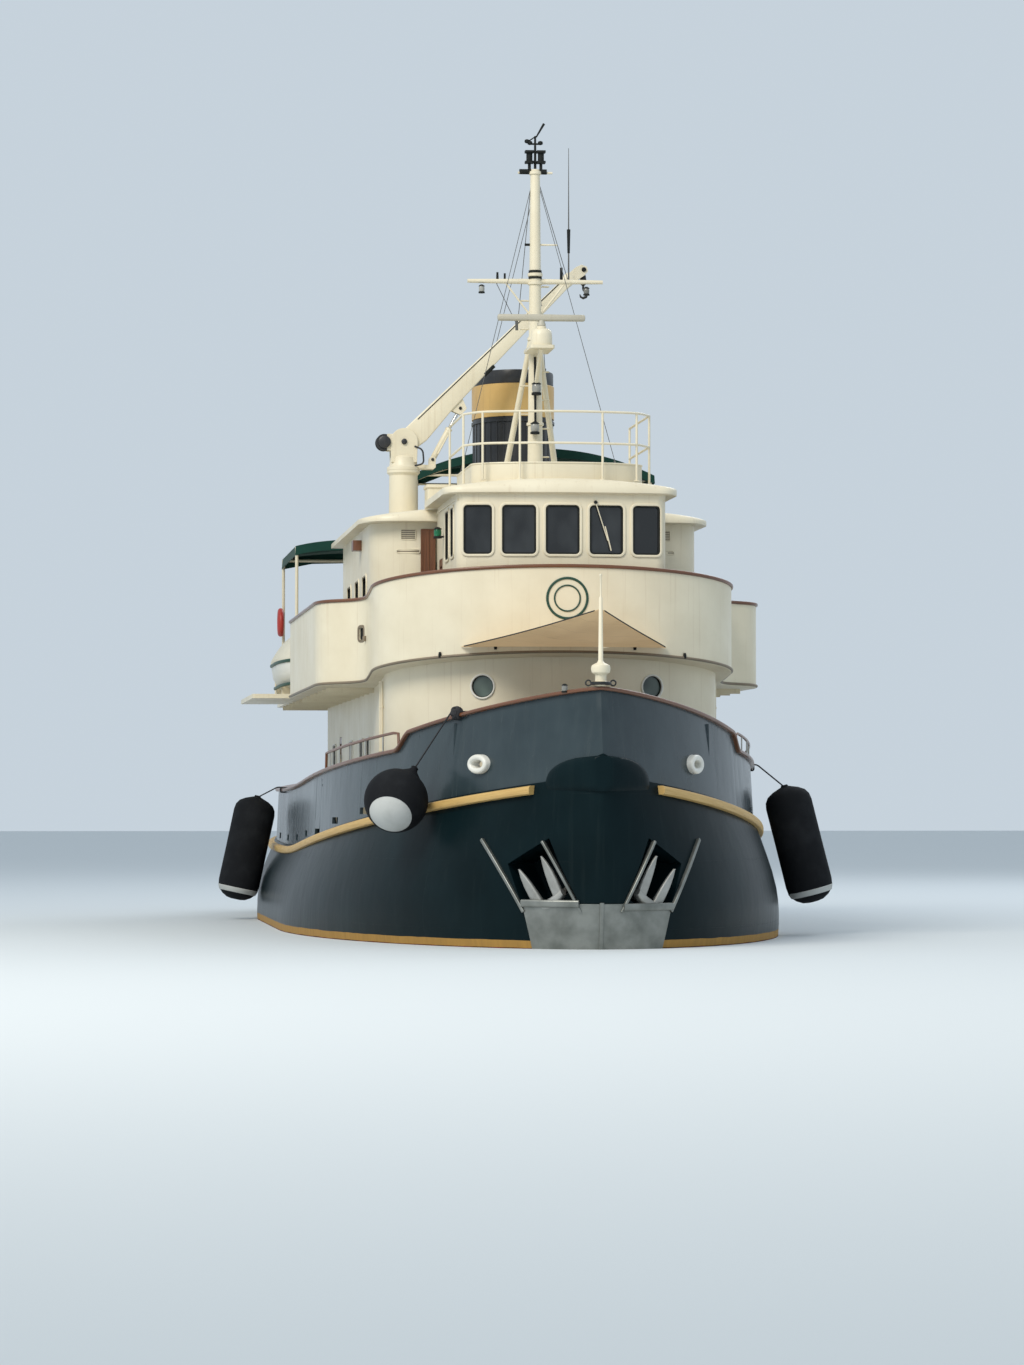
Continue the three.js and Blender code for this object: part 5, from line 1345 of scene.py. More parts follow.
def share_at_half(x, z):
    low, high = 0.0, 0.2
    for _ in range(24):
        share = (low + high) / 2
        if pad_point(share, z, 0.0).x < x:
            low = share
        else:
            high = share
    return share if x > 0 else 0.0


piece(nose_pad(), "nose_pad", HULL_PAINT, slot="hull_paint", bevel=0.006, angle=50)
print("nose pad made")


# %% Fairleads
def fairlead_rings(side):
    """A cast rim round the oval hole, followed round once."""
    station, z = FAIRLEAD["station"], FAIRLEAD["z"]
    edge, further = DECK_LINE.point(station / LENGTH, -0.06), DECK_LINE.point(station / LENGTH, 0.2)
    outward = (further - edge).normalized()
    along = Vector((0, 0, 1)).cross(outward)
    centre = Vector((edge.x - 0.025, edge.y, z))
    rings = []
    for turn in range(40):
        angle = 2 * math.pi * turn / 40
        dx, dz = math.cos(angle), math.sin(angle)
        spine = centre + along * (FAIRLEAD["long"] - 0.034) * dx
        spine += Vector((0, 0, (FAIRLEAD["high"] - 0.034) * dz))
        rim = (along * dx + Vector((0, 0, dz))).normalized()
        rings.append([spine + rim * (a + 0.016) + outward * b for a, b in rounded(0.10, 0.235, 0.045, 6)])
    return rings if side > 0 else [mirror_ring(r) for r in rings]


for side, word in ((1, "port"), (-1, "starboard")):
    piece(Form().loft(fairlead_rings(side), loop=True), "fairlead_ring_" + word, WHITE, slot="cream_paint",
          stands_for=("fairlead_" + word,), angle=60)
print("fairleads made")

# %% [markdown]
# ## Houses
#
# A room is a wall that follows an outline in plan, with rounded windows cut through it. The outlines are the
# model's own, followed at many more points, so the bowed fronts are smooth. `Outline` measures along the
# wall, which lets a window, its frame, its rubber and its pane be placed by one number: how far round they
# sit.

# %% Outlines in plan
class Outline:
    """A line in plan, as (x, station) points, that is followed by its own length."""

    def __init__(self, points):
        self.points = [Vector(p) for p in points]
        self.marks = [0.0]
        for a, b in zip(self.points, self.points[1:]):
            self.marks.append(self.marks[-1] + (b - a).length)

    def at(self, mark, out=0.0):
        """The point at a length along the line, and the outward direction there."""
        i = min(len(self.points) - 2, max(0, sum(1 for m in self.marks if m <= mark) - 1))
        a, b = self.points[i], self.points[i + 1]
        along = (b - a).normalized()
        normal = Vector((along.y, -along.x))
        point = a + along * (mark - self.marks[i]) + normal * out
        return point, normal

    def find(self, x=None, station=None, side=1):
        """The mark nearest to an x on the front, or to a station on one side."""
        best = None
        for point, mark in zip(self.dense(), self.dense_marks()):
            if x is not None:
                miss = abs(point.x - x) + 0.2 * max(0, point.y - min(p.y for p in self.points))
            else:
                miss = abs(point.y - station) + (0 if point.x * side > 0 else 99)
            if best is None or miss < best[0]:
                best = (miss, mark)
        return best[1]

    def dense_marks(self):
        return [self.marks[-1] * i / 1500 for i in range(1501)]

    def dense(self):
        return [self.at(m)[0] for m in self.dense_marks()]


print("outline ready")


# %% House plans and walls
def quarter(start, control, end, steps=12):
    """A curve with one control point, without its first point."""
    result = []
    for i in range(1, steps + 1):
        t = i / steps
        result.append(Vector(start) * (1 - t) ** 2 + Vector(control) * 2 * t * (1 - t) + Vector(end) * t * t)
    return result


def round_front(half, front, depth, aft, corner=0.15):
    """A plan with a half-oval front and two small corners aft."""
    points = [Vector((-half * math.cos(math.pi * i / 72), front + depth - depth * math.sin(math.pi * i / 72)))
              for i in range(73)]
    points.append(Vector((half, aft - corner)))
    points += quarter(points[-1], (half, aft), (half - corner, aft), 6)
    points.append(Vector((-half + corner, aft)))
    points += quarter(points[-1], (-half, aft), (-half, aft - corner), 6)
    return points + [points[0].copy()]


def boxed_front(half, front, bow, front_half, corner, aft):
    """A plan with a slightly bowed front, rounded front corners and straight sides."""
    start = Vector((-front_half, front + bow))
    points = [start] + quarter(start, (0, front - bow), (front_half, front + bow), 30)
    points += quarter(points[-1], (half, front + bow + 0.06), (half, front + bow + corner), 14)
    points.append(Vector((half, aft - 0.1)))
    points += quarter(points[-1], (half, aft), (half - 0.1, aft), 5)
    points.append(Vector((-half + 0.1, aft)))
    points += quarter(points[-1], (-half, aft), (-half, aft - 0.1), 5)
    points.append(Vector((-half, front + bow + corner)))
    return points + quarter(points[-1], (-half, front + bow + 0.06), (-front_half, front + bow), 14)


def wall_form(outer, inner, low, high):
    """A wall between two outlines of equal count. low and high are heights by station."""
    form = Form()
    rings = []
    for a, b in zip(outer[:-1], inner[:-1]):
        rings.append([at(a.x, a.y, low(a.y)), at(a.x, a.y, high(a.y)),
                      at(b.x, b.y, high(a.y)), at(b.x, b.y, low(a.y))])
    return form.loft(rings, loop=True)


print("outlines ready")


# %% Openings in a wall
def on_wall(outline, mark, z, shape, out):
    """An opening's shape laid on the wall about a mark and a height."""
    points = []
    for across, up in shape:
        point, _ = outline.at(mark + across, out)
        points.append(at(point.x, point.y, z + up))
    return points


def opening_tool(outline, mark, z, shape, deep=0.25):
    rings = [on_wall(outline, mark, z, shape, out) for out in (0.15, -deep)]
    return Form().loft(rings)


def frame_ring(form, outline, mark, z, shape, section, out=0.0):
    """Sweeps a section of (away from the opening, away from the wall) round an opening."""
    path = on_wall(outline, mark, z, shape, out)
    centre = middle(path)
    normals = []
    for across, up in shape:
        _, plan = outline.at(mark + across)
        normals.append(Vector((plan.x, plan.y, 0)))
    rings = []
    for point, normal, along in zip(path, normals, tangents(path, True)):
        away = along.cross(normal).normalized()
        if away.dot(point - centre) < 0:
            away = -away
        rings.append([point + away * a + normal * b for a, b in section])
    return form.loft(rings, loop=True)


def pane(form, outline, mark, z, shape, out, thick=0.008):
    """A flat plate of an opening's shape, as a pane or a slat."""
    return form.loft([on_wall(outline, mark, z, shape, out - d) for d in (0, thick)])


print("openings can be cut")

# %% Deckhouse
def boat_deck_under(s):
    """The underside of the boat deck, which rises a little towards its bowed front."""
    return 4.63 + 0.48 * (max(0, 10.2 - s) / 5) ** 1.6


def boat_deck_top(s):
    return boat_deck_under(s) + 0.11


HOUSE = Outline(round_front(3.05, 5.6, 2.1, 24.0))
HOUSE_INNER = round_front(2.98, 5.67, 2.1, 23.93)
ROUND_PORT = circle(36, 0.2)
SALOON_PANE = rounded(0.8, 0.65, 0.09)
FRONT_PORTS = [(-1.42, 4.54), (1.64, 4.54)]
SALOON_STATIONS = [11.7, 13.5, 16.3, 21.4]
DOOR_SHAPE = rounded(0.65, 1.95, 0.02, 2)
HOUSE_HINGES = (2.251, 3.304)


def pane_rows():
    """Every opening of the deckhouse: its mark on the wall, its height, its shape, and what is in it."""
    rows = [(HOUSE.find(x=x), z, ROUND_PORT, "port") for x, z in FRONT_PORTS]
    for side in (1, -1):
        rows += [(HOUSE.find(station=s, side=side), 3.375, SALOON_PANE, "pane") for s in SALOON_STATIONS]
        rows.append((HOUSE.find(station=19.625, side=side), 2.875, DOOR_SHAPE, "door"))
    return rows


house_openings = pane_rows()
house_form = wall_form(HOUSE.points, HOUSE_INNER, lambda s: sheer(s) - 0.04,
                       lambda s: boat_deck_under(s) + 0.02)
house_holes = [opening_tool(HOUSE, mark, z, shape) for mark, z, shape, kind in house_openings]
for side in (1, -1):
    for z in HOUSE_HINGES:
        hinge_pair(house_form, side, 3.084, 19.286, 3.03, z, False)
piece(house_form, "deckhouse_walls", CREAM, slot="cream_paint", stands_for=("deckhouse",), holes=house_holes)
PORT_RIM = rounded(0.034, 0.05, 0.014, 3)
WINDOW_TRIM = rounded(0.045, 0.03, 0.012, 3)
GASKET_LIP = rounded(0.016, 0.03, 0.007, 2)
house_rims, house_rubber, house_panes, port_panes = Form(), Form(), Form(), Form()
for mark, z, shape, kind in house_openings:
    if kind == "door":
        continue
    frame_ring(house_rims, HOUSE, mark, z, shape, [(a + 0.014, b + 0.005) for a, b in PORT_RIM])
    frame_ring(house_rubber, HOUSE, mark, z, shape, [(a - 0.006, b - 0.02) for a, b in GASKET_LIP])
    pane(port_panes if kind == "port" else house_panes, HOUSE, mark, z, shape, -0.035)
piece(house_rims, "deckhouse_window_rims", WHITE, slot="cream_paint", angle=50)
piece(house_rubber, "deckhouse_gaskets", GASKET, slot="fender_rubber", angle=50)
piece(port_panes, "deckhouse_port_panes", PORT_GLASS, slot="window_glass")
piece(house_panes, "deckhouse_saloon_panes", WINDOW_GLASS, slot="window_glass")
print("deckhouse", len(house_openings), "openings")

# %% [markdown]
# ## Bridge front and boat deck
#
# The boat deck swells out over the side decks in a long S, and its bulwark is one smooth pale wall that makes
# the boat's face. It gets a teak top, a dark moulding along its foot, one small square port on each shoulder
# and two plain rings on its front.

# %% Bridge line
def bridge_line(aft=18.2):
    """Half the bulwark's plan: a quarter oval, the S of the shoulder and the straight side."""
    points = [Vector((3.3 * math.sin(math.pi / 2 * i / 40), 5.2 + 2.2 * (1 - math.cos(math.pi / 2 * i / 40))))
              for i in range(41)]
    points.append(Vector((3.3, 8.0)))
    points.append(Vector((3.3, 8.5)))
    for i in range(1, 25):
        t = i / 24
        points.append(Vector((3.3, 8.5)) * (1 - t) ** 3 + Vector((3.3, 9.65)) * 3 * t * (1 - t) ** 2
                      + Vector((4.19, 8.95)) * 3 * t * t * (1 - t) + Vector((4.19, 10.1)) * t ** 3)
    return points + [Vector((4.19, 10.1 + (aft - 10.1) * i / 6)) for i in range(1, 7)]


def beside(points, out):
    """The line moved outward in plan. On the centreline it only moves ahead."""
    moved = [Vector((0, points[0].y - out))]
    for i in range(1, len(points)):
        along = (points[min(i + 1, len(points) - 1)] - points[i - 1]).normalized()
        moved.append(points[i] + Vector((along.y, -along.x)) * out)
    return moved


def line_sweep(form, points, section, height):
    """Sweeps a section of (out, up) along a plan line; height gives the base by station."""
    columns = [(beside(points, out), up) for out, up in section]
    rings = []
    for i, point in enumerate(points):
        rings.append([at(moved[i].x, moved[i].y, height(point.y) + up) for moved, up in columns])
    return form.loft(both_sides(rings))


BRIDGE_LINE = bridge_line()
BRIDGE = Outline([Vector((-p.x, p.y)) for p in reversed(BRIDGE_LINE[1:])] + BRIDGE_LINE)
print("bridge line", round(BRIDGE.marks[-1], 2), "m round")

# %% Boat deck's bulwark
BRIDGE_WALL = 1.54
SHOULDER_Z = 5.60
wall_section = [(0, 0), (0, 0.5), (0, 1.0), (0, BRIDGE_WALL), (-0.09, BRIDGE_WALL), (-0.09, 1.0), (-0.09, 0.5),
                (-0.09, 0)]
SHOULDER_PORT = rounded(0.17, 0.22, 0.03)
shoulder_marks = [BRIDGE.find(station=8.97, side=side) for side in (1, -1)]
shoulder_tools = [opening_tool(BRIDGE, mark, SHOULDER_Z, SHOULDER_PORT) for mark in shoulder_marks]
piece(line_sweep(Form(), BRIDGE_LINE, wall_section, boat_deck_under), "bridge_bulwark_wall", CREAM,
      slot="cream_paint", bevel=0.006, holes=shoulder_tools,
      stands_for=("bridge_bulwark", "bridge_bulwark_port", "bridge_bulwark_starboard"))
cap_section = [(a - 0.045, b + BRIDGE_WALL + 0.03) for a, b in rounded(0.16, 0.06, 0.022, 3)]
piece(line_sweep(Form(), BRIDGE_LINE, cap_section, boat_deck_under), "bridge_teak_cap", TEAK_RAIL,
      slot="teak", stands_for=("bridge_cap_rail",), angle=50)
foot_section = [(a + 0.008, b + 0.035) for a, b in rounded(0.05, 0.05, 0.022, 3)]
moulding = line_sweep(Form(), BRIDGE_LINE, foot_section, boat_deck_under)
for mark in shoulder_marks:
    frame_ring(moulding, BRIDGE, mark, SHOULDER_Z, SHOULDER_PORT, [(a + 0.01, b) for a, b in GASKET_LIP])
piece(moulding, "bridge_foot_moulding", TAUPE, slot="cream_paint", angle=50)
shoulder_trim, shoulder_shade = Form(), Form()
for mark, side in zip(shoulder_marks, (1, -1)):
    pane(shoulder_shade, BRIDGE, mark, SHOULDER_Z, rounded(0.20, 0.25, 0.03), -0.03, 0.02)
    frame_ring(shoulder_trim, BRIDGE, mark, SHOULDER_Z, SHOULDER_PORT,
               [(a + 0.03, 0.6 * b) for a, b in WINDOW_TRIM])
    point, normal = BRIDGE.at(mark - 0.22 * side, 0.03)
    shoulder_trim.turned([(0.03, -0.05), (0.035, 0), (0.03, 0.05)], at(point.x, point.y, 5.50), sides=16)
piece(shoulder_trim, "shoulder_port_trim", TAUPE, slot="cream_paint", bevel=0.003, angle=50)
# A dark plate behind each shoulder port stands for the shade inside the bulwark: painted shade.
piece(shoulder_shade, "shoulder_port_shade_plates", GASKET, slot="fender_rubber")
print("bridge bulwark made, shoulder ports", len(shoulder_marks))

# %% Plain rings on the bridge front
# radius, width of the ring
RINGS = [(0.36, 0.045), (0.23, 0.028)]
RING_X, RING_Z = 0.03, 6.10


def plain_rings():
    """Two plain rings, one in the other."""
    form = Form()
    mark = BRIDGE.find(x=RING_X)
    for radius, thick in RINGS:
        frame_ring(form, BRIDGE, mark, RING_Z, circle(48, radius), rounded(thick, 0.02, 0.008, 2), out=0.006)
    return form


piece(plain_rings(), "plain_ring_ornament", EMBLEM_GREEN, slot="green_canvas", angle=50)
print("ornament made")


# %% Boat deck
DECK_TAIL = [(4.15, 18.9), (4.12, 21), (4.1, 24), (4.1, 26.6), (4.02, 26.9), (3.9, 27.0)]
DECK_PLAN = bridge_line() + [Vector(p) for p in DECK_TAIL]


def deck_rings(inset, low, high):
    """The boat deck as rows from side to side, between two heights by station."""
    edge = beside(DECK_PLAN, -inset)
    rings = []
    for moved, point in zip(edge[1:], DECK_PLAN[1:]):
        across = [moved.x * i / 6 for i in range(-6, 7)]
        top = [at(x, moved.y, high(point.y)) for x in across]
        rings.append(top + [at(x, moved.y, low(point.y)) for x in reversed(across)])
    return rings


TENDER_X = -3.64
CHOCK_STATIONS = (20.2, 22.2)
CHOCK = [(-0.62, 4.70), (0.62, 4.70), (0.62, 4.97), (0.48, 5.02), (0.25, 4.90), (0, 4.87), (-0.25, 4.90),
         (-0.48, 5.02), (-0.62, 4.97)]
BEAM_STATIONS = [10.4 + 1.25 * i for i in range(13)]
boat_deck_form = Form().loft(deck_rings(0.092, boat_deck_under, boat_deck_top))
boat_deck_form.block(at(-4.95, 18.6, 4.64), at(-4.0, 23.9, 4.73), 0.06)
for s in CHOCK_STATIONS:
    boat_deck_form.loft([[at(TENDER_X + x, s + d, z) for x, z in CHOCK] for d in (-0.06, 0.06)])
for s in BEAM_STATIONS:
    boat_deck_form.block(at(-3.95, s - 0.03, 4.54), at(3.95, s + 0.03, 4.64))
piece(boat_deck_form, "boat_deck_plate", CREAM, slot="cream_paint", bevel=0.008, stands_for=("boat_deck",))
planking = Form().loft(deck_rings(0.16, lambda s: boat_deck_top(s) - 0.02,
                                  lambda s: boat_deck_top(s) + 0.014))
piece(planking, "boat_deck_planking", DECK_TEAK, slot="teak")
print("boat deck made")

# %% [markdown]
# ## Wheelhouse and cabin
#
# The wheelhouse has five windows across a slightly bowed front, each with rounded corners, a raised trim and
# a black rubber. The cabin behind is wider, so its two front corners show on both sides. The walls are thin
# plate, cut through, with panes set behind them.

# %% Wheelhouse walls
def wheel_outline(inset):
    return boxed_front(1.9 - inset, 5.7 + inset, 0.13, 1.73, 0.24, 9.89 - inset)


WHEEL = Outline(wheel_outline(0))
WHEEL_WINDOWS = [(-1.53, 0.5), (-0.79, 0.6), (0, 0.6), (0.79, 0.6), (1.53, 0.5)]
WHEEL_SIDES = [(6.7, 0.6), (7.7, 0.7)]
WHEEL_Z, WHEEL_TALL, WHEEL_CORNER = 7.355, 0.87, 0.07
WHEEL_HINGES = (5.36, 6.44)
DRIP_Z = 7.90
wheel_openings = [(WHEEL.find(x=x), WHEEL_Z, rounded(w, WHEEL_TALL, WHEEL_CORNER)) for x, w in WHEEL_WINDOWS]
for side in (1, -1):
    wheel_openings += [(WHEEL.find(station=s, side=side), WHEEL_Z, rounded(w, WHEEL_TALL, WHEEL_CORNER))
                       for s, w in WHEEL_SIDES]
wheel_doors = [(WHEEL.find(station=9.0, side=side), 6.0, rounded(0.70, 2.0, 0.02, 2)) for side in (1, -1)]
wheel_form = wall_form(WHEEL.points, wheel_outline(0.07), lambda s: boat_deck_top(s) - 0.01, lambda s: 8.02)
for side in (1, -1):
    for z in WHEEL_HINGES:
        hinge_pair(wheel_form, side, 1.934, 8.636, 1.88, z, False)
piece(wheel_form, "wheelhouse_walls", CREAM, slot="cream_paint", stands_for=("wheelhouse",),
      holes=[opening_tool(WHEEL, *row) for row in wheel_openings + wheel_doors])
print("wheelhouse walls", len(wheel_openings), "windows")

# %% Wheelhouse windows and drip moulding
wheel_trim = [(a + 0.03, b + 0.006) for a, b in rounded(0.05, 0.032, 0.012, 3)]
wheel_rubber = [(a - 0.008, b - 0.012) for a, b in rounded(0.036, 0.036, 0.012, 3)]
trims, rubbers, panes = Form(), Form(), Form()
for mark, z, shape in wheel_openings:
    frame_ring(trims, WHEEL, mark, z, shape, wheel_trim)
    frame_ring(rubbers, WHEEL, mark, z, shape, wheel_rubber)
    pane(panes, WHEEL, mark, z, shape, -0.03)
first, last = WHEEL.find(x=1.86), WHEEL.find(x=-1.86)
drip = [WHEEL.at(first + (last - first) * i / 40) for i in range(41)]
trims.sweep([at(*point, DRIP_Z) for point, normal in drip], [Vector((*normal, 0)) for point, normal in drip],
            [(a, b + 0.008) for a, b in rounded(0.035, 0.03, 0.01, 3)])
piece(trims, "wheelhouse_trims", CREAM, slot="cream_paint", angle=50)
piece(rubbers, "wheelhouse_rubbers", GASKET, slot="fender_rubber", angle=50)
piece(panes, "wheelhouse_panes", WINDOW_GLASS, slot="window_glass", stands_for=("wheelhouse_glass",))
print("wheelhouse glazed")


# %% Cabin walls
def cabin_outline(inset):
    return boxed_front(3.12 - inset, 9.96 + inset, 0.06, 2.37, 0.8, 18.0 - inset)


CABIN = Outline(cabin_outline(0))
CABIN_SHAPE, CABIN_AFT_SHAPE = rounded(1.0, 0.9, 0.12), rounded(3.0, 0.9, 0.12)
CABIN_Z = 6.35
cabin_openings = [(CABIN.find(station=s, side=side), CABIN_Z, CABIN_SHAPE)
                  for s in (11.8, 13.8, 16.0) for side in (1, -1)]
cabin_form = wall_form(CABIN.points, cabin_outline(0.07), lambda s: boat_deck_top(s) - 0.01, lambda s: 7.76)
cabin_tools = [opening_tool(CABIN, *row) for row in cabin_openings]
cabin_tools.append(Form().loft([[at(a, s, CABIN_Z + b) for a, b in CABIN_AFT_SHAPE] for s in (17.7, 18.2)]))
cabin_tools.append(Form().block(at(-1.9, 9.5, 5.0), at(1.9, 10.3, 7.0)))
piece(cabin_form, "cabin_walls", CREAM, slot="cream_paint", stands_for=("cabin",), holes=cabin_tools)
cabin_trims, cabin_rubbers, cabin_panes = Form(), Form(), Form()
for mark, z, shape in cabin_openings:
    frame_ring(cabin_trims, CABIN, mark, z, shape, [(a + 0.03, b + 0.006) for a, b in WINDOW_TRIM])
    frame_ring(cabin_rubbers, CABIN, mark, z, shape, [(a - 0.006, b - 0.012) for a, b in GASKET_LIP])
    pane(cabin_panes, CABIN, mark, z, shape, -0.03)
cabin_panes.loft([[at(a, s, CABIN_Z + b) for a, b in CABIN_AFT_SHAPE] for s in (17.955, 17.967)])
for x in (-0.5, 0.5):
    cabin_trims.block(at(x - 0.03, 17.94, 5.88), at(x + 0.03, 18.02, 6.82))
aft_frame = [at(a, 18.0, CABIN_Z + b) for a, b in rounded(3.06, 0.96, 0.14)]
cabin_trims.sweep(aft_frame, [Vector((0, 1, 0))] * len(aft_frame), rounded(0.05, 0.04, 0.012, 3), loop=True)
piece(cabin_trims, "cabin_trims", CREAM, slot="cream_paint", angle=50)
piece(cabin_rubbers, "cabin_rubbers", GASKET, slot="fender_rubber", angle=50)
piece(cabin_panes, "cabin_panes", WINDOW_GLASS, slot="window_glass", stands_for=("cabin_glass",))
print("cabin", len(cabin_openings) + 1, "windows")


# %% Roofs
ROOF_LIP = 0.05
NOSE_STEPS = 6


def roof_form(outline_points, aft, half, low, thick, crown):
    """A plate with a flat underside and a crowned top whose front edge is rounded right down to the eave."""
    radius = (half * half + crown * crown) / (2 * crown)
    front = sorted((p.x, p.y) for p in outline_points if p.y < aft - 0.5)
    rings = []
    for i in range(61):
        x = -half * math.cos(math.pi * i / 60)
        x = max(front[0][0] + 1e-4, min(front[-1][0] - 1e-4, x))
        nose = min(y for fx, y in front if abs(fx - x) < 0.2)
        for (x0, y0), (x1, y1) in zip(front, front[1:]):
            if x0 <= x <= x1 and x1 > x0:
                nose = y0 + (y1 - y0) * (x - x0) / (x1 - x0)
        top = low + thick + crown - radius + math.sqrt(radius * radius - x * x)
        rise = top - low - ROOF_LIP
        ring = [at(x, nose + 0.03, low), at(x, nose, low + 0.02), at(x, nose, low + ROOF_LIP)]
        for k in range(1, NOSE_STEPS + 1):
            turn = math.pi / 2 * k / NOSE_STEPS
            ring.append(at(x, nose + 1.1 * rise * (1 - math.cos(turn)), low + ROOF_LIP + rise * math.sin(turn)))
        ring += [at(x, nose + (aft - nose) * k / 4, top) for k in (2, 3)]
        rings.append(ring + [at(x, aft - 0.02, top), at(x, aft, top - 0.03), at(x, aft, low)])
    return Form().loft(rings)


COAMING_FOOT, COAMING_TOP = 8.1, 8.585
wheel_roof = roof_form(boxed_front(2.13, 5.58, 0.15, 1.78, 0.5, 9.9), 9.9, 2.13, 8.0, 0.12, 0.17)
coaming_outer = round_front(1.56, 6.0, 0.7, 9.6)
coaming_inner = round_front(1.50, 6.06, 0.7, 9.54)
coaming = wall_form(coaming_outer, coaming_inner, lambda s: COAMING_FOOT, lambda s: COAMING_TOP)
coaming_path = [at(p.x, p.y, COAMING_TOP) for p in Outline(coaming_outer).points[:-1]]
coaming.sweep(coaming_path, [Vector((0, 0, 1))] * len(coaming_path),
              [(a - 0.03, b) for a, b in rounded(0.09, 0.03, 0.013, 3)], loop=True)
piece(wheel_roof, "wheelhouse_roof_plate", CREAM, slot="cream_paint", stands_for=("wheelhouse_roof",),
      bevel=0.006)
piece(coaming, "flybridge_coaming", CREAM, slot="cream_paint", bevel=0.01)
print("wheelhouse roof and flybridge coaming made")

# %% Cabin roof, locker and crane post
CRANE_X, CRANE_S = -2.33, 12.35
BOLT_CIRCLE, BOLTS = 0.33, 12
POST_PROFILE = [(0.36, 7.9), (0.36, 7.99), (0.31, 8.03), (0.28, 8.06), (0.275, 8.80), (0.30, 8.83),
                (0.32, 8.85), (0.32, 8.90)]
cabin_roof = roof_form(boxed_front(3.33, 9.71, 0.06, 2.63, 0.9, 18.45), 18.45, 3.33, 7.74, 0.09, 0.27)
cabin_roof.turned(POST_PROFILE, at(CRANE_X, CRANE_S, 0), sides=48)
cabin_roof.block(at(-1.95, 11.3, 7.8), at(-1.42, 12.0, 8.50), 0.04)
cabin_roof.block(at(-1.97, 11.27, 8.50), at(-1.40, 12.02, 8.56), 0.05)
for i in range(BOLTS):
    turn = 2 * math.pi * i / BOLTS
    spot = at(CRANE_X + BOLT_CIRCLE * math.cos(turn), CRANE_S + BOLT_CIRCLE * math.sin(turn), 7.99)
    cabin_roof.turned([(0.016, 0), (0.016, 0.016), (0.008, 0.02)], spot, sides=6)
piece(cabin_roof, "cabin_roof_plate", CREAM, slot="cream_paint", stands_for=("cabin_roof",), bevel=0.006)
print("cabin roof made, bolts", BOLTS)

# %% [markdown]
# ## Rails
#
# Guard rails are steel tube bent to the deck's edge, welded on posts, with a round flange where each post
# stands. So one helper makes them all: a path whose corners are rounded first, and a post with its flange.

# %% Pipe bends and posts
RAIL_TUBE, AWNING_TUBE = 0.022, 0.034


def bent(points, radius=0.12, steps=5):
    """A path with its corners rounded as a pipe bender leaves them."""
    path = [points[0]]
    for before, corner, after in zip(points, points[1:], points[2:]):
        back, ahead = before - corner, after - corner
        reach = min(radius, back.length / 2.1, ahead.length / 2.1)
        start, end = corner + back.normalized() * reach, corner + ahead.normalized() * reach
        for i in range(steps + 1):
            t = i / steps
            path.append(start * (1 - t) ** 2 + corner * 2 * t * (1 - t) + end * t * t)
    return path + [points[-1]]


def bent_loop(plan, z, radius):
    """A closed rail from its corners in plan."""
    return bent([at(x, s, z) for x, s in plan + plan[:2]], radius)[1:-1]


def put_post(form, x, s, low, high, radius=RAIL_TUBE):
    """An upright tube with a round flange at its foot."""
    form.bar(at(x, s, low), at(x, s, high), radius)
    form.turned([(radius * 2.6, 0), (radius * 2.6, 0.010), (radius * 1.3, 0.022)], at(x, s, low), sides=20)


print("pipe bends ready")

# %% Flybridge rail
FLY_HALF = [(0, 5.87), (0.75, 5.95), (1.4, 6.18), (1.7, 6.7), (1.7, 9.4)]
FLY_LINE = [(-x, s) for x, s in reversed(FLY_HALF[1:])] + FLY_HALF
FLY_TOP, FLY_MIDDLE = 9.5, 8.93
fly_rail = Form()
for z in (FLY_TOP, FLY_MIDDLE):
    bow = through([at(x, s, z) for x, s in FLY_LINE[1:-1]], 8)
    fly_rail.tube([at(*FLY_LINE[0], z)] + bow + [at(*FLY_LINE[-1], z)], RAIL_TUBE, 14)
for x, s in FLY_LINE:
    if x:
        put_post(fly_rail, x, s, 8.27 if abs(x) < 1.5 else 8.18, FLY_TOP)
piece(fly_rail, "flybridge_guard_rail", CREAM, slot="cream_paint", stands_for=("flybridge_rail",), angle=60)
print("flybridge rail made")

# %% Boat deck rail and the aft awning's frame
RAIL_EDGE, RAIL_AFT = 4.03, 26.92
DECK_FOOT = boat_deck_top(27) + 0.002
AFT_POLES, POLE_HEAD = (18.7, 23.75), 7.78
side_posts = [(RAIL_EDGE, 18.4 + 1.62 * i) for i in range(6)]
aft_posts = [(x, RAIL_AFT) for x in (-4.03, -2.7, -1.35, 0, 1.35, 2.7)]
deck_rail = Form()
for share in (0.5, 1.0):
    corners = [(-RAIL_EDGE, 23.75), (-RAIL_EDGE, RAIL_AFT), (RAIL_EDGE, RAIL_AFT), (RAIL_EDGE, 18.3)]
    deck_rail.tube(bent([at(x, s, DECK_FOOT + share) for x, s in corners], 0.15), 0.024, 14)
for x, s in side_posts + aft_posts:
    put_post(deck_rail, x, s, DECK_FOOT, DECK_FOOT + 1)
for x, s in [(x, s) for s in AFT_POLES for x in (-RAIL_EDGE, RAIL_EDGE)]:
    put_post(deck_rail, x, s, DECK_FOOT, POLE_HEAD, AWNING_TUBE)
frame_plan = [(-RAIL_EDGE, 18.7), (-RAIL_EDGE, 23.75), (RAIL_EDGE, 23.75), (RAIL_EDGE, 18.7)]
deck_rail.tube(bent_loop(frame_plan, POLE_HEAD, 0.10), AWNING_TUBE, 14)
piece(deck_rail, "boat_deck_guard_rail", CREAM, slot="cream_paint", stands_for=("boat_deck_rail",), angle=60)
print("boat deck rail made, posts", len(side_posts + aft_posts))

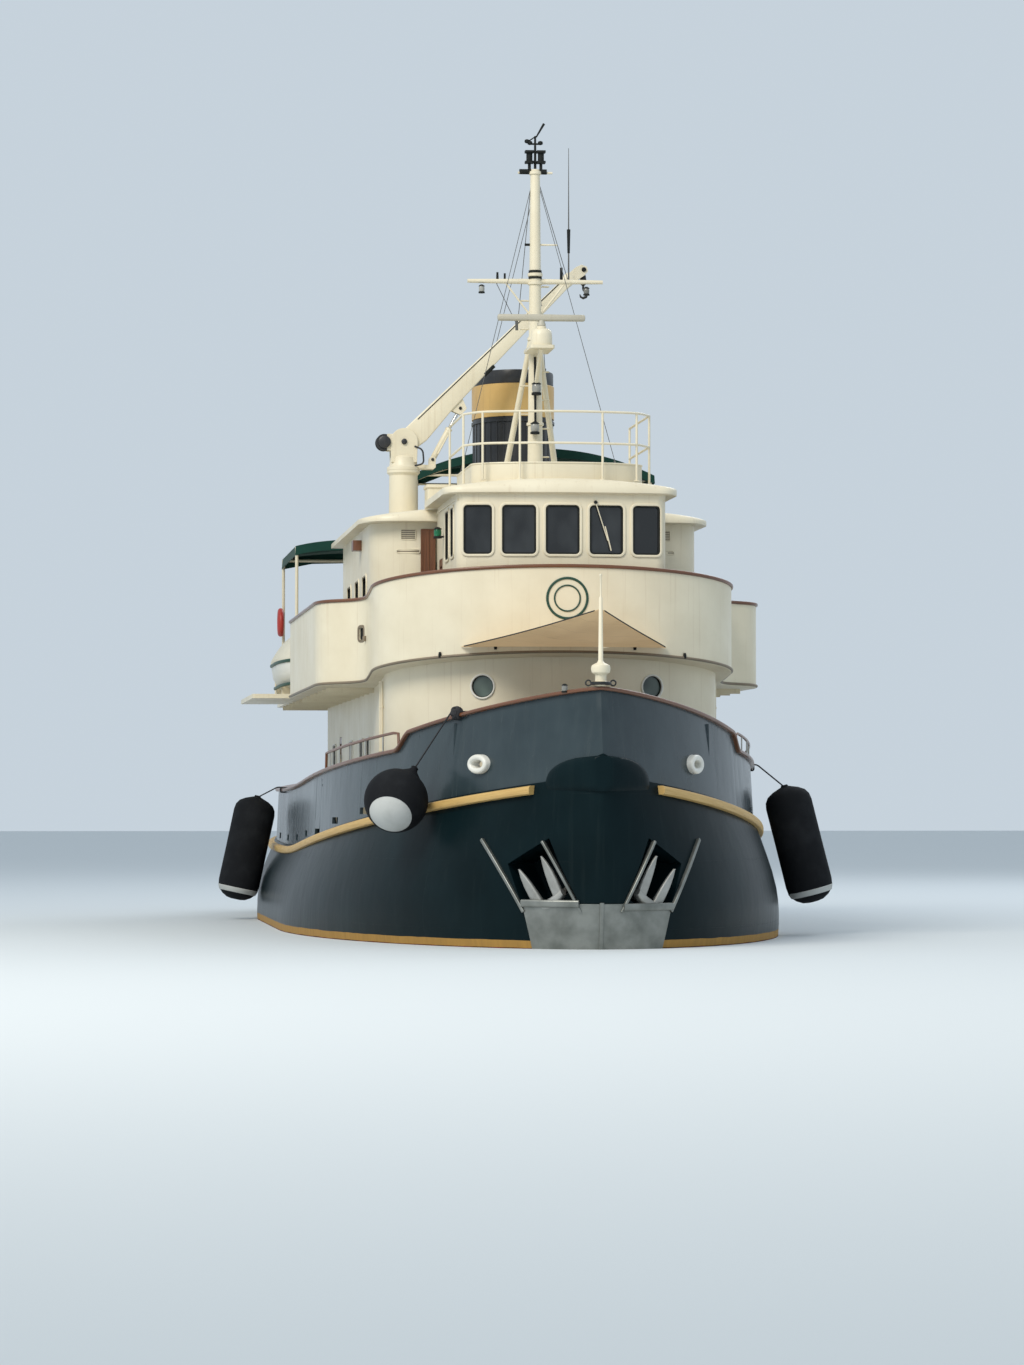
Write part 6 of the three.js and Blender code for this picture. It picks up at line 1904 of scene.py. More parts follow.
# %% Roof awning's frame
ROOF_RING = [(-1.78, 15.76), (-1.78, 18.24), (2.98, 18.24), (2.98, 15.76)]
ROOF_RING_Z, ROOF_TUBE = 9.075, 0.024
HOOP = {"stations": (15.78, 17.0, 18.22), "middle": 0.6, "half": 2.38, "top": 9.60, "drop": 0.54, "power": 2.2}
roof_frame = Form()
roof_frame.tube(bent_loop(ROOF_RING, ROOF_RING_Z, 0.08), ROOF_TUBE, 14)
for x, s in ROOF_RING:
    put_post(roof_frame, x, s, 8.0, ROOF_RING_Z, ROOF_TUBE)
hoop = [(HOOP["middle"] + HOOP["half"] * i / 12, HOOP["top"] - HOOP["drop"] * abs(i / 12) ** HOOP["power"])
        for i in range(-12, 13)]
for s in HOOP["stations"]:
    roof_frame.tube([at(x, s, z) for x, z in hoop], 0.016, 10)
piece(roof_frame, "roof_awning_tubes", CREAM, slot="cream_paint", stands_for=("roof_awning_frame",), angle=60)
print("roof awning's frame made, hoops", len(HOOP["stations"]))

# %% [markdown]
# ## Mast, radar and funnel
#
# The mast is one tapered tube with two raking legs behind it. The crosstree carries small hanging lamps, and
# the head carries the wind instruments. The wires are real lengths of wire with a bottle screw on each.

# %% Bars, collars and lamps
def put_bars(form, rows, sides=20):
    """Rows of start, end, first radius and last radius."""
    for start, end, first, last in rows:
        form.bar(at(*start), at(*end), first, last, sides)
    return form


def put_lamp(case, lens, x, s, z, size=0.05):
    """A ship's lamp about its middle: a base, a drum lens between two plates, and a cap."""
    base = [(size * 1.1, -1.5 * size), (size * 1.1, -size), (size * 0.9, -0.9 * size)]
    cap = [(size * 1.1, 0.9 * size), (size * 1.1, size), (0.4 * size, 1.5 * size)]
    drum = [(size * 0.85, -0.95 * size), (size, -0.4 * size), (size, 0.4 * size), (size * 0.85, 0.95 * size)]
    for form, profile in ((case, base), (case, cap), (lens, drum)):
        form.turned(profile, at(x, s, z), sides=24)


print("bars and lamps ready")

# %% Mast pole
MAST_S, RADAR_S = 10.2, 9.15
COLLARS = [(9.6, 0.145), (11.22, 0.13), (12.28, 0.125), (12.44, 0.125), (14.38, 0.1)]
POLE = [(0.17, 7.95), (0.17, 8.2), (0.15, 8.24)] + [(0.15 - 0.06 * i / 6, 8.3 + 1.03 * i) for i in range(7)]
RADAR_POT = [(0.2, 11.0), (0.205, 11.06), (0.2, 11.22), (0.185, 11.30), (0.15, 11.33), (0.09, 11.34),
             (0.09, 11.385)]
LEGS = [((side * 0.62, 11.25, 7.95), (side * 0.06, 10.26, 11.35), 0.062, 0.05) for side in (1, -1)]
# start, end, first radius, last radius
SPARS = [
    ((-0.2, MAST_S, 12.35), (-1.29, MAST_S, 12.35), 0.052, 0.036),
    ((0.2, MAST_S, 12.35), (1.29, MAST_S, 12.35), 0.052, 0.036),
    ((-0.3, MAST_S, 12.35), (0.3, MAST_S, 12.35), 0.052, 0.052),
    ((0.1, MAST_S, 13.05), (0.42, MAST_S, 13.05), 0.02, 0.014),
    ((-0.33, MAST_S, 14.42), (0.33, MAST_S, 14.42), 0.022, 0.022),
    ((0, MAST_S, 10.23), (0, RADAR_S, 10.98), 0.045, 0.045),
    ((-0.55, MAST_S, 12.3), (-0.09, MAST_S, 11.7), 0.018, 0.018),
    ((0.55, MAST_S, 12.3), (0.09, MAST_S, 11.7), 0.018, 0.018)]
STEPS = [8.75 + 0.27 * i for i in range(14)]
STEP_PLAN = [(0.13, 0.02), (0.27, 0.02), (0.27, 0.14), (0.10, 0.14)]
RADAR_SHELF = (10.9, 11.1)

mast = Form().turned(POLE, at(0, MAST_S, 0), sides=36)
for z, r in COLLARS:
    mast.turned([(r, z), (r + 0.018, z + 0.012), (r + 0.018, z + 0.06), (r, z + 0.07)], at(0, MAST_S, 0), sides=36)
put_bars(mast, LEGS)
put_bars(mast, SPARS)
mast.block(at(-0.23, 8.92, 10.96), at(0.23, 10.12, 11.02), 0.05)
mast.turned(RADAR_POT, at(0, RADAR_S, 0), sides=40)
for i, z in enumerate(STEPS):
    side = 1 if i % 2 else -1
    if not RADAR_SHELF[0] < z < RADAR_SHELF[1]:
        corners = [at(side * x, MAST_S + s, z) for x, s in STEP_PLAN]
        mast.tube(bent(corners, 0.03, 3), 0.010, 8)
piece(mast, "mast_pole", CREAM, slot="cream_paint", stands_for=("mast",), angle=50)
print("mast made, spars", len(SPARS))

# %% Mast head, instruments and lamps
# start, end, first radius, last radius
MAST_IRONS = [
    ((-0.07, MAST_S, 13.05), (-0.20, MAST_S, 13.05), 0.024, 0.024),
    ((-0.3, MAST_S, 14.44), (0.22, MAST_S, 14.44), 0.05, 0.05),
    ((0, MAST_S, 14.5), (0, MAST_S, 15.12), 0.026, 0.020),
    ((0.02, MAST_S, 15.10), (0.17, MAST_S, 15.36), 0.014, 0.024),
    ((0.02, MAST_S, 15.12), (-0.13, MAST_S, 15.02), 0.012, 0.012),
    ((-0.09, MAST_S, 14.97), (0.10, MAST_S, 14.97), 0.018, 0.018),
    ((-0.72, MAST_S, 12.36), (-0.72, MAST_S, 12.52), 0.026, 0.02),
    ((-0.58, MAST_S, 12.36), (-0.58, MAST_S, 12.50), 0.02, 0.02),
    ((0.50, MAST_S, 12.38), (0.50, MAST_S, 12.62), 0.03, 0.026),
    ((0.64, MAST_S, 12.9), (0.64, MAST_S, 13.35), 0.024, 0.034),
    ((0, MAST_S, 12.40), (0, MAST_S, 12.56), 0.128, 0.124),
    ((-0.02, 10.05, 10.9), (-0.02, 9.97, 9.5), 0.022, 0.022)]
CUP = [(0.012, -0.04), (0.042, -0.028), (0.05, 0.0), (0.042, 0.028), (0.012, 0.04)]
CUPS = [(-0.155, 15.02), (0.10, 14.99), (-0.10, 14.99)]
# x, station, height, size
MAST_LAMPS = [(-1.02, MAST_S, 12.20, 0.055), (0.98, MAST_S, 12.18, 0.055), (0.0, 9.98, 10.30, 0.085),
              (-0.03, 9.97, 9.55, 0.08)]

mast_dark, mast_lens = Form(), Form()
put_bars(mast_dark, MAST_IRONS)
for x, z in CUPS:
    mast_dark.turned(CUP, at(x, MAST_S, z), sides=16)
for x in (-0.11, 0.11):
    for z in (14.60, 14.80):
        mast_dark.block(at(x - 0.085, MAST_S - 0.10, z), at(x + 0.085, MAST_S + 0.10, z + 0.04), 0.03)
    mast_dark.bar(at(x, MAST_S, 14.64), at(x, MAST_S, 14.80), 0.06)
    mast_dark.bar(at(x, MAST_S, 14.46), at(x, MAST_S, 14.60), 0.03)
for x, s, z, size in MAST_LAMPS:
    put_lamp(mast_dark, mast_lens, x, s, z, size)
piece(mast_dark, "mast_fittings", GASKET, slot="black_iron", angle=50)
piece(mast_lens, "mast_lamp_lenses", LENS_CLEAR, slot="window_glass", angle=50)
print("mast head made, lamps", len(MAST_LAMPS))

# %% Mast wires and whip
WIRE, SCREW = 0.006, 0.017
WHIP = [(12.36, 0.016), (12.9, 0.014), (13.4, 0.012), (14.0, 0.009), (14.9, 0.005)]
# x and height of each end, in the mast's own plane
SPAR_WIRES = [((-0.75, 12.33), (-0.36, 11.55)), ((-0.08, 14.2), (-0.33, 11.58)), ((0.08, 14.2), (0.62, 12.4))]
ROOF_EYE, RIM_EYE = (1.50, 9.42, 8.60), (0.55, 13.36, 10.96)

antenna = Form().tube([at(0.64, MAST_S, z) for z, r in WHIP], [r for z, r in WHIP], 10)
for start, end in SPAR_WIRES:
    antenna.bar(at(start[0], MAST_S, start[1]), at(end[0], MAST_S, end[1]), 0.007)
for side in (1, -1):
    roof_eye = at(side * ROOF_EYE[0], *ROOF_EYE[1:])
    antenna.bar(at(side * 0.09, MAST_S, 14.1), roof_eye, WIRE)
    antenna.bar(at(side * 1.42, 9.46, 8.9), roof_eye, SCREW)
    antenna.bar(at(0, MAST_S + 0.09, 14.1), at(side * RIM_EYE[0], *RIM_EYE[1:]), WIRE)
    antenna.bar(at(side * 0.55, 13.32, 11.0), at(side * 0.55, 13.41, 10.92), SCREW)
antenna.bar(at(-0.36, MAST_S, 11.7), at(-0.35, MAST_S, 11.42), 0.028)
piece(antenna, "mast_wires", WIRE_ROPE, slot="stainless", angle=50)
print("wires made")

# %% Radar scanner
SCANNER_Z = 11.545
# x, share of the full section
SCANNER_ROWS = [(-0.825, 0.5), (-0.815, 0.85), (-0.79, 1.0), (-0.3, 1.0), (-0.2, 1.04), (0.2, 1.04), (0.3, 1.0),
                (0.79, 1.0), (0.815, 0.85), (0.825, 0.5)]
scanner = Form().turned([(0.08, 11.391), (0.08, 11.43), (0.06, 11.47), (0.06, 11.5)], at(0, RADAR_S, 0),
                        sides=32)
scanner.loft([[at(x, RADAR_S + a * k, SCANNER_Z + b * k) for a, b in rounded(0.13, 0.125, 0.045)]
              for x, k in SCANNER_ROWS])
piece(scanner, "radar_scanner_bar", SCANNER, "radar_body", "cream_paint", stands_for=("radar_scanner",),
      angle=40)
print("radar on", "radar_body")

# %% Funnel
FUNNEL_S, FUNNEL_X, FUNNEL_Y = 14.2, 0.785, 1.13
RIBS = 34
# outward, height
TRUNK = [(0.06, 7.95), (0.06, 8.10), (0.0, 8.14), (0, 9.0), (0, 9.94), (0.035, 9.95), (0.035, 10.0), (0, 10.01),
         (0, 10.72), (0.012, 10.74), (0.012, 10.93), (0.004, 10.965), (-0.02, 10.97), (-0.06, 10.95),
         (-0.07, 10.9), (-0.07, 10.52)]
BAND = [(0.005, 10.052), (0.022, 10.05), (0.028, 10.056), (0.028, 10.694), (0.022, 10.7), (0.005, 10.698)]
# radius, height
EXHAUST = [(0.18, 10.5), (0.18, 11.02), (0.172, 11.03), (0.152, 11.03), (0.15, 11.02), (0.15, 10.72)]


def funnel_rings(rows):
    """Rows of (outward, height) carried round the funnel's oval."""
    return [[at(a, FUNNEL_S + b, z) for a, b in circle(96, FUNNEL_X + out, FUNNEL_Y + out)]
            for out, z in rows]


trunk = Form().loft(funnel_rings(TRUNK))
for side in (1, -1):
    trunk.loft([[at(side * 0.3 + a, FUNNEL_S + b, z) for a, b in circle(32, r)] for r, z in EXHAUST])
for i in range(RIBS):
    turn = 2 * math.pi * (i + 0.5) / RIBS
    spot = Vector(((FUNNEL_X - 0.01) * math.cos(turn), (FUNNEL_Y - 0.01) * math.sin(turn), 0))
    out = Vector((math.cos(turn) / FUNNEL_X, math.sin(turn) / FUNNEL_Y, 0)).normalized()
    rib = [spot + out * b + Vector((-out.y, out.x, 0)) * a for a, b in rounded(0.03, 0.045, 0.012, 3)]
    trunk.loft([[at(p.x, FUNNEL_S + p.y, z) for p in rib] for z in (8.12, 9.945)])
piece(trunk, "funnel_trunk", FUNNEL_BLACK, slot="funnel_black", stands_for=("funnel",), angle=40)
piece(Form().loft(funnel_rings(BAND)), "funnel_gold_band", FUNNEL_GOLD, slot="funnel_gold",
      stands_for=("funnel_band",), angle=40)
print("funnel made, ribs", RIBS)

# %% [markdown]
# ## Crane
#
# The crane has a slewing column, a box jib held up by one hydraulic cylinder, and a hook block on its pin.
# Column and jib meet in one thick gooseneck, so the head is drawn as two round cheeks with the jib's deep root
# between them. Each part rides on its own body: the jib lifts between the cheeks and never touches them.

# %% The crane's own axes
LUFF = math.radians(44.7)
LUFF_Z = 9.45
ATHWART = (0, 1, 0)
FOOT_PIN = (-1.77, 9.115)


def on_jib(along, up, side=0.0):
    """A point by its distance along the jib and above it, from the pin that the jib lifts about."""
    return at(CRANE_X + along * math.cos(LUFF) - up * math.sin(LUFF), CRANE_S + side,
              LUFF_Z + along * math.sin(LUFF) + up * math.cos(LUFF))


def plates(form, outline, *spans):
    """Upright plates of one outline of (x, z), each between two distances athwart the crane's middle."""
    for low, high in spans:
        form.loft([[at(x, CRANE_S + d, z) for x, z in outline] for d in (low, high)])
    return form


def arch(x, z, radius, step):
    """The round top of a plate, from right to left."""
    return [(x + radius * math.cos(math.radians(a)), z + radius * math.sin(math.radians(a)))
            for a in range(0, 181, step)]


print("crane axes ready, jib at", round(math.degrees(LUFF), 1), "degrees")

# %% Crane column
COLUMN = [(0.32, 8.9005), (0.32, 8.965), (0.29, 8.975), (0.272, 9.0), (0.255, 9.15), (0.20, 9.19)]
CHEEK = [(CRANE_X - 0.25, 9.05), (CRANE_X + 0.25, 9.05)] + arch(CRANE_X, LUFF_Z, 0.265, 12)
SHELF = [(CRANE_X + 0.1, 8.925), (-1.75, 8.925), (-1.71, 8.96), (-1.71, 9.005), (CRANE_X + 0.1, 9.02)]
EAR = [(-1.84, 8.97), (-1.71, 8.97)] + arch(*FOOT_PIN, 0.065, 20)
WINCH_ARM = [(-2.66, 9.28), (-2.5, 9.28), (-2.5, 9.60), (-2.66, 9.60)]

column = Form().turned(COLUMN, at(CRANE_X, CRANE_S, 0), sides=48)
plates(column, CHEEK, (0.1305, 0.19), (-0.19, -0.1305))
plates(column, SHELF, (-0.13, 0.13))
plates(column, EAR, (0.065, 0.095), (-0.095, -0.065))
plates(column, WINCH_ARM, (0.15, 0.18), (-0.18, -0.15))
piece(column, "crane_column_head", CREAM, "crane_slewing", "cream_paint", 0.008, stands_for=("crane_column",))
print("crane column made")

# %% Winch, pins and wire
WINCH = (CRANE_X - 0.38, 9.44)
DRUM_CHEEK = [(0.155, -0.014), (0.16, -0.008), (0.16, 0.008), (0.155, 0.014)]
WINCH_BODY = [(0.10, -0.24), (0.12, -0.23), (0.12, -0.18), (0.07, -0.17), (0.07, 0.17)]
COIL_RADIUS, COIL_STEPS = 0.085, 200
hose = [at(CRANE_X + 0.2, CRANE_S - 0.22, 8.98), at(CRANE_X + 0.38, CRANE_S - 0.22, 9.02),
        at(CRANE_X + 0.36, CRANE_S - 0.21, 9.30), at(CRANE_X + 0.2, CRANE_S - 0.20, 9.36)]

winch = Form()
for offset in (-0.135, 0.135):
    winch.turned(DRUM_CHEEK, at(WINCH[0], CRANE_S + offset, WINCH[1]), ATHWART, 36)
winch.turned(WINCH_BODY, at(WINCH[0], CRANE_S, WINCH[1]), ATHWART, 28)
for side in (1, -1):
    winch.turned([(0.055, 0.0), (0.055, 0.035), (0.03, 0.045)], at(CRANE_X, CRANE_S + side * 0.19, LUFF_Z),
                 (0, side, 0), 24)
    winch.turned([(0.03, 0.0), (0.03, 0.02), (0.015, 0.026)],
                 at(FOOT_PIN[0], CRANE_S + side * 0.095, FOOT_PIN[1]), (0, side, 0), 18)
winch.tube(bent(hose, 0.08), 0.017, 10)
piece(winch, "crane_winch_and_pins", FUNNEL_BLACK, "crane_slewing", "funnel_black", angle=40)
coil = [at(WINCH[0] + COIL_RADIUS * math.cos(t * 0.5), CRANE_S - 0.11 + 0.22 * t / COIL_STEPS,
           WINCH[1] + COIL_RADIUS * math.sin(t * 0.5)) for t in range(COIL_STEPS + 1)]
piece(Form().tube(coil, 0.009, 8), "winch_wire", WIRE_ROPE, "crane_slewing", "stainless", angle=60)
print("winch made")

# %% Crane jib
# along, underside, top, half width
JIB_ROWS = [(-0.155, -0.09, 0.09, 0.11), (-0.12, -0.16, 0.14, 0.127), (0.1, -0.255, 0.17, 0.128),
            (0.35, -0.288, 0.17, 0.128), (0.7, -0.255, 0.163, 0.128), (1.1, -0.215, 0.155, 0.128),
            (2.6, -0.155, 0.128, 0.127), (4.62, -0.095, 0.095, 0.125)]
# along, half height, half width
CAP_ROWS = [(4.40, 0.118, 0.128), (4.55, 0.126, 0.132), (4.60, 0.122, 0.13), (4.65, 0.09, 0.11)]
LUG = [(1.05, -0.1), (1.16, -0.39), (1.21, -0.40), (1.29, -0.40), (1.34, -0.39), (1.45, -0.1)]
HORN = [(4.50, -0.09), (4.56, 0.095), (4.80, 0.085), (4.92, 0.04), (4.965, -0.06), (4.92, -0.14),
        (4.81, -0.15)]
LUG_PIN, HOOK_PIN = (1.25, -0.3), (4.88, -0.06)

jib = Form()
jib.loft([[on_jib(along, (low + high) / 2 + b, a) for a, b in rounded(2 * wide, high - low, 0.022, 3)]
          for along, low, high, wide in JIB_ROWS])
for outline, inside, outside in ((LUG, 0.062, 0.092), (HORN, 0.07, 0.11)):
    for span in ((-outside, -inside), (inside, outside)):
        jib.loft([[on_jib(along, up, d) for along, up in outline] for d in span])
jib.loft([[on_jib(along, 0.01 + b, a) for a, b in rounded(2 * wide, 2 * high, min(wide, high) * 0.7)]
          for along, high, wide in CAP_ROWS])
piece(jib, "crane_box_jib", CREAM, "crane_jib_body", "cream_paint", 0.006, stands_for=("crane_jib",), angle=40)

jib_dark = Form()
# A dark block on the jib's underside, 2.05 to 2.3 m out from its pin.
jib_dark.loft([[on_jib(along, b - 0.17, a) for a, b in rounded(0.275, 0.08, 0.03, 3)]
               for along in (2.05, 2.3)])
for d in (-0.112, 0.112):
    jib_dark.turned([(0.03, 0), (0.03, 0.02), (0.015, 0.026)], on_jib(*LUG_PIN, 0.82 * d), (0, d, 0), 18)
    jib_dark.turned([(0.045, 0), (0.045, 0.02), (0.02, 0.03)], on_jib(*HOOK_PIN, d), (0, d, 0), 22)
jib_dark.tube([on_jib(along, 0.128 - 0.011 * along, -0.13) for along in (0.5, 1.5, 2.5, 3.5, 4.4)], 0.009, 8)
piece(jib_dark, "jib_dark_block_and_pins", GASKET, "crane_jib_body", "fender_rubber", angle=50)
print("jib made")

# %% Hydraulic cylinder
BARREL_SHARE = 0.62
EYE = [(0.045, -0.0645), (0.058, -0.06), (0.058, 0.06), (0.045, 0.0645)]
ROD_EYE = [(0.045, -0.055), (0.058, -0.05), (0.058, 0.05), (0.045, 0.055)]
lug_point, foot_point = on_jib(*LUG_PIN), at(FOOT_PIN[0], CRANE_S, FOOT_PIN[1])
stroke = (lug_point - foot_point).normalized()
run = (lug_point - foot_point).length
barrel_end = BARREL_SHARE * run
barrel = Form().turned([(0.05, 0.03), (0.058, 0.05), (0.058, barrel_end - 0.06), (0.066, barrel_end - 0.055),
                        (0.066, barrel_end - 0.01), (0.036, barrel_end)], foot_point, stroke, 36)
barrel.turned(EYE, foot_point, ATHWART, 32)
barrel.tube([foot_point + stroke * d + Vector((0.045, -0.05, 0)) for d in (0.12, 0.3, 0.55)], 0.012, 8)
piece(barrel, "crane_cylinder_barrel", CREAM, "crane_barrel_body", "funnel_black", stands_for=("crane_barrel",),
      angle=40)
rod = Form().turned([(0.02, barrel_end - 0.3), (0.032, barrel_end - 0.29), (0.032, run - 0.07),
                     (0.042, run - 0.06), (0.042, run - 0.03)], foot_point, stroke, 32)
rod.turned(ROD_EYE, lug_point, ATHWART, 32)
piece(rod, "crane_cylinder_rod", CHROME, "crane_rod_body", "hydraulic_rod", stands_for=("crane_rod",),
      angle=40)
print("cylinder made, from pin to pin", round(run, 3), "m")

# %% Hook block
SHEAVE = [(0.055, -0.069), (0.074, -0.062), (0.074, -0.04), (0.05, -0.02), (0.05, 0.02), (0.074, 0.04),
          (0.074, 0.062), (0.055, 0.069)]
SHANK = [(0.03, -0.30), (0.05, -0.28), (0.064, -0.2), (0.055, -0.12), (0.03, -0.06)]
# x, height under the pin, radius
HOOK = [(0, -0.28, 0.022), (0, -0.36, 0.022), (0.01, -0.39, 0.024), (0.05, -0.42, 0.027), (0.07, -0.47, 0.029),
        (0.055, -0.52, 0.029), (0, -0.545, 0.026), (-0.05, -0.52, 0.02), (-0.065, -0.47, 0.01)]
pin = on_jib(*HOOK_PIN)
hook = Form().turned(SHEAVE, pin, ATHWART, 36)
hook.turned(SHANK, pin, (0, 0, 1), 28)
hook.tube([pin + Vector((x, 0, z)) for x, z, r in HOOK], [r for x, z, r in HOOK], 12)
piece(hook, "crane_hook_block", BLACK_IRON, "crane_hook", "black_iron", stands_for=("hook_block",), angle=40)
print("hook made")

# %% [markdown]
# ## Doors
#
# Each side door is a varnished teak frame with two sunk panels and a small window. It turns on two hinges at
# its forward edge, so the leaf's knuckles belong to the door and the wall keeps its own.

# %% A door's leaf
STILE, LEAF_THICK = 0.1, 0.05
# foot and head of each rail, above the leaf's foot
LEAF_RAILS = [(0.001, 0.2), (0.62, 0.74), (1.12, 1.24)]
PANEL_FEET, PANEL_TALL = (0.24, 0.78), 0.30


def door_leaf(side, wall, s0, s1, z0, z1):
    """Stiles and rails round a sunk panel below and a window above. The rails lie 2 mm behind the stiles."""
    low, high = sorted((side * (wall - LEAF_THICK), side * wall))
    sunk = sorted((side * (wall - 0.036), side * (wall - 0.014)))
    form = Form()
    for a, b in ((s0, s0 + STILE), (s1 - STILE, s1)):
        form.block(at(low, a, z0), at(high, b, z1))
    for c, d in [(z0 + a, z0 + b) for a, b in LEAF_RAILS] + [(z1 - 0.13, z1 - 0.001)]:
        form.block(at(low + 0.002, s0 + 0.09, c), at(high - 0.002, s1 - 0.09, d))
    form.block(at(sunk[0], s0 + 0.05, z0 + 0.1), at(sunk[1], s1 - 0.05, z0 + 1.2))
    for z in PANEL_FEET:
        form.block(at(low + 0.012, s0 + 0.135, z0 + z), at(high - 0.012, s1 - 0.135, z0 + z + PANEL_TALL))
    return form


print("door leaf ready")

# %% Doors
# name, wall, forward edge, aft edge, foot, head, hinge heights
DOORS = [("wheelhouse_door_", 1.90, 8.65, 9.35, 5.0, 7.0, WHEEL_HINGES),
         ("deckhouse_door_", 3.05, 19.3, 19.95, 1.9, 3.85, HOUSE_HINGES)]
KNOB = [(0.03, 0), (0.03, 0.006), (0.010, 0.012), (0.010, 0.045)]
for stem, wall, s0, s1, z0, z1, hinges in DOORS:
    for side, word in ((1, "port"), (-1, "starboard")):
        name = stem + word
        body = name + "_body"
        leaf = door_leaf(side, wall, s0 + 0.008, s1 - 0.014, z0 + 0.008, z1 - 0.008)
        piece(leaf, name + "_leaf", TEAK_PANEL, body, "teak", 0.004, stands_for=(name,))
        fittings = Form()
        for z in hinges:
            hinge_pair(fittings, side, wall + 0.034, s0 - 0.014, wall - 0.02, z, True)
        knob = at(side * wall, s1 - 0.06, z0 + 1.05)
        fittings.turned(KNOB, knob, (side, 0, 0), 20)
        lever = [knob + Vector((side * 0.042, d, 0)) for d in (0.01, -0.05, -0.10)]
        fittings.tube(lever, [0.010, 0.009, 0.007], 10)
        piece(fittings, name + "_fittings", STAINLESS, body, "stainless", angle=50)
        glass = Form().block(at(side * (wall - 0.029), s0 + 0.09, z0 + 1.22),
                             at(side * (wall - 0.021), s1 - 0.09, z1 - 0.12))
        piece(glass, name + "_glass", WINDOW_GLASS, body, "window_glass")
print("doors", len(DOORS) * 2)

# %% [markdown]
# ## Fittings on the houses
#
# Small things give the houses their scale: a wiper, vents, downpipes, lamps under the deck's edge, the lights
# that a boat shows at night, and a lifebuoy. They sit on the wall that carries them.

# %% Wiper, vents and posts
WIPER_ROOT, WIPER_TIP = 7.84, 7.16
# height, width, how tall
VENTS = [(7.52, 0.26, 0.18), (7.20, 0.42, 0.05), (6.5, 0.30, 0.04)]
VENT_X, POST_X, BOX_X = 2.42, 2.06, 3.2

dark, bright, teak, grille = Form(), Form(), Form(), Form()
mark = WHEEL.find(x=0.79)
foot, head = WHEEL.at(mark - 0.2, 0.035)[0], WHEEL.at(mark + 0.02, 0.03)[0]
bright.bar(at(foot.x, foot.y, WIPER_ROOT), at(head.x, head.y, WIPER_TIP), 0.009)
bright.bar(at(head.x - 0.05, head.y - 0.004, 7.42), at(head.x + 0.06, head.y - 0.004, 6.98), 0.012)
dark.turned([(0.035, 0), (0.03, 0.05)], at(foot.x, foot.y + 0.03, WIPER_ROOT + 0.01), (0, -1, 0), 16)
for side in (1, -1):
    face = CABIN.find(x=side * VENT_X)
    for z, wide, tall in VENTS:
        frame_ring(bright, CABIN, face, z, rounded(wide, tall, 0.02, 3),
                   [(a + 0.01, b) for a, b in GASKET_LIP])
        slats = [0.035 * (i - 2) for i in range(5)] if tall > 0.1 else [0]
        for rise in slats:
            pane(grille, CABIN, face, z + rise, rounded(wide, 0.018, 0.006, 2), 0.012, 0.02)
    teak.block(at(side * POST_X - 0.13, 9.93, 5.3), at(side * POST_X + 0.13, 9.965, 7.62))
    for d in (-0.12, 0.0, 0.12):
        teak.block(at(side * POST_X + d - 0.02, 9.91, 5.31), at(side * POST_X + d + 0.02, 9.94, 7.61))
    teak.block(at(side * BOX_X - 0.09, 12.6, 7.36), at(side * BOX_X + 0.09, 13.0, 7.56), 0.02)
print("vents", 2 * len(VENTS))

# %% Deck lamps, downpipes and pegs
# station, distance from the middle
DECK_LAMPS = [(7.0, 2.45), (8.6, 3.0), (15.0, 3.0)]
LAMP_DISH = [(0.09, 0.02), (0.09, -0.02), (0.075, -0.05), (0.04, -0.07)]
PIPE_STATIONS, PIPE_CLIPS = (7.9, 8.25), (2.6, 3.4, 4.2)
# distance from the middle, height
PEGS = [(1.24, 5.235), (2.2, 5.1)]

for side in (1, -1):
    for s, x in DECK_LAMPS:
        bright.turned(LAMP_DISH, at(side * x, s, boat_deck_under(s)), sides=24)
    for s in PIPE_STATIONS:
        point = HOUSE.at(HOUSE.find(station=s, side=side), 0.035)[0]
        bright.bar(at(point.x, point.y, sheer(8) + 0.05), at(point.x, point.y, 4.68), 0.024)
        for z in PIPE_CLIPS:
            bright.turned([(0.034, 0), (0.034, 0.03)], at(point.x, point.y, z), sides=16)
    for x, z in PEGS:
        point = BRIDGE.at(BRIDGE.find(x=side * x), 0.02)[0]
        dark.turned([(0.025, -0.05), (0.03, 0), (0.02, 0.05)], at(point.x, point.y, z), sides=14)
piece(bright, "house_vents_and_pipes", CREAM, slot="cream_paint", bevel=0.003, angle=50)
print("downpipes", 2 * len(PIPE_STATIONS))

# %% Fixed double door and ports aft
AFT_SILL = sheer(24) + 0.22
# nearest and farthest distance from the middle, foot and head above the sill
AFT_LEAF = [(0.012, 0.10, 0, 1.82), (0.55, 0.62, 0, 1.82), (0.09, 0.56, 0.001, 0.2), (0.09, 0.56, 0.95, 1.06),
            (0.09, 0.56, 1.72, 1.819)]
aft_glass = Form()
for side in (1, -1):
    for x0, x1, low, high in AFT_LEAF:
        a, b = sorted((side * x0, side * x1))
        teak.block(at(a, 23.99, AFT_SILL + low), at(b, 24.034, AFT_SILL + high))
    a, b = sorted((side * 0.05, side * 0.59))
    teak.block(at(a, 23.985, AFT_SILL + 0.1), at(b, 24.018, AFT_SILL + 1.0))
    aft_glass.block(at(a, 23.985, AFT_SILL + 1.02), at(b, 24.014, AFT_SILL + 1.75))
    aft_glass.turned([(0.17, -0.01), (0.17, 0.02)], at(side * 1.75, 23.99, AFT_SILL + 1.25), (0, 1, 0), 32)
piece(aft_glass, "deckhouse_aft_panes", WINDOW_GLASS, slot="window_glass")
piece(grille, "cabin_vent_slats", TAUPE, slot="cream_paint", angle=50)
piece(teak, "cabin_teak_posts", TEAK_PANEL, slot="teak", bevel=0.005)
print("aft door made")

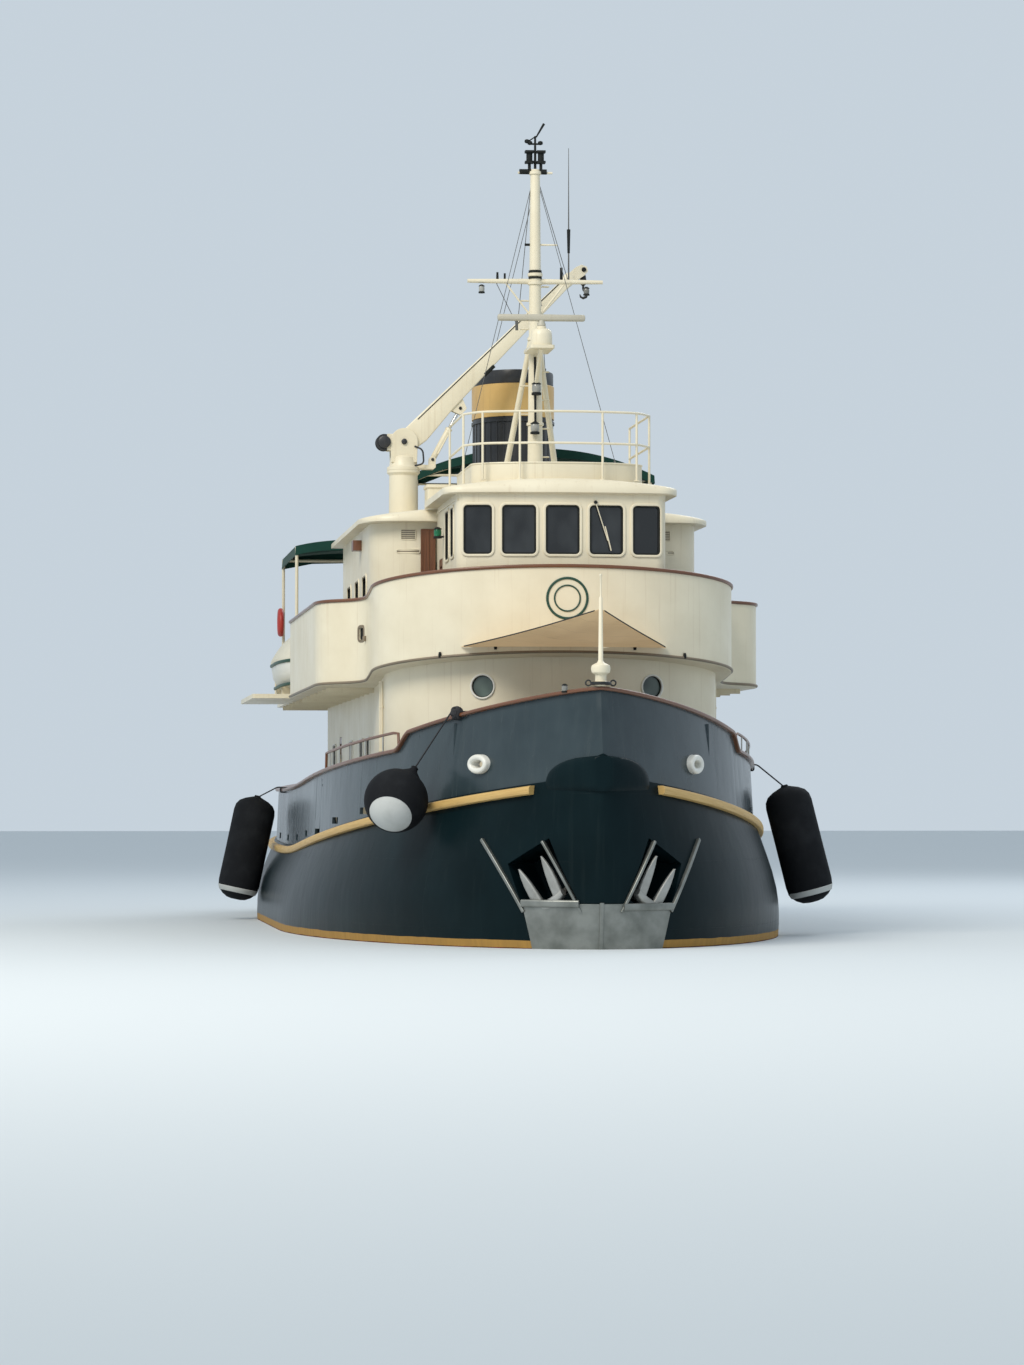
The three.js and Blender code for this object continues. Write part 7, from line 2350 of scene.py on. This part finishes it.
# %% Side lights, bow lamp and lifebuoys
SIDE_LIGHT = (2.02, 8.35, 7.45, 0.07)
BOW_LAMP = (-0.57, 0.62, 4.37, 0.05)
BUOYS = [(-4.10, 23.6, 6.42), (4.13, 20.0, 5.35)]
BUOY_RADIUS, BUOY_THICK = 0.25, 0.062
red, green, lamp, buoy = Form(), Form(), Form(), Form()
for side, lens in ((1, red), (-1, green)):
    put_lamp(dark, lens, side * SIDE_LIGHT[0], *SIDE_LIGHT[1:])
    dark.block(at(side * 1.96 - 0.05, 8.28, 7.36), at(side * 1.96 + 0.05, 8.42, 7.39))
put_lamp(dark, lamp, *BOW_LAMP)
piece(dark, "house_dark_fittings", GASKET, slot="black_iron", angle=50)
piece(red, "side_light_red", LENS_RED, slot="window_glass", angle=50)
piece(green, "side_light_green", LENS_GREEN, slot="window_glass", angle=50)
piece(lamp, "bow_lamp_lens", LENS_CLEAR, slot="window_glass", angle=50)
for x, s, z in BUOYS:
    ring = [at(x, s + BUOY_RADIUS * math.cos(t * math.pi / 24), z + BUOY_RADIUS * math.sin(t * math.pi / 24))
            for t in range(48)]
    buoy.tube(ring, BUOY_THICK, 16, loop=True)
piece(buoy, "lifebuoys", LAMP_RED, slot="fender_rubber", angle=60)
print("house fittings made, lifebuoys", len(BUOYS))

# %% [markdown]
# ## Deck gear
#
# The foredeck carries the windlass and the bitts, all black iron, and the hatch. The aft deck has bitts and a
# capstan. They are turned and cast pieces, so their profiles are curved and their edges are soft.

# %% Windlass, bitts and capstan
WINDLASS_S, CAPSTAN_S = 2.5, 29.5


def deck_at(s):
    """The height of the planked deck at a station."""
    return sheer(s) + 0.054


DECK = deck_at(WINDLASS_S)
# width, depth, height above the deck
GEARBOX = [(0.44, 0.46, 0.1), (0.44, 0.46, 0.42), (0.40, 0.40, 0.56), (0.26, 0.26, 0.62)]
AXLE = [(0.05, 0.1), (0.06, 0.28), (0.25, 0.29), (0.25, 0.33), (0.17, 0.35), (0.17, 0.39), (0.25, 0.41),
        (0.25, 0.44), (0.07, 0.46), (0.07, 0.55), (0.16, 0.56), (0.165, 0.575), (0.105, 0.62), (0.10, 0.68),
        (0.15, 0.745), (0.145, 0.76)]
BITTS = [(1.15, 3.5), (-1.15, 3.5), (2.5, 27.8), (-2.5, 27.8)]
BITT_SPREAD = 0.26
BOLLARD = [(0.13, 0.04), (0.108, 0.07), (0.105, 0.44), (0.132, 0.48), (0.135, 0.50), (0.13, 0.53),
           (0.08, 0.545)]
CAPSTAN = [(0.33, -0.1), (0.33, 0.05), (0.26, 0.10), (0.24, 0.16), (0.17, 0.26), (0.15, 0.42), (0.19, 0.56),
           (0.25, 0.62), (0.25, 0.70), (0.12, 0.73)]
WHELPS = 6
WHELP = [(0.24, 0.16), (0.175, 0.27), (0.157, 0.42), (0.195, 0.55), (0.24, 0.61)]

gear = Form()
gear.block(at(-0.42, 2.2, DECK - 0.06), at(0.42, 2.8, DECK + 0.16), 0.06)
gear.loft([[at(a, WINDLASS_S + b, DECK + rise) for a, b in rounded(w, d, 0.08, 4)]
           for w, d, rise in GEARBOX])
for side in (1, -1):
    gear.turned(AXLE, at(0, WINDLASS_S, DECK + 0.42), (side, 0, 0), 40)
for x, s in BITTS:
    foot = deck_at(s)
    gear.block(at(x - 0.17, s - 0.42, foot - 0.1), at(x + 0.17, s + 0.42, foot + 0.05), 0.05)
    for d in (-BITT_SPREAD, BITT_SPREAD):
        gear.turned(BOLLARD, at(x, s + d, foot), sides=32)
    gear.bar(at(x, s - BITT_SPREAD, foot + 0.27), at(x, s + BITT_SPREAD, foot + 0.27), 0.03)
gear.turned(CAPSTAN, at(0, CAPSTAN_S, deck_at(CAPSTAN_S)), sides=40)
for i in range(WHELPS):
    turn = math.pi / 3 * i
    gear.tube([at(r * math.cos(turn), CAPSTAN_S + r * math.sin(turn), deck_at(CAPSTAN_S) + h)
               for r, h in WHELP], 0.018, 8)
piece(gear, "windlass_bitts_and_capstan", BLACK_IRON, slot="black_iron", bevel=0.004, angle=45, stands_for=(
    "windlass", "bitts_fore_port", "bitts_fore_starboard", "bitts_aft_port", "bitts_aft_starboard", "capstan"))
print("iron gear made, bitts", len(BITTS))

# %% Anchor chains
LINK = 0.028
CHAIN_PIPE = [(0.16, -0.02), (0.16, 0.05), (0.12, 0.07), (0.10, 0.02)]


def put_chain(form, path, size):
    """Links along a path, each turned a quarter from the last."""
    for i, (a, b) in enumerate(zip(path, path[1:])):
        along = (b - a).normalized()
        across = along.orthogonal().normalized()
        across = Matrix.Rotation(math.pi / 2 * (i % 2) + 0.4, 3, along) @ across
        centre, half = (a + b) / 2, (b - a).length * 0.72
        ring = [centre + along * half * math.cos(t) + across * size * 1.5 * math.sin(t)
                for t in [math.pi / 6 * k for k in range(12)]]
        form.tube(ring, size * 0.5, 6, loop=True)


chains = Form()
for side in (1, -1):
    start, end = at(side * 0.37, 2.28, DECK + 0.32), at(side * 0.62, 1.45, deck_at(1.45) + 0.03)
    sagging = [start, (start + end) / 2 - Vector((0, 0, 0.13)), end]
    put_chain(chains, through(sagging, 9), LINK)
    chains.turned(CHAIN_PIPE, at(side * 0.62, 1.40, deck_at(1.4)), sides=28)
piece(chains, "anchor_chains", GALVANISED, slot="black_iron", angle=60)
print("anchor chains made")

# %% Hatch and jackstaff
SLATS, SLAT_PITCH, SLAT_WIDE = 7, 0.124, 0.112
STAFF_S, STAFF_FOOT = 0.31, 4.372
STAFF = [(0.085, 0), (0.085, 0.04), (0.15, 0.055), (0.15, 0.09), (0.095, 0.11), (0.095, 0.21), (0.15, 0.25),
         (0.165, 0.32), (0.15, 0.375), (0.06, 0.42), (0.042, 0.46), (0.030, 1.508), (0.014, 1.528),
         (0.014, 1.86), (0.024, 1.875), (0.02, 1.905)]
FLANGE = [(0.17, 0.045), (0.18, 0.05), (0.18, 0.09), (0.16, 0.10)]
dress(CREAM, "hatch_coaming", "hatch_lid", bevel=0.008)
lid_top = deck_at(3.9) + 0.435
slats = Form()
for i in range(SLATS):
    left = -0.43 + i * SLAT_PITCH
    slats.block(at(left, 3.89, lid_top + 0.001), at(left + SLAT_WIDE, 4.71, lid_top + 0.02), 0.01)
piece(slats, "hatch_lid_slats", TEAK_PANEL, "hatch_lid_body", "teak", 0.003)
piece(Form().turned(STAFF, at(0, STAFF_S, STAFF_FOOT), sides=40), "jackstaff_pole", CREAM, slot="cream_paint",
      stands_for=("jackstaff",), angle=40)
flange = Form().turned(FLANGE, at(0, STAFF_S, STAFF_FOOT), sides=40)
for side in (1, -1):
    ring = [at(side * (0.21 + 0.045 * math.cos(t)), STAFF_S, 4.45 + 0.045 * math.sin(t))
            for t in [math.pi / 8 * k for k in range(16)]]
    flange.tube(ring, 0.014, 8, loop=True)
piece(flange, "jackstaff_flange", BLACK_IRON, slot="black_iron", angle=50)
print("hatch and jackstaff made")

# %% Rudder and propeller
BLADES = 4
# radius, half chord, half thickness
BLADE_ROWS = [(0.18, 0.20, 0.05), (0.35, 0.30, 0.04), (0.6, 0.36, 0.03), (0.85, 0.32, 0.02), (1.0, 0.2, 0.012),
              (1.07, 0.07, 0.006)]
SCREW_PITCH, SCREW_S = 1.4, 29.5
HUB = [(0.17, -0.3497), (0.225, -0.30), (0.21, 0.1), (0.15, 0.25), (0.13, 0.29), (0.05, 0.40)]


def blade(form, turn):
    """A screw blade: sections whose pitch eases as they go out."""
    rings = []
    for r, chord, thick in BLADE_ROWS:
        pitch = math.atan2(SCREW_PITCH, 2 * math.pi * r)
        ring = []
        for a, b in circle(16, chord, thick):
            around = a * math.cos(pitch) - b * math.sin(pitch)
            along = a * math.sin(pitch) + b * math.cos(pitch)
            angle = turn + around / r * (1 if r > 0.3 else 0.6)
            ring.append(at(r * math.sin(angle), SCREW_S + along, SHAFT_Z + r * math.cos(angle)))
        rings.append(ring)
    form.loft(rings)


screw = Form().turned(HUB, at(0, SCREW_S, SHAFT_Z), (0, 1, 0), 40)
for i in range(BLADES):
    blade(screw, math.pi / 2 * i + 0.4)
piece(screw, "four_bladed_screw", BRONZE, "propeller_body", "propeller_bronze", stands_for=("propeller",),
      angle=50)
dress(HULL_PAINT, "rudder", bevel=0.01)
print("rudder and screw made, blades", BLADES)

# %% [markdown]
# ## Cloth
#
# Two green awnings, a sand shade sail and the tender's cover are all single sheets of woven canvas. Each is a
# grid of points that follows its frame, sags between its hoops and turns down at a hem. A sheet has a real cut
# size, so the helper measures its own rows and area and prints them.

# %% A sheet of cloth
def cloth(name, finish, slot, point, rows, columns, held, rests_on, stands_for, body="ship", thick=0.006):
    """A sheet from a function of (u, v), with a second layer a few millimetres inside it."""
    grid = [[point(i / rows, j / columns) for j in range(columns + 1)] for i in range(rows + 1)]

    def inner(i, j):
        down = grid[min(i + 1, rows)][j] - grid[max(i - 1, 0)][j]
        across = grid[i][min(j + 1, columns)] - grid[i][max(j - 1, 0)]
        return grid[i][j] + down.cross(across).normalized() * thick

    form = Form()
    form.loft([grid[i] + [inner(i, j) for j in range(columns, -1, -1)] for i in range(rows + 1)])
    wide = max(sum((b - a).length for a, b in zip(row, row[1:])) for row in grid)
    long = max(sum((grid[i + 1][j] - grid[i][j]).length for i in range(rows)) for j in range(columns + 1))
    area = sum((grid[i + 1][j + 1] - grid[i][j]).cross(grid[i][j + 1] - grid[i + 1][j]).length / 2
               for i in range(rows) for j in range(columns))
    obj = piece(form, name, finish, body, slot, stands_for=stands_for, angle=60)
    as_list(rests_on)
    print(name, "cut", round(wide, 2), "x", round(long, 2), "m, area", round(area, 2))
    return obj


def past(value, edge):
    """How far a coordinate from 0 to 1 has run on over the edge of the flat part, as a share of the hem."""
    return max(0.0, abs(value - 0.5) - edge) / (0.5 - edge)


print("cloth ready")

# %% Awnings
ACROSS_EDGE, ALONG_EDGE = 0.46, 0.47
SAG, RIPPLE, SCALLOP = 0.010, 0.004, 0.012


def awning(x0, x1, s0, s1, top, side, hem, bays, power):
    """A rounded canopy. The outer parts of u and v are the hems that hang down all round it."""
    middle, half = (x0 + x1) / 2, (x1 - x0) / 2

    def point(u, v):
        across = min(1, max(-1, (v - 0.5) / ACROSS_EDGE))
        along = min(1, max(-1, (u - 0.5) / ALONG_EDGE))
        over = min(1, max(past(v, ACROSS_EDGE), past(u, ALONG_EDGE)))
        x = middle + half * across
        drop = (top - side) * abs(across) ** power + hem * over
        sag = SAG * abs(math.sin(math.pi * bays * along)) * (1 - abs(across) ** 4)
        ripple = RIPPLE * noise.noise(Vector((x * 1.6, along * (s1 - s0) * 0.5, 3.0)))
        scallop = SCALLOP * over * math.sin(bays * 9 * along + x * 4)
        station = (s0 + s1) / 2 + (s1 - s0) / 2 * along
        return at(x + math.copysign(0.010 * past(v, ACROSS_EDGE), across),
                  station + math.copysign(0.006 * past(u, ALONG_EDGE), along),
                  top - drop - sag + ripple + scallop)
    return point


aft_shape = awning(-4.055, 4.055, 18.66, 23.83, 7.958, 7.80, 0.20, 3, 7)
roof_shape = awning(-1.845, 3.045, 15.71, 18.29, 9.636, 9.10, 0.17, 2, 2.2)
cloth("aft_awning_canvas", GREEN_CANVAS, "green_canvas", aft_shape, 100, 100, "stretched",
      ["boat_deck_guard_rail"], ("aft_awning",))
cloth("roof_awning_canvas", GREEN_CANVAS, "green_canvas", roof_shape, 100, 100, "stretched",
      ["roof_awning_tubes"], ("roof_awning",))
print("awnings made")

# %% Shade sail
SAIL_NOSE, SAIL_TAIL = (0.343, 0.04, 5.68), (5.2, 1.85, 5.24)
FRONT_RADIUS = 3.3


def sail_point(u, v):
    """The sail from its ring on the jackstaff back to the bridge's bowed front."""
    across = 2 * v - 1
    x = across * (SAIL_NOSE[1] + (SAIL_TAIL[1] - SAIL_NOSE[1]) * u)
    front = SAIL_TAIL[0] + 2.2 * (1 - math.sqrt(1 - (x / FRONT_RADIUS) ** 2)) - 0.016
    sag = 0.105 * math.sin(math.pi * u) * (1 - 0.5 * across * across)
    edge = 0.03 * math.sin(math.pi * u) * across ** 8
    fold = 0.012 * math.sin(across * 9 + 1) * u * (1 - u) * 4
    height = SAIL_NOSE[2] + (SAIL_TAIL[2] - SAIL_NOSE[2]) * u
    return at(x, SAIL_NOSE[0] + (front - SAIL_NOSE[0]) * u, height - sag + edge + fold)


cloth("shade_sail_canvas", SAND_CANVAS, "sand_canvas", sail_point, 60, 50, "stretched",
      ["jackstaff_pole", "bridge_bulwark_wall"], ("shade_sail",))
hem = Form()
for v in (0.0, 1.0):
    hem.tube([sail_point(i / 40, v) for i in range(1, 40)], 0.011, 8)
piece(hem, "shade_sail_bolt_rope", DARK_ROPE, slot="sand_canvas", angle=60)
print("cloth made")

# %% [markdown]
# ## Tender
#
# The tender lies in its chocks under a fitted cover. Its hull is full and round, with a green rubber band at
# the rail. The cover is one sheet that hangs a little over that band.

# %% Tender hull and bands
TENDER_FROM, TENDER_TO = 19.05, 23.4
TENDER_HALF, TENDER_KEEL, TENDER_SHEER = 0.76, 4.762, 0.18
# height, outward
BANDS = [(5.40, -0.004), (4.92, -0.03)]


def tender_shape(t):
    """Half the width of the hull and the rise of its keel, at a share of its length."""
    t = min(max(t, 0.0), 1.0)
    wide = TENDER_HALF * math.sqrt(max(0.0, 1 - abs(2 * t - 1) ** 3.6))
    return wide, TENDER_SHEER * abs(2 * t - 1) ** 2


def tender_station(t):
    return TENDER_FROM + (TENDER_TO - TENDER_FROM) * t


def tender_rings(grow, count=36):
    """Frames from end to end, closer together where the ends turn in."""
    rings = []
    for i in range(count + 1):
        t = 0.5 - 0.4995 * math.cos(math.pi * i / count)
        wide, rise = tender_shape(t)
        wide = max(0.012, wide + grow)
        keel = TENDER_KEEL + rise
        profile = [(0, keel), (0.45, keel + 0.03), (0.8, keel + 0.14), (0.95, keel + 0.34), (1.0, 5.34),
                   (1.0, 5.46)]
        ring = [at(TENDER_X + wide * k, tender_station(t), z) for k, z in profile]
        rings.append(ring + [Vector((2 * TENDER_X - p.x, p.y, p.z)) for p in reversed(ring[1:])])
    return rings


def band_loop(height, grow):
    """One turn of a band round the hull, out along one side and back along the other."""
    loop = []
    for side in (1, -1):
        for i in range(41):
            t = 0.5 - 0.496 * math.cos(math.pi * i / 40)
            t = t if side > 0 else 1 - t
            wide, rise = tender_shape(t)
            wide = wide + grow if height > 5 else wide * 0.93 + grow
            loop.append(at(TENDER_X + side * max(0.02, wide), tender_station(t), height + rise * 0.4))
    return loop


piece(Form().loft(tender_rings(-0.012)), "tender_hull", WHITE, slot="tender_cover", angle=50, bevel=0.004)
bands = Form()
tender_middle = (TENDER_FROM + TENDER_TO) / 2
for height, grow in BANDS:
    loop = band_loop(height, grow)
    normals = [Vector((p.x - TENDER_X, 0.25 * (p.y - tender_middle + HALF_LENGTH), 0)).normalized()
               for p in loop]
    bands.sweep(loop, normals, rounded(0.07, 0.05, 0.02, 3), loop=True)
piece(bands, "tender_green_bands", EMBLEM_GREEN, slot="green_canvas", angle=60)
print("tender made")

# %% Tender cover
COVER_EDGE, COVER_RIM, COVER_DOME, COVER_HEM = 0.40, 5.50, 0.618, 0.09


def cover_point(u, v):
    """A dome over the tender. The outer tenth of v on each side hangs over the band."""
    t = 0.5 - 0.499 * math.cos(math.pi * u)
    wide = max(0.02, tender_shape(t)[0] - 0.002)
    across = min(1, max(-1, (v - 0.5) / COVER_EDGE))
    over = max(0, abs(v - 0.5) - COVER_EDGE) / (0.5 - COVER_EDGE)
    dome = COVER_DOME * max(0.0, 1 - abs(2 * t - 1) ** 6) ** 0.6
    crown = COVER_RIM + dome * (1 - abs(across) ** 2.3)
    crease = 0.012 * math.sin(9 * math.pi * u) * (1 - abs(across)) + 0.006 * math.sin(23 * math.pi * u) * over
    return at(TENDER_X + wide * across + math.copysign(0.006 + crease * over, across), tender_station(t),
              crown - COVER_HEM * over - (crease if not over else 0))


cloth("tender_cover_canvas", TENDER_COVER, "tender_cover", cover_point, 70, 48, "draped", ["tender_hull"],
      ("tender",))
print("tender covered")

# %% [markdown]
# ## Fenders
#
# The fenders are blown-up rubber in tight knitted covers. The ball at the bow has pulled half out of its cover,
# so its pale end shows. Each one hangs on a rope that goes over the cap rail and takes a few turns there.

# %% Lanyards and knots
TURN_STEP = 2


def lanyard(form, side, station, head, turns=4, thick=0.015):
    """A rope from a fender's head up over the cap rail, and its turns round the rail."""
    cap = RAIL_LINE.point(RAIL_LINE.share(station), CAP_OUT)
    top = cap.z + CAP_THICK
    x = side * cap.x
    path = [Vector(head), Vector((x + side * 0.07, cap.y, top + 0.035)),
            Vector((x - side * 0.05, cap.y, top + 0.016)), Vector((x - side * 0.10, cap.y, top + 0.016))]
    form.tube(bent(path, 0.06), 0.014, 10)
    for i in range(turns):
        ring = cap_ring(station + thick * TURN_STEP * (i - turns / 2), CAP_OUT + thick, CAP_WIDTH + 2 * thick,
                        -thick, CAP_THICK + thick)
        form.tube(ring if side > 0 else mirror_ring(ring), thick, 8, loop=True)


def bundle(form, centre, radius, thick):
    """A knot of several turns, each laid over the last at another slant."""
    for i in range(7):
        turn = Matrix.Rotation(0.9 * i, 3, "Z") @ Matrix.Rotation(0.5 + 0.7 * i, 3, "X")
        ring = [Vector((radius * math.cos(t), radius * math.sin(t), 0.3 * radius * math.sin(2 * t)))
                for t in [math.pi / 12 * k for k in range(24)]]
        form.tube([centre + turn @ p for p in ring], thick, 8, loop=True)


ropes = Form()
print("lanyards ready")

# %% Ball fender
BALL_S, BALL_Z = 3.4, 2.49
COVER_RADIUS, PALE_RADIUS = 0.556, 0.545
NECK_PROFILE = [(0.30, 0.40), (0.24, 0.49), (0.15, 0.56), (0.08, 0.62), (0.06, 0.66), (0.07, 0.68),
                (0.045, 0.70)]
LANYARD_S = 2.86


def zone(radius, degrees, sign):
    """A band of a ball as (radius, along) between two of its parallels."""
    return [(radius * math.sin(math.radians(a)), sign * radius * math.cos(math.radians(a))) for a in degrees]


ball_side = DECK_LINE.point(BALL_S / LENGTH, 0.15 + 0.56 + 0.004)
ball = Vector((-ball_side.x, ball_side.y, BALL_Z))
slip = Vector((-0.30, -0.75, -0.59)).normalized()
neck = Vector((0.50, 0.25, 0.83)).normalized()
cover_profile = zone(COVER_RADIUS, range(4, 135, 5), -1) + [(0.39, 0.40), (0.375, 0.395)]
cover = Form().turned(cover_profile, ball, slip, 48)
cover.turned(NECK_PROFILE, ball, neck, 36)
piece(cover, "ball_fender_cover", FENDER_RUBBER, slot="fender_rubber", stands_for=("ball_fender",),
                angle=60)
pale = Form().turned([(0.30, 0.3)] + zone(PALE_RADIUS, range(50, 1, -4), 1), ball, slip, 48)
piece(pale, "ball_fender_end", FENDER_WHITE, slot="fender_rubber", angle=60)
lanyard(ropes, -1, LANYARD_S, ball + neck * 0.69, 4, 0.020)
knot = RAIL_LINE.point(RAIL_LINE.share(LANYARD_S), CAP_OUT)
bundle(ropes, Vector((-knot.x + 0.02, knot.y, knot.z + CAP_THICK + 0.02)), 0.085, 0.032)
print("ball fender made")

# %% Long fenders
# name, side, station, foot and head as (distance from the middle, height)
LONG_FENDERS = [("starboard", -1, 21.5, (5.165, 0.42), (4.69, 2.64)),
                ("port", 1, 9.0, (5.12, 0.60), (4.56, 2.80))]
# radius, share of the length
SAUSAGE = [(0.10, 0.004), (0.20, 0.012), (0.31, 0.040), (0.385, 0.075), (0.425, 0.115), (0.44, 0.165),
           (0.437, 0.5), (0.44, 0.835), (0.42, 0.885), (0.36, 0.925), (0.25, 0.955), (0.13, 0.975), (0.07, 0.985),
           (0.06, 0.998)]
# A pale ring near each long fender's foot, in the white finish: a painted highlight along the fender's lower edge.
HIGHLIGHT_BAND = [(0.383, 0.068), (0.392, 0.071), (0.431, 0.112), (0.424, 0.116)]
for word, side, station, foot, head in LONG_FENDERS:
    low, high = at(side * foot[0], station, foot[1]), at(side * head[0], station, head[1])
    span = high - low
    sock, highlight_band = [Form().turned([(r, h * span.length) for r, h in rows], low, span, 44)
                 for rows in (SAUSAGE, HIGHLIGHT_BAND)]
    piece(sock, "long_fender_" + word, FENDER_RUBBER, slot="fender_rubber",
                    stands_for=("fender_" + word,), angle=60)
    piece(highlight_band, "fender_band_" + word, FENDER_WHITE, slot="fender_rubber", angle=60)
    lanyard(ropes, side, station, high - span * 0.02)
piece(ropes, "fender_lanyards", DARK_ROPE, slot="fender_rubber", angle=60)
print("fenders made, pieces", len(PIECES))
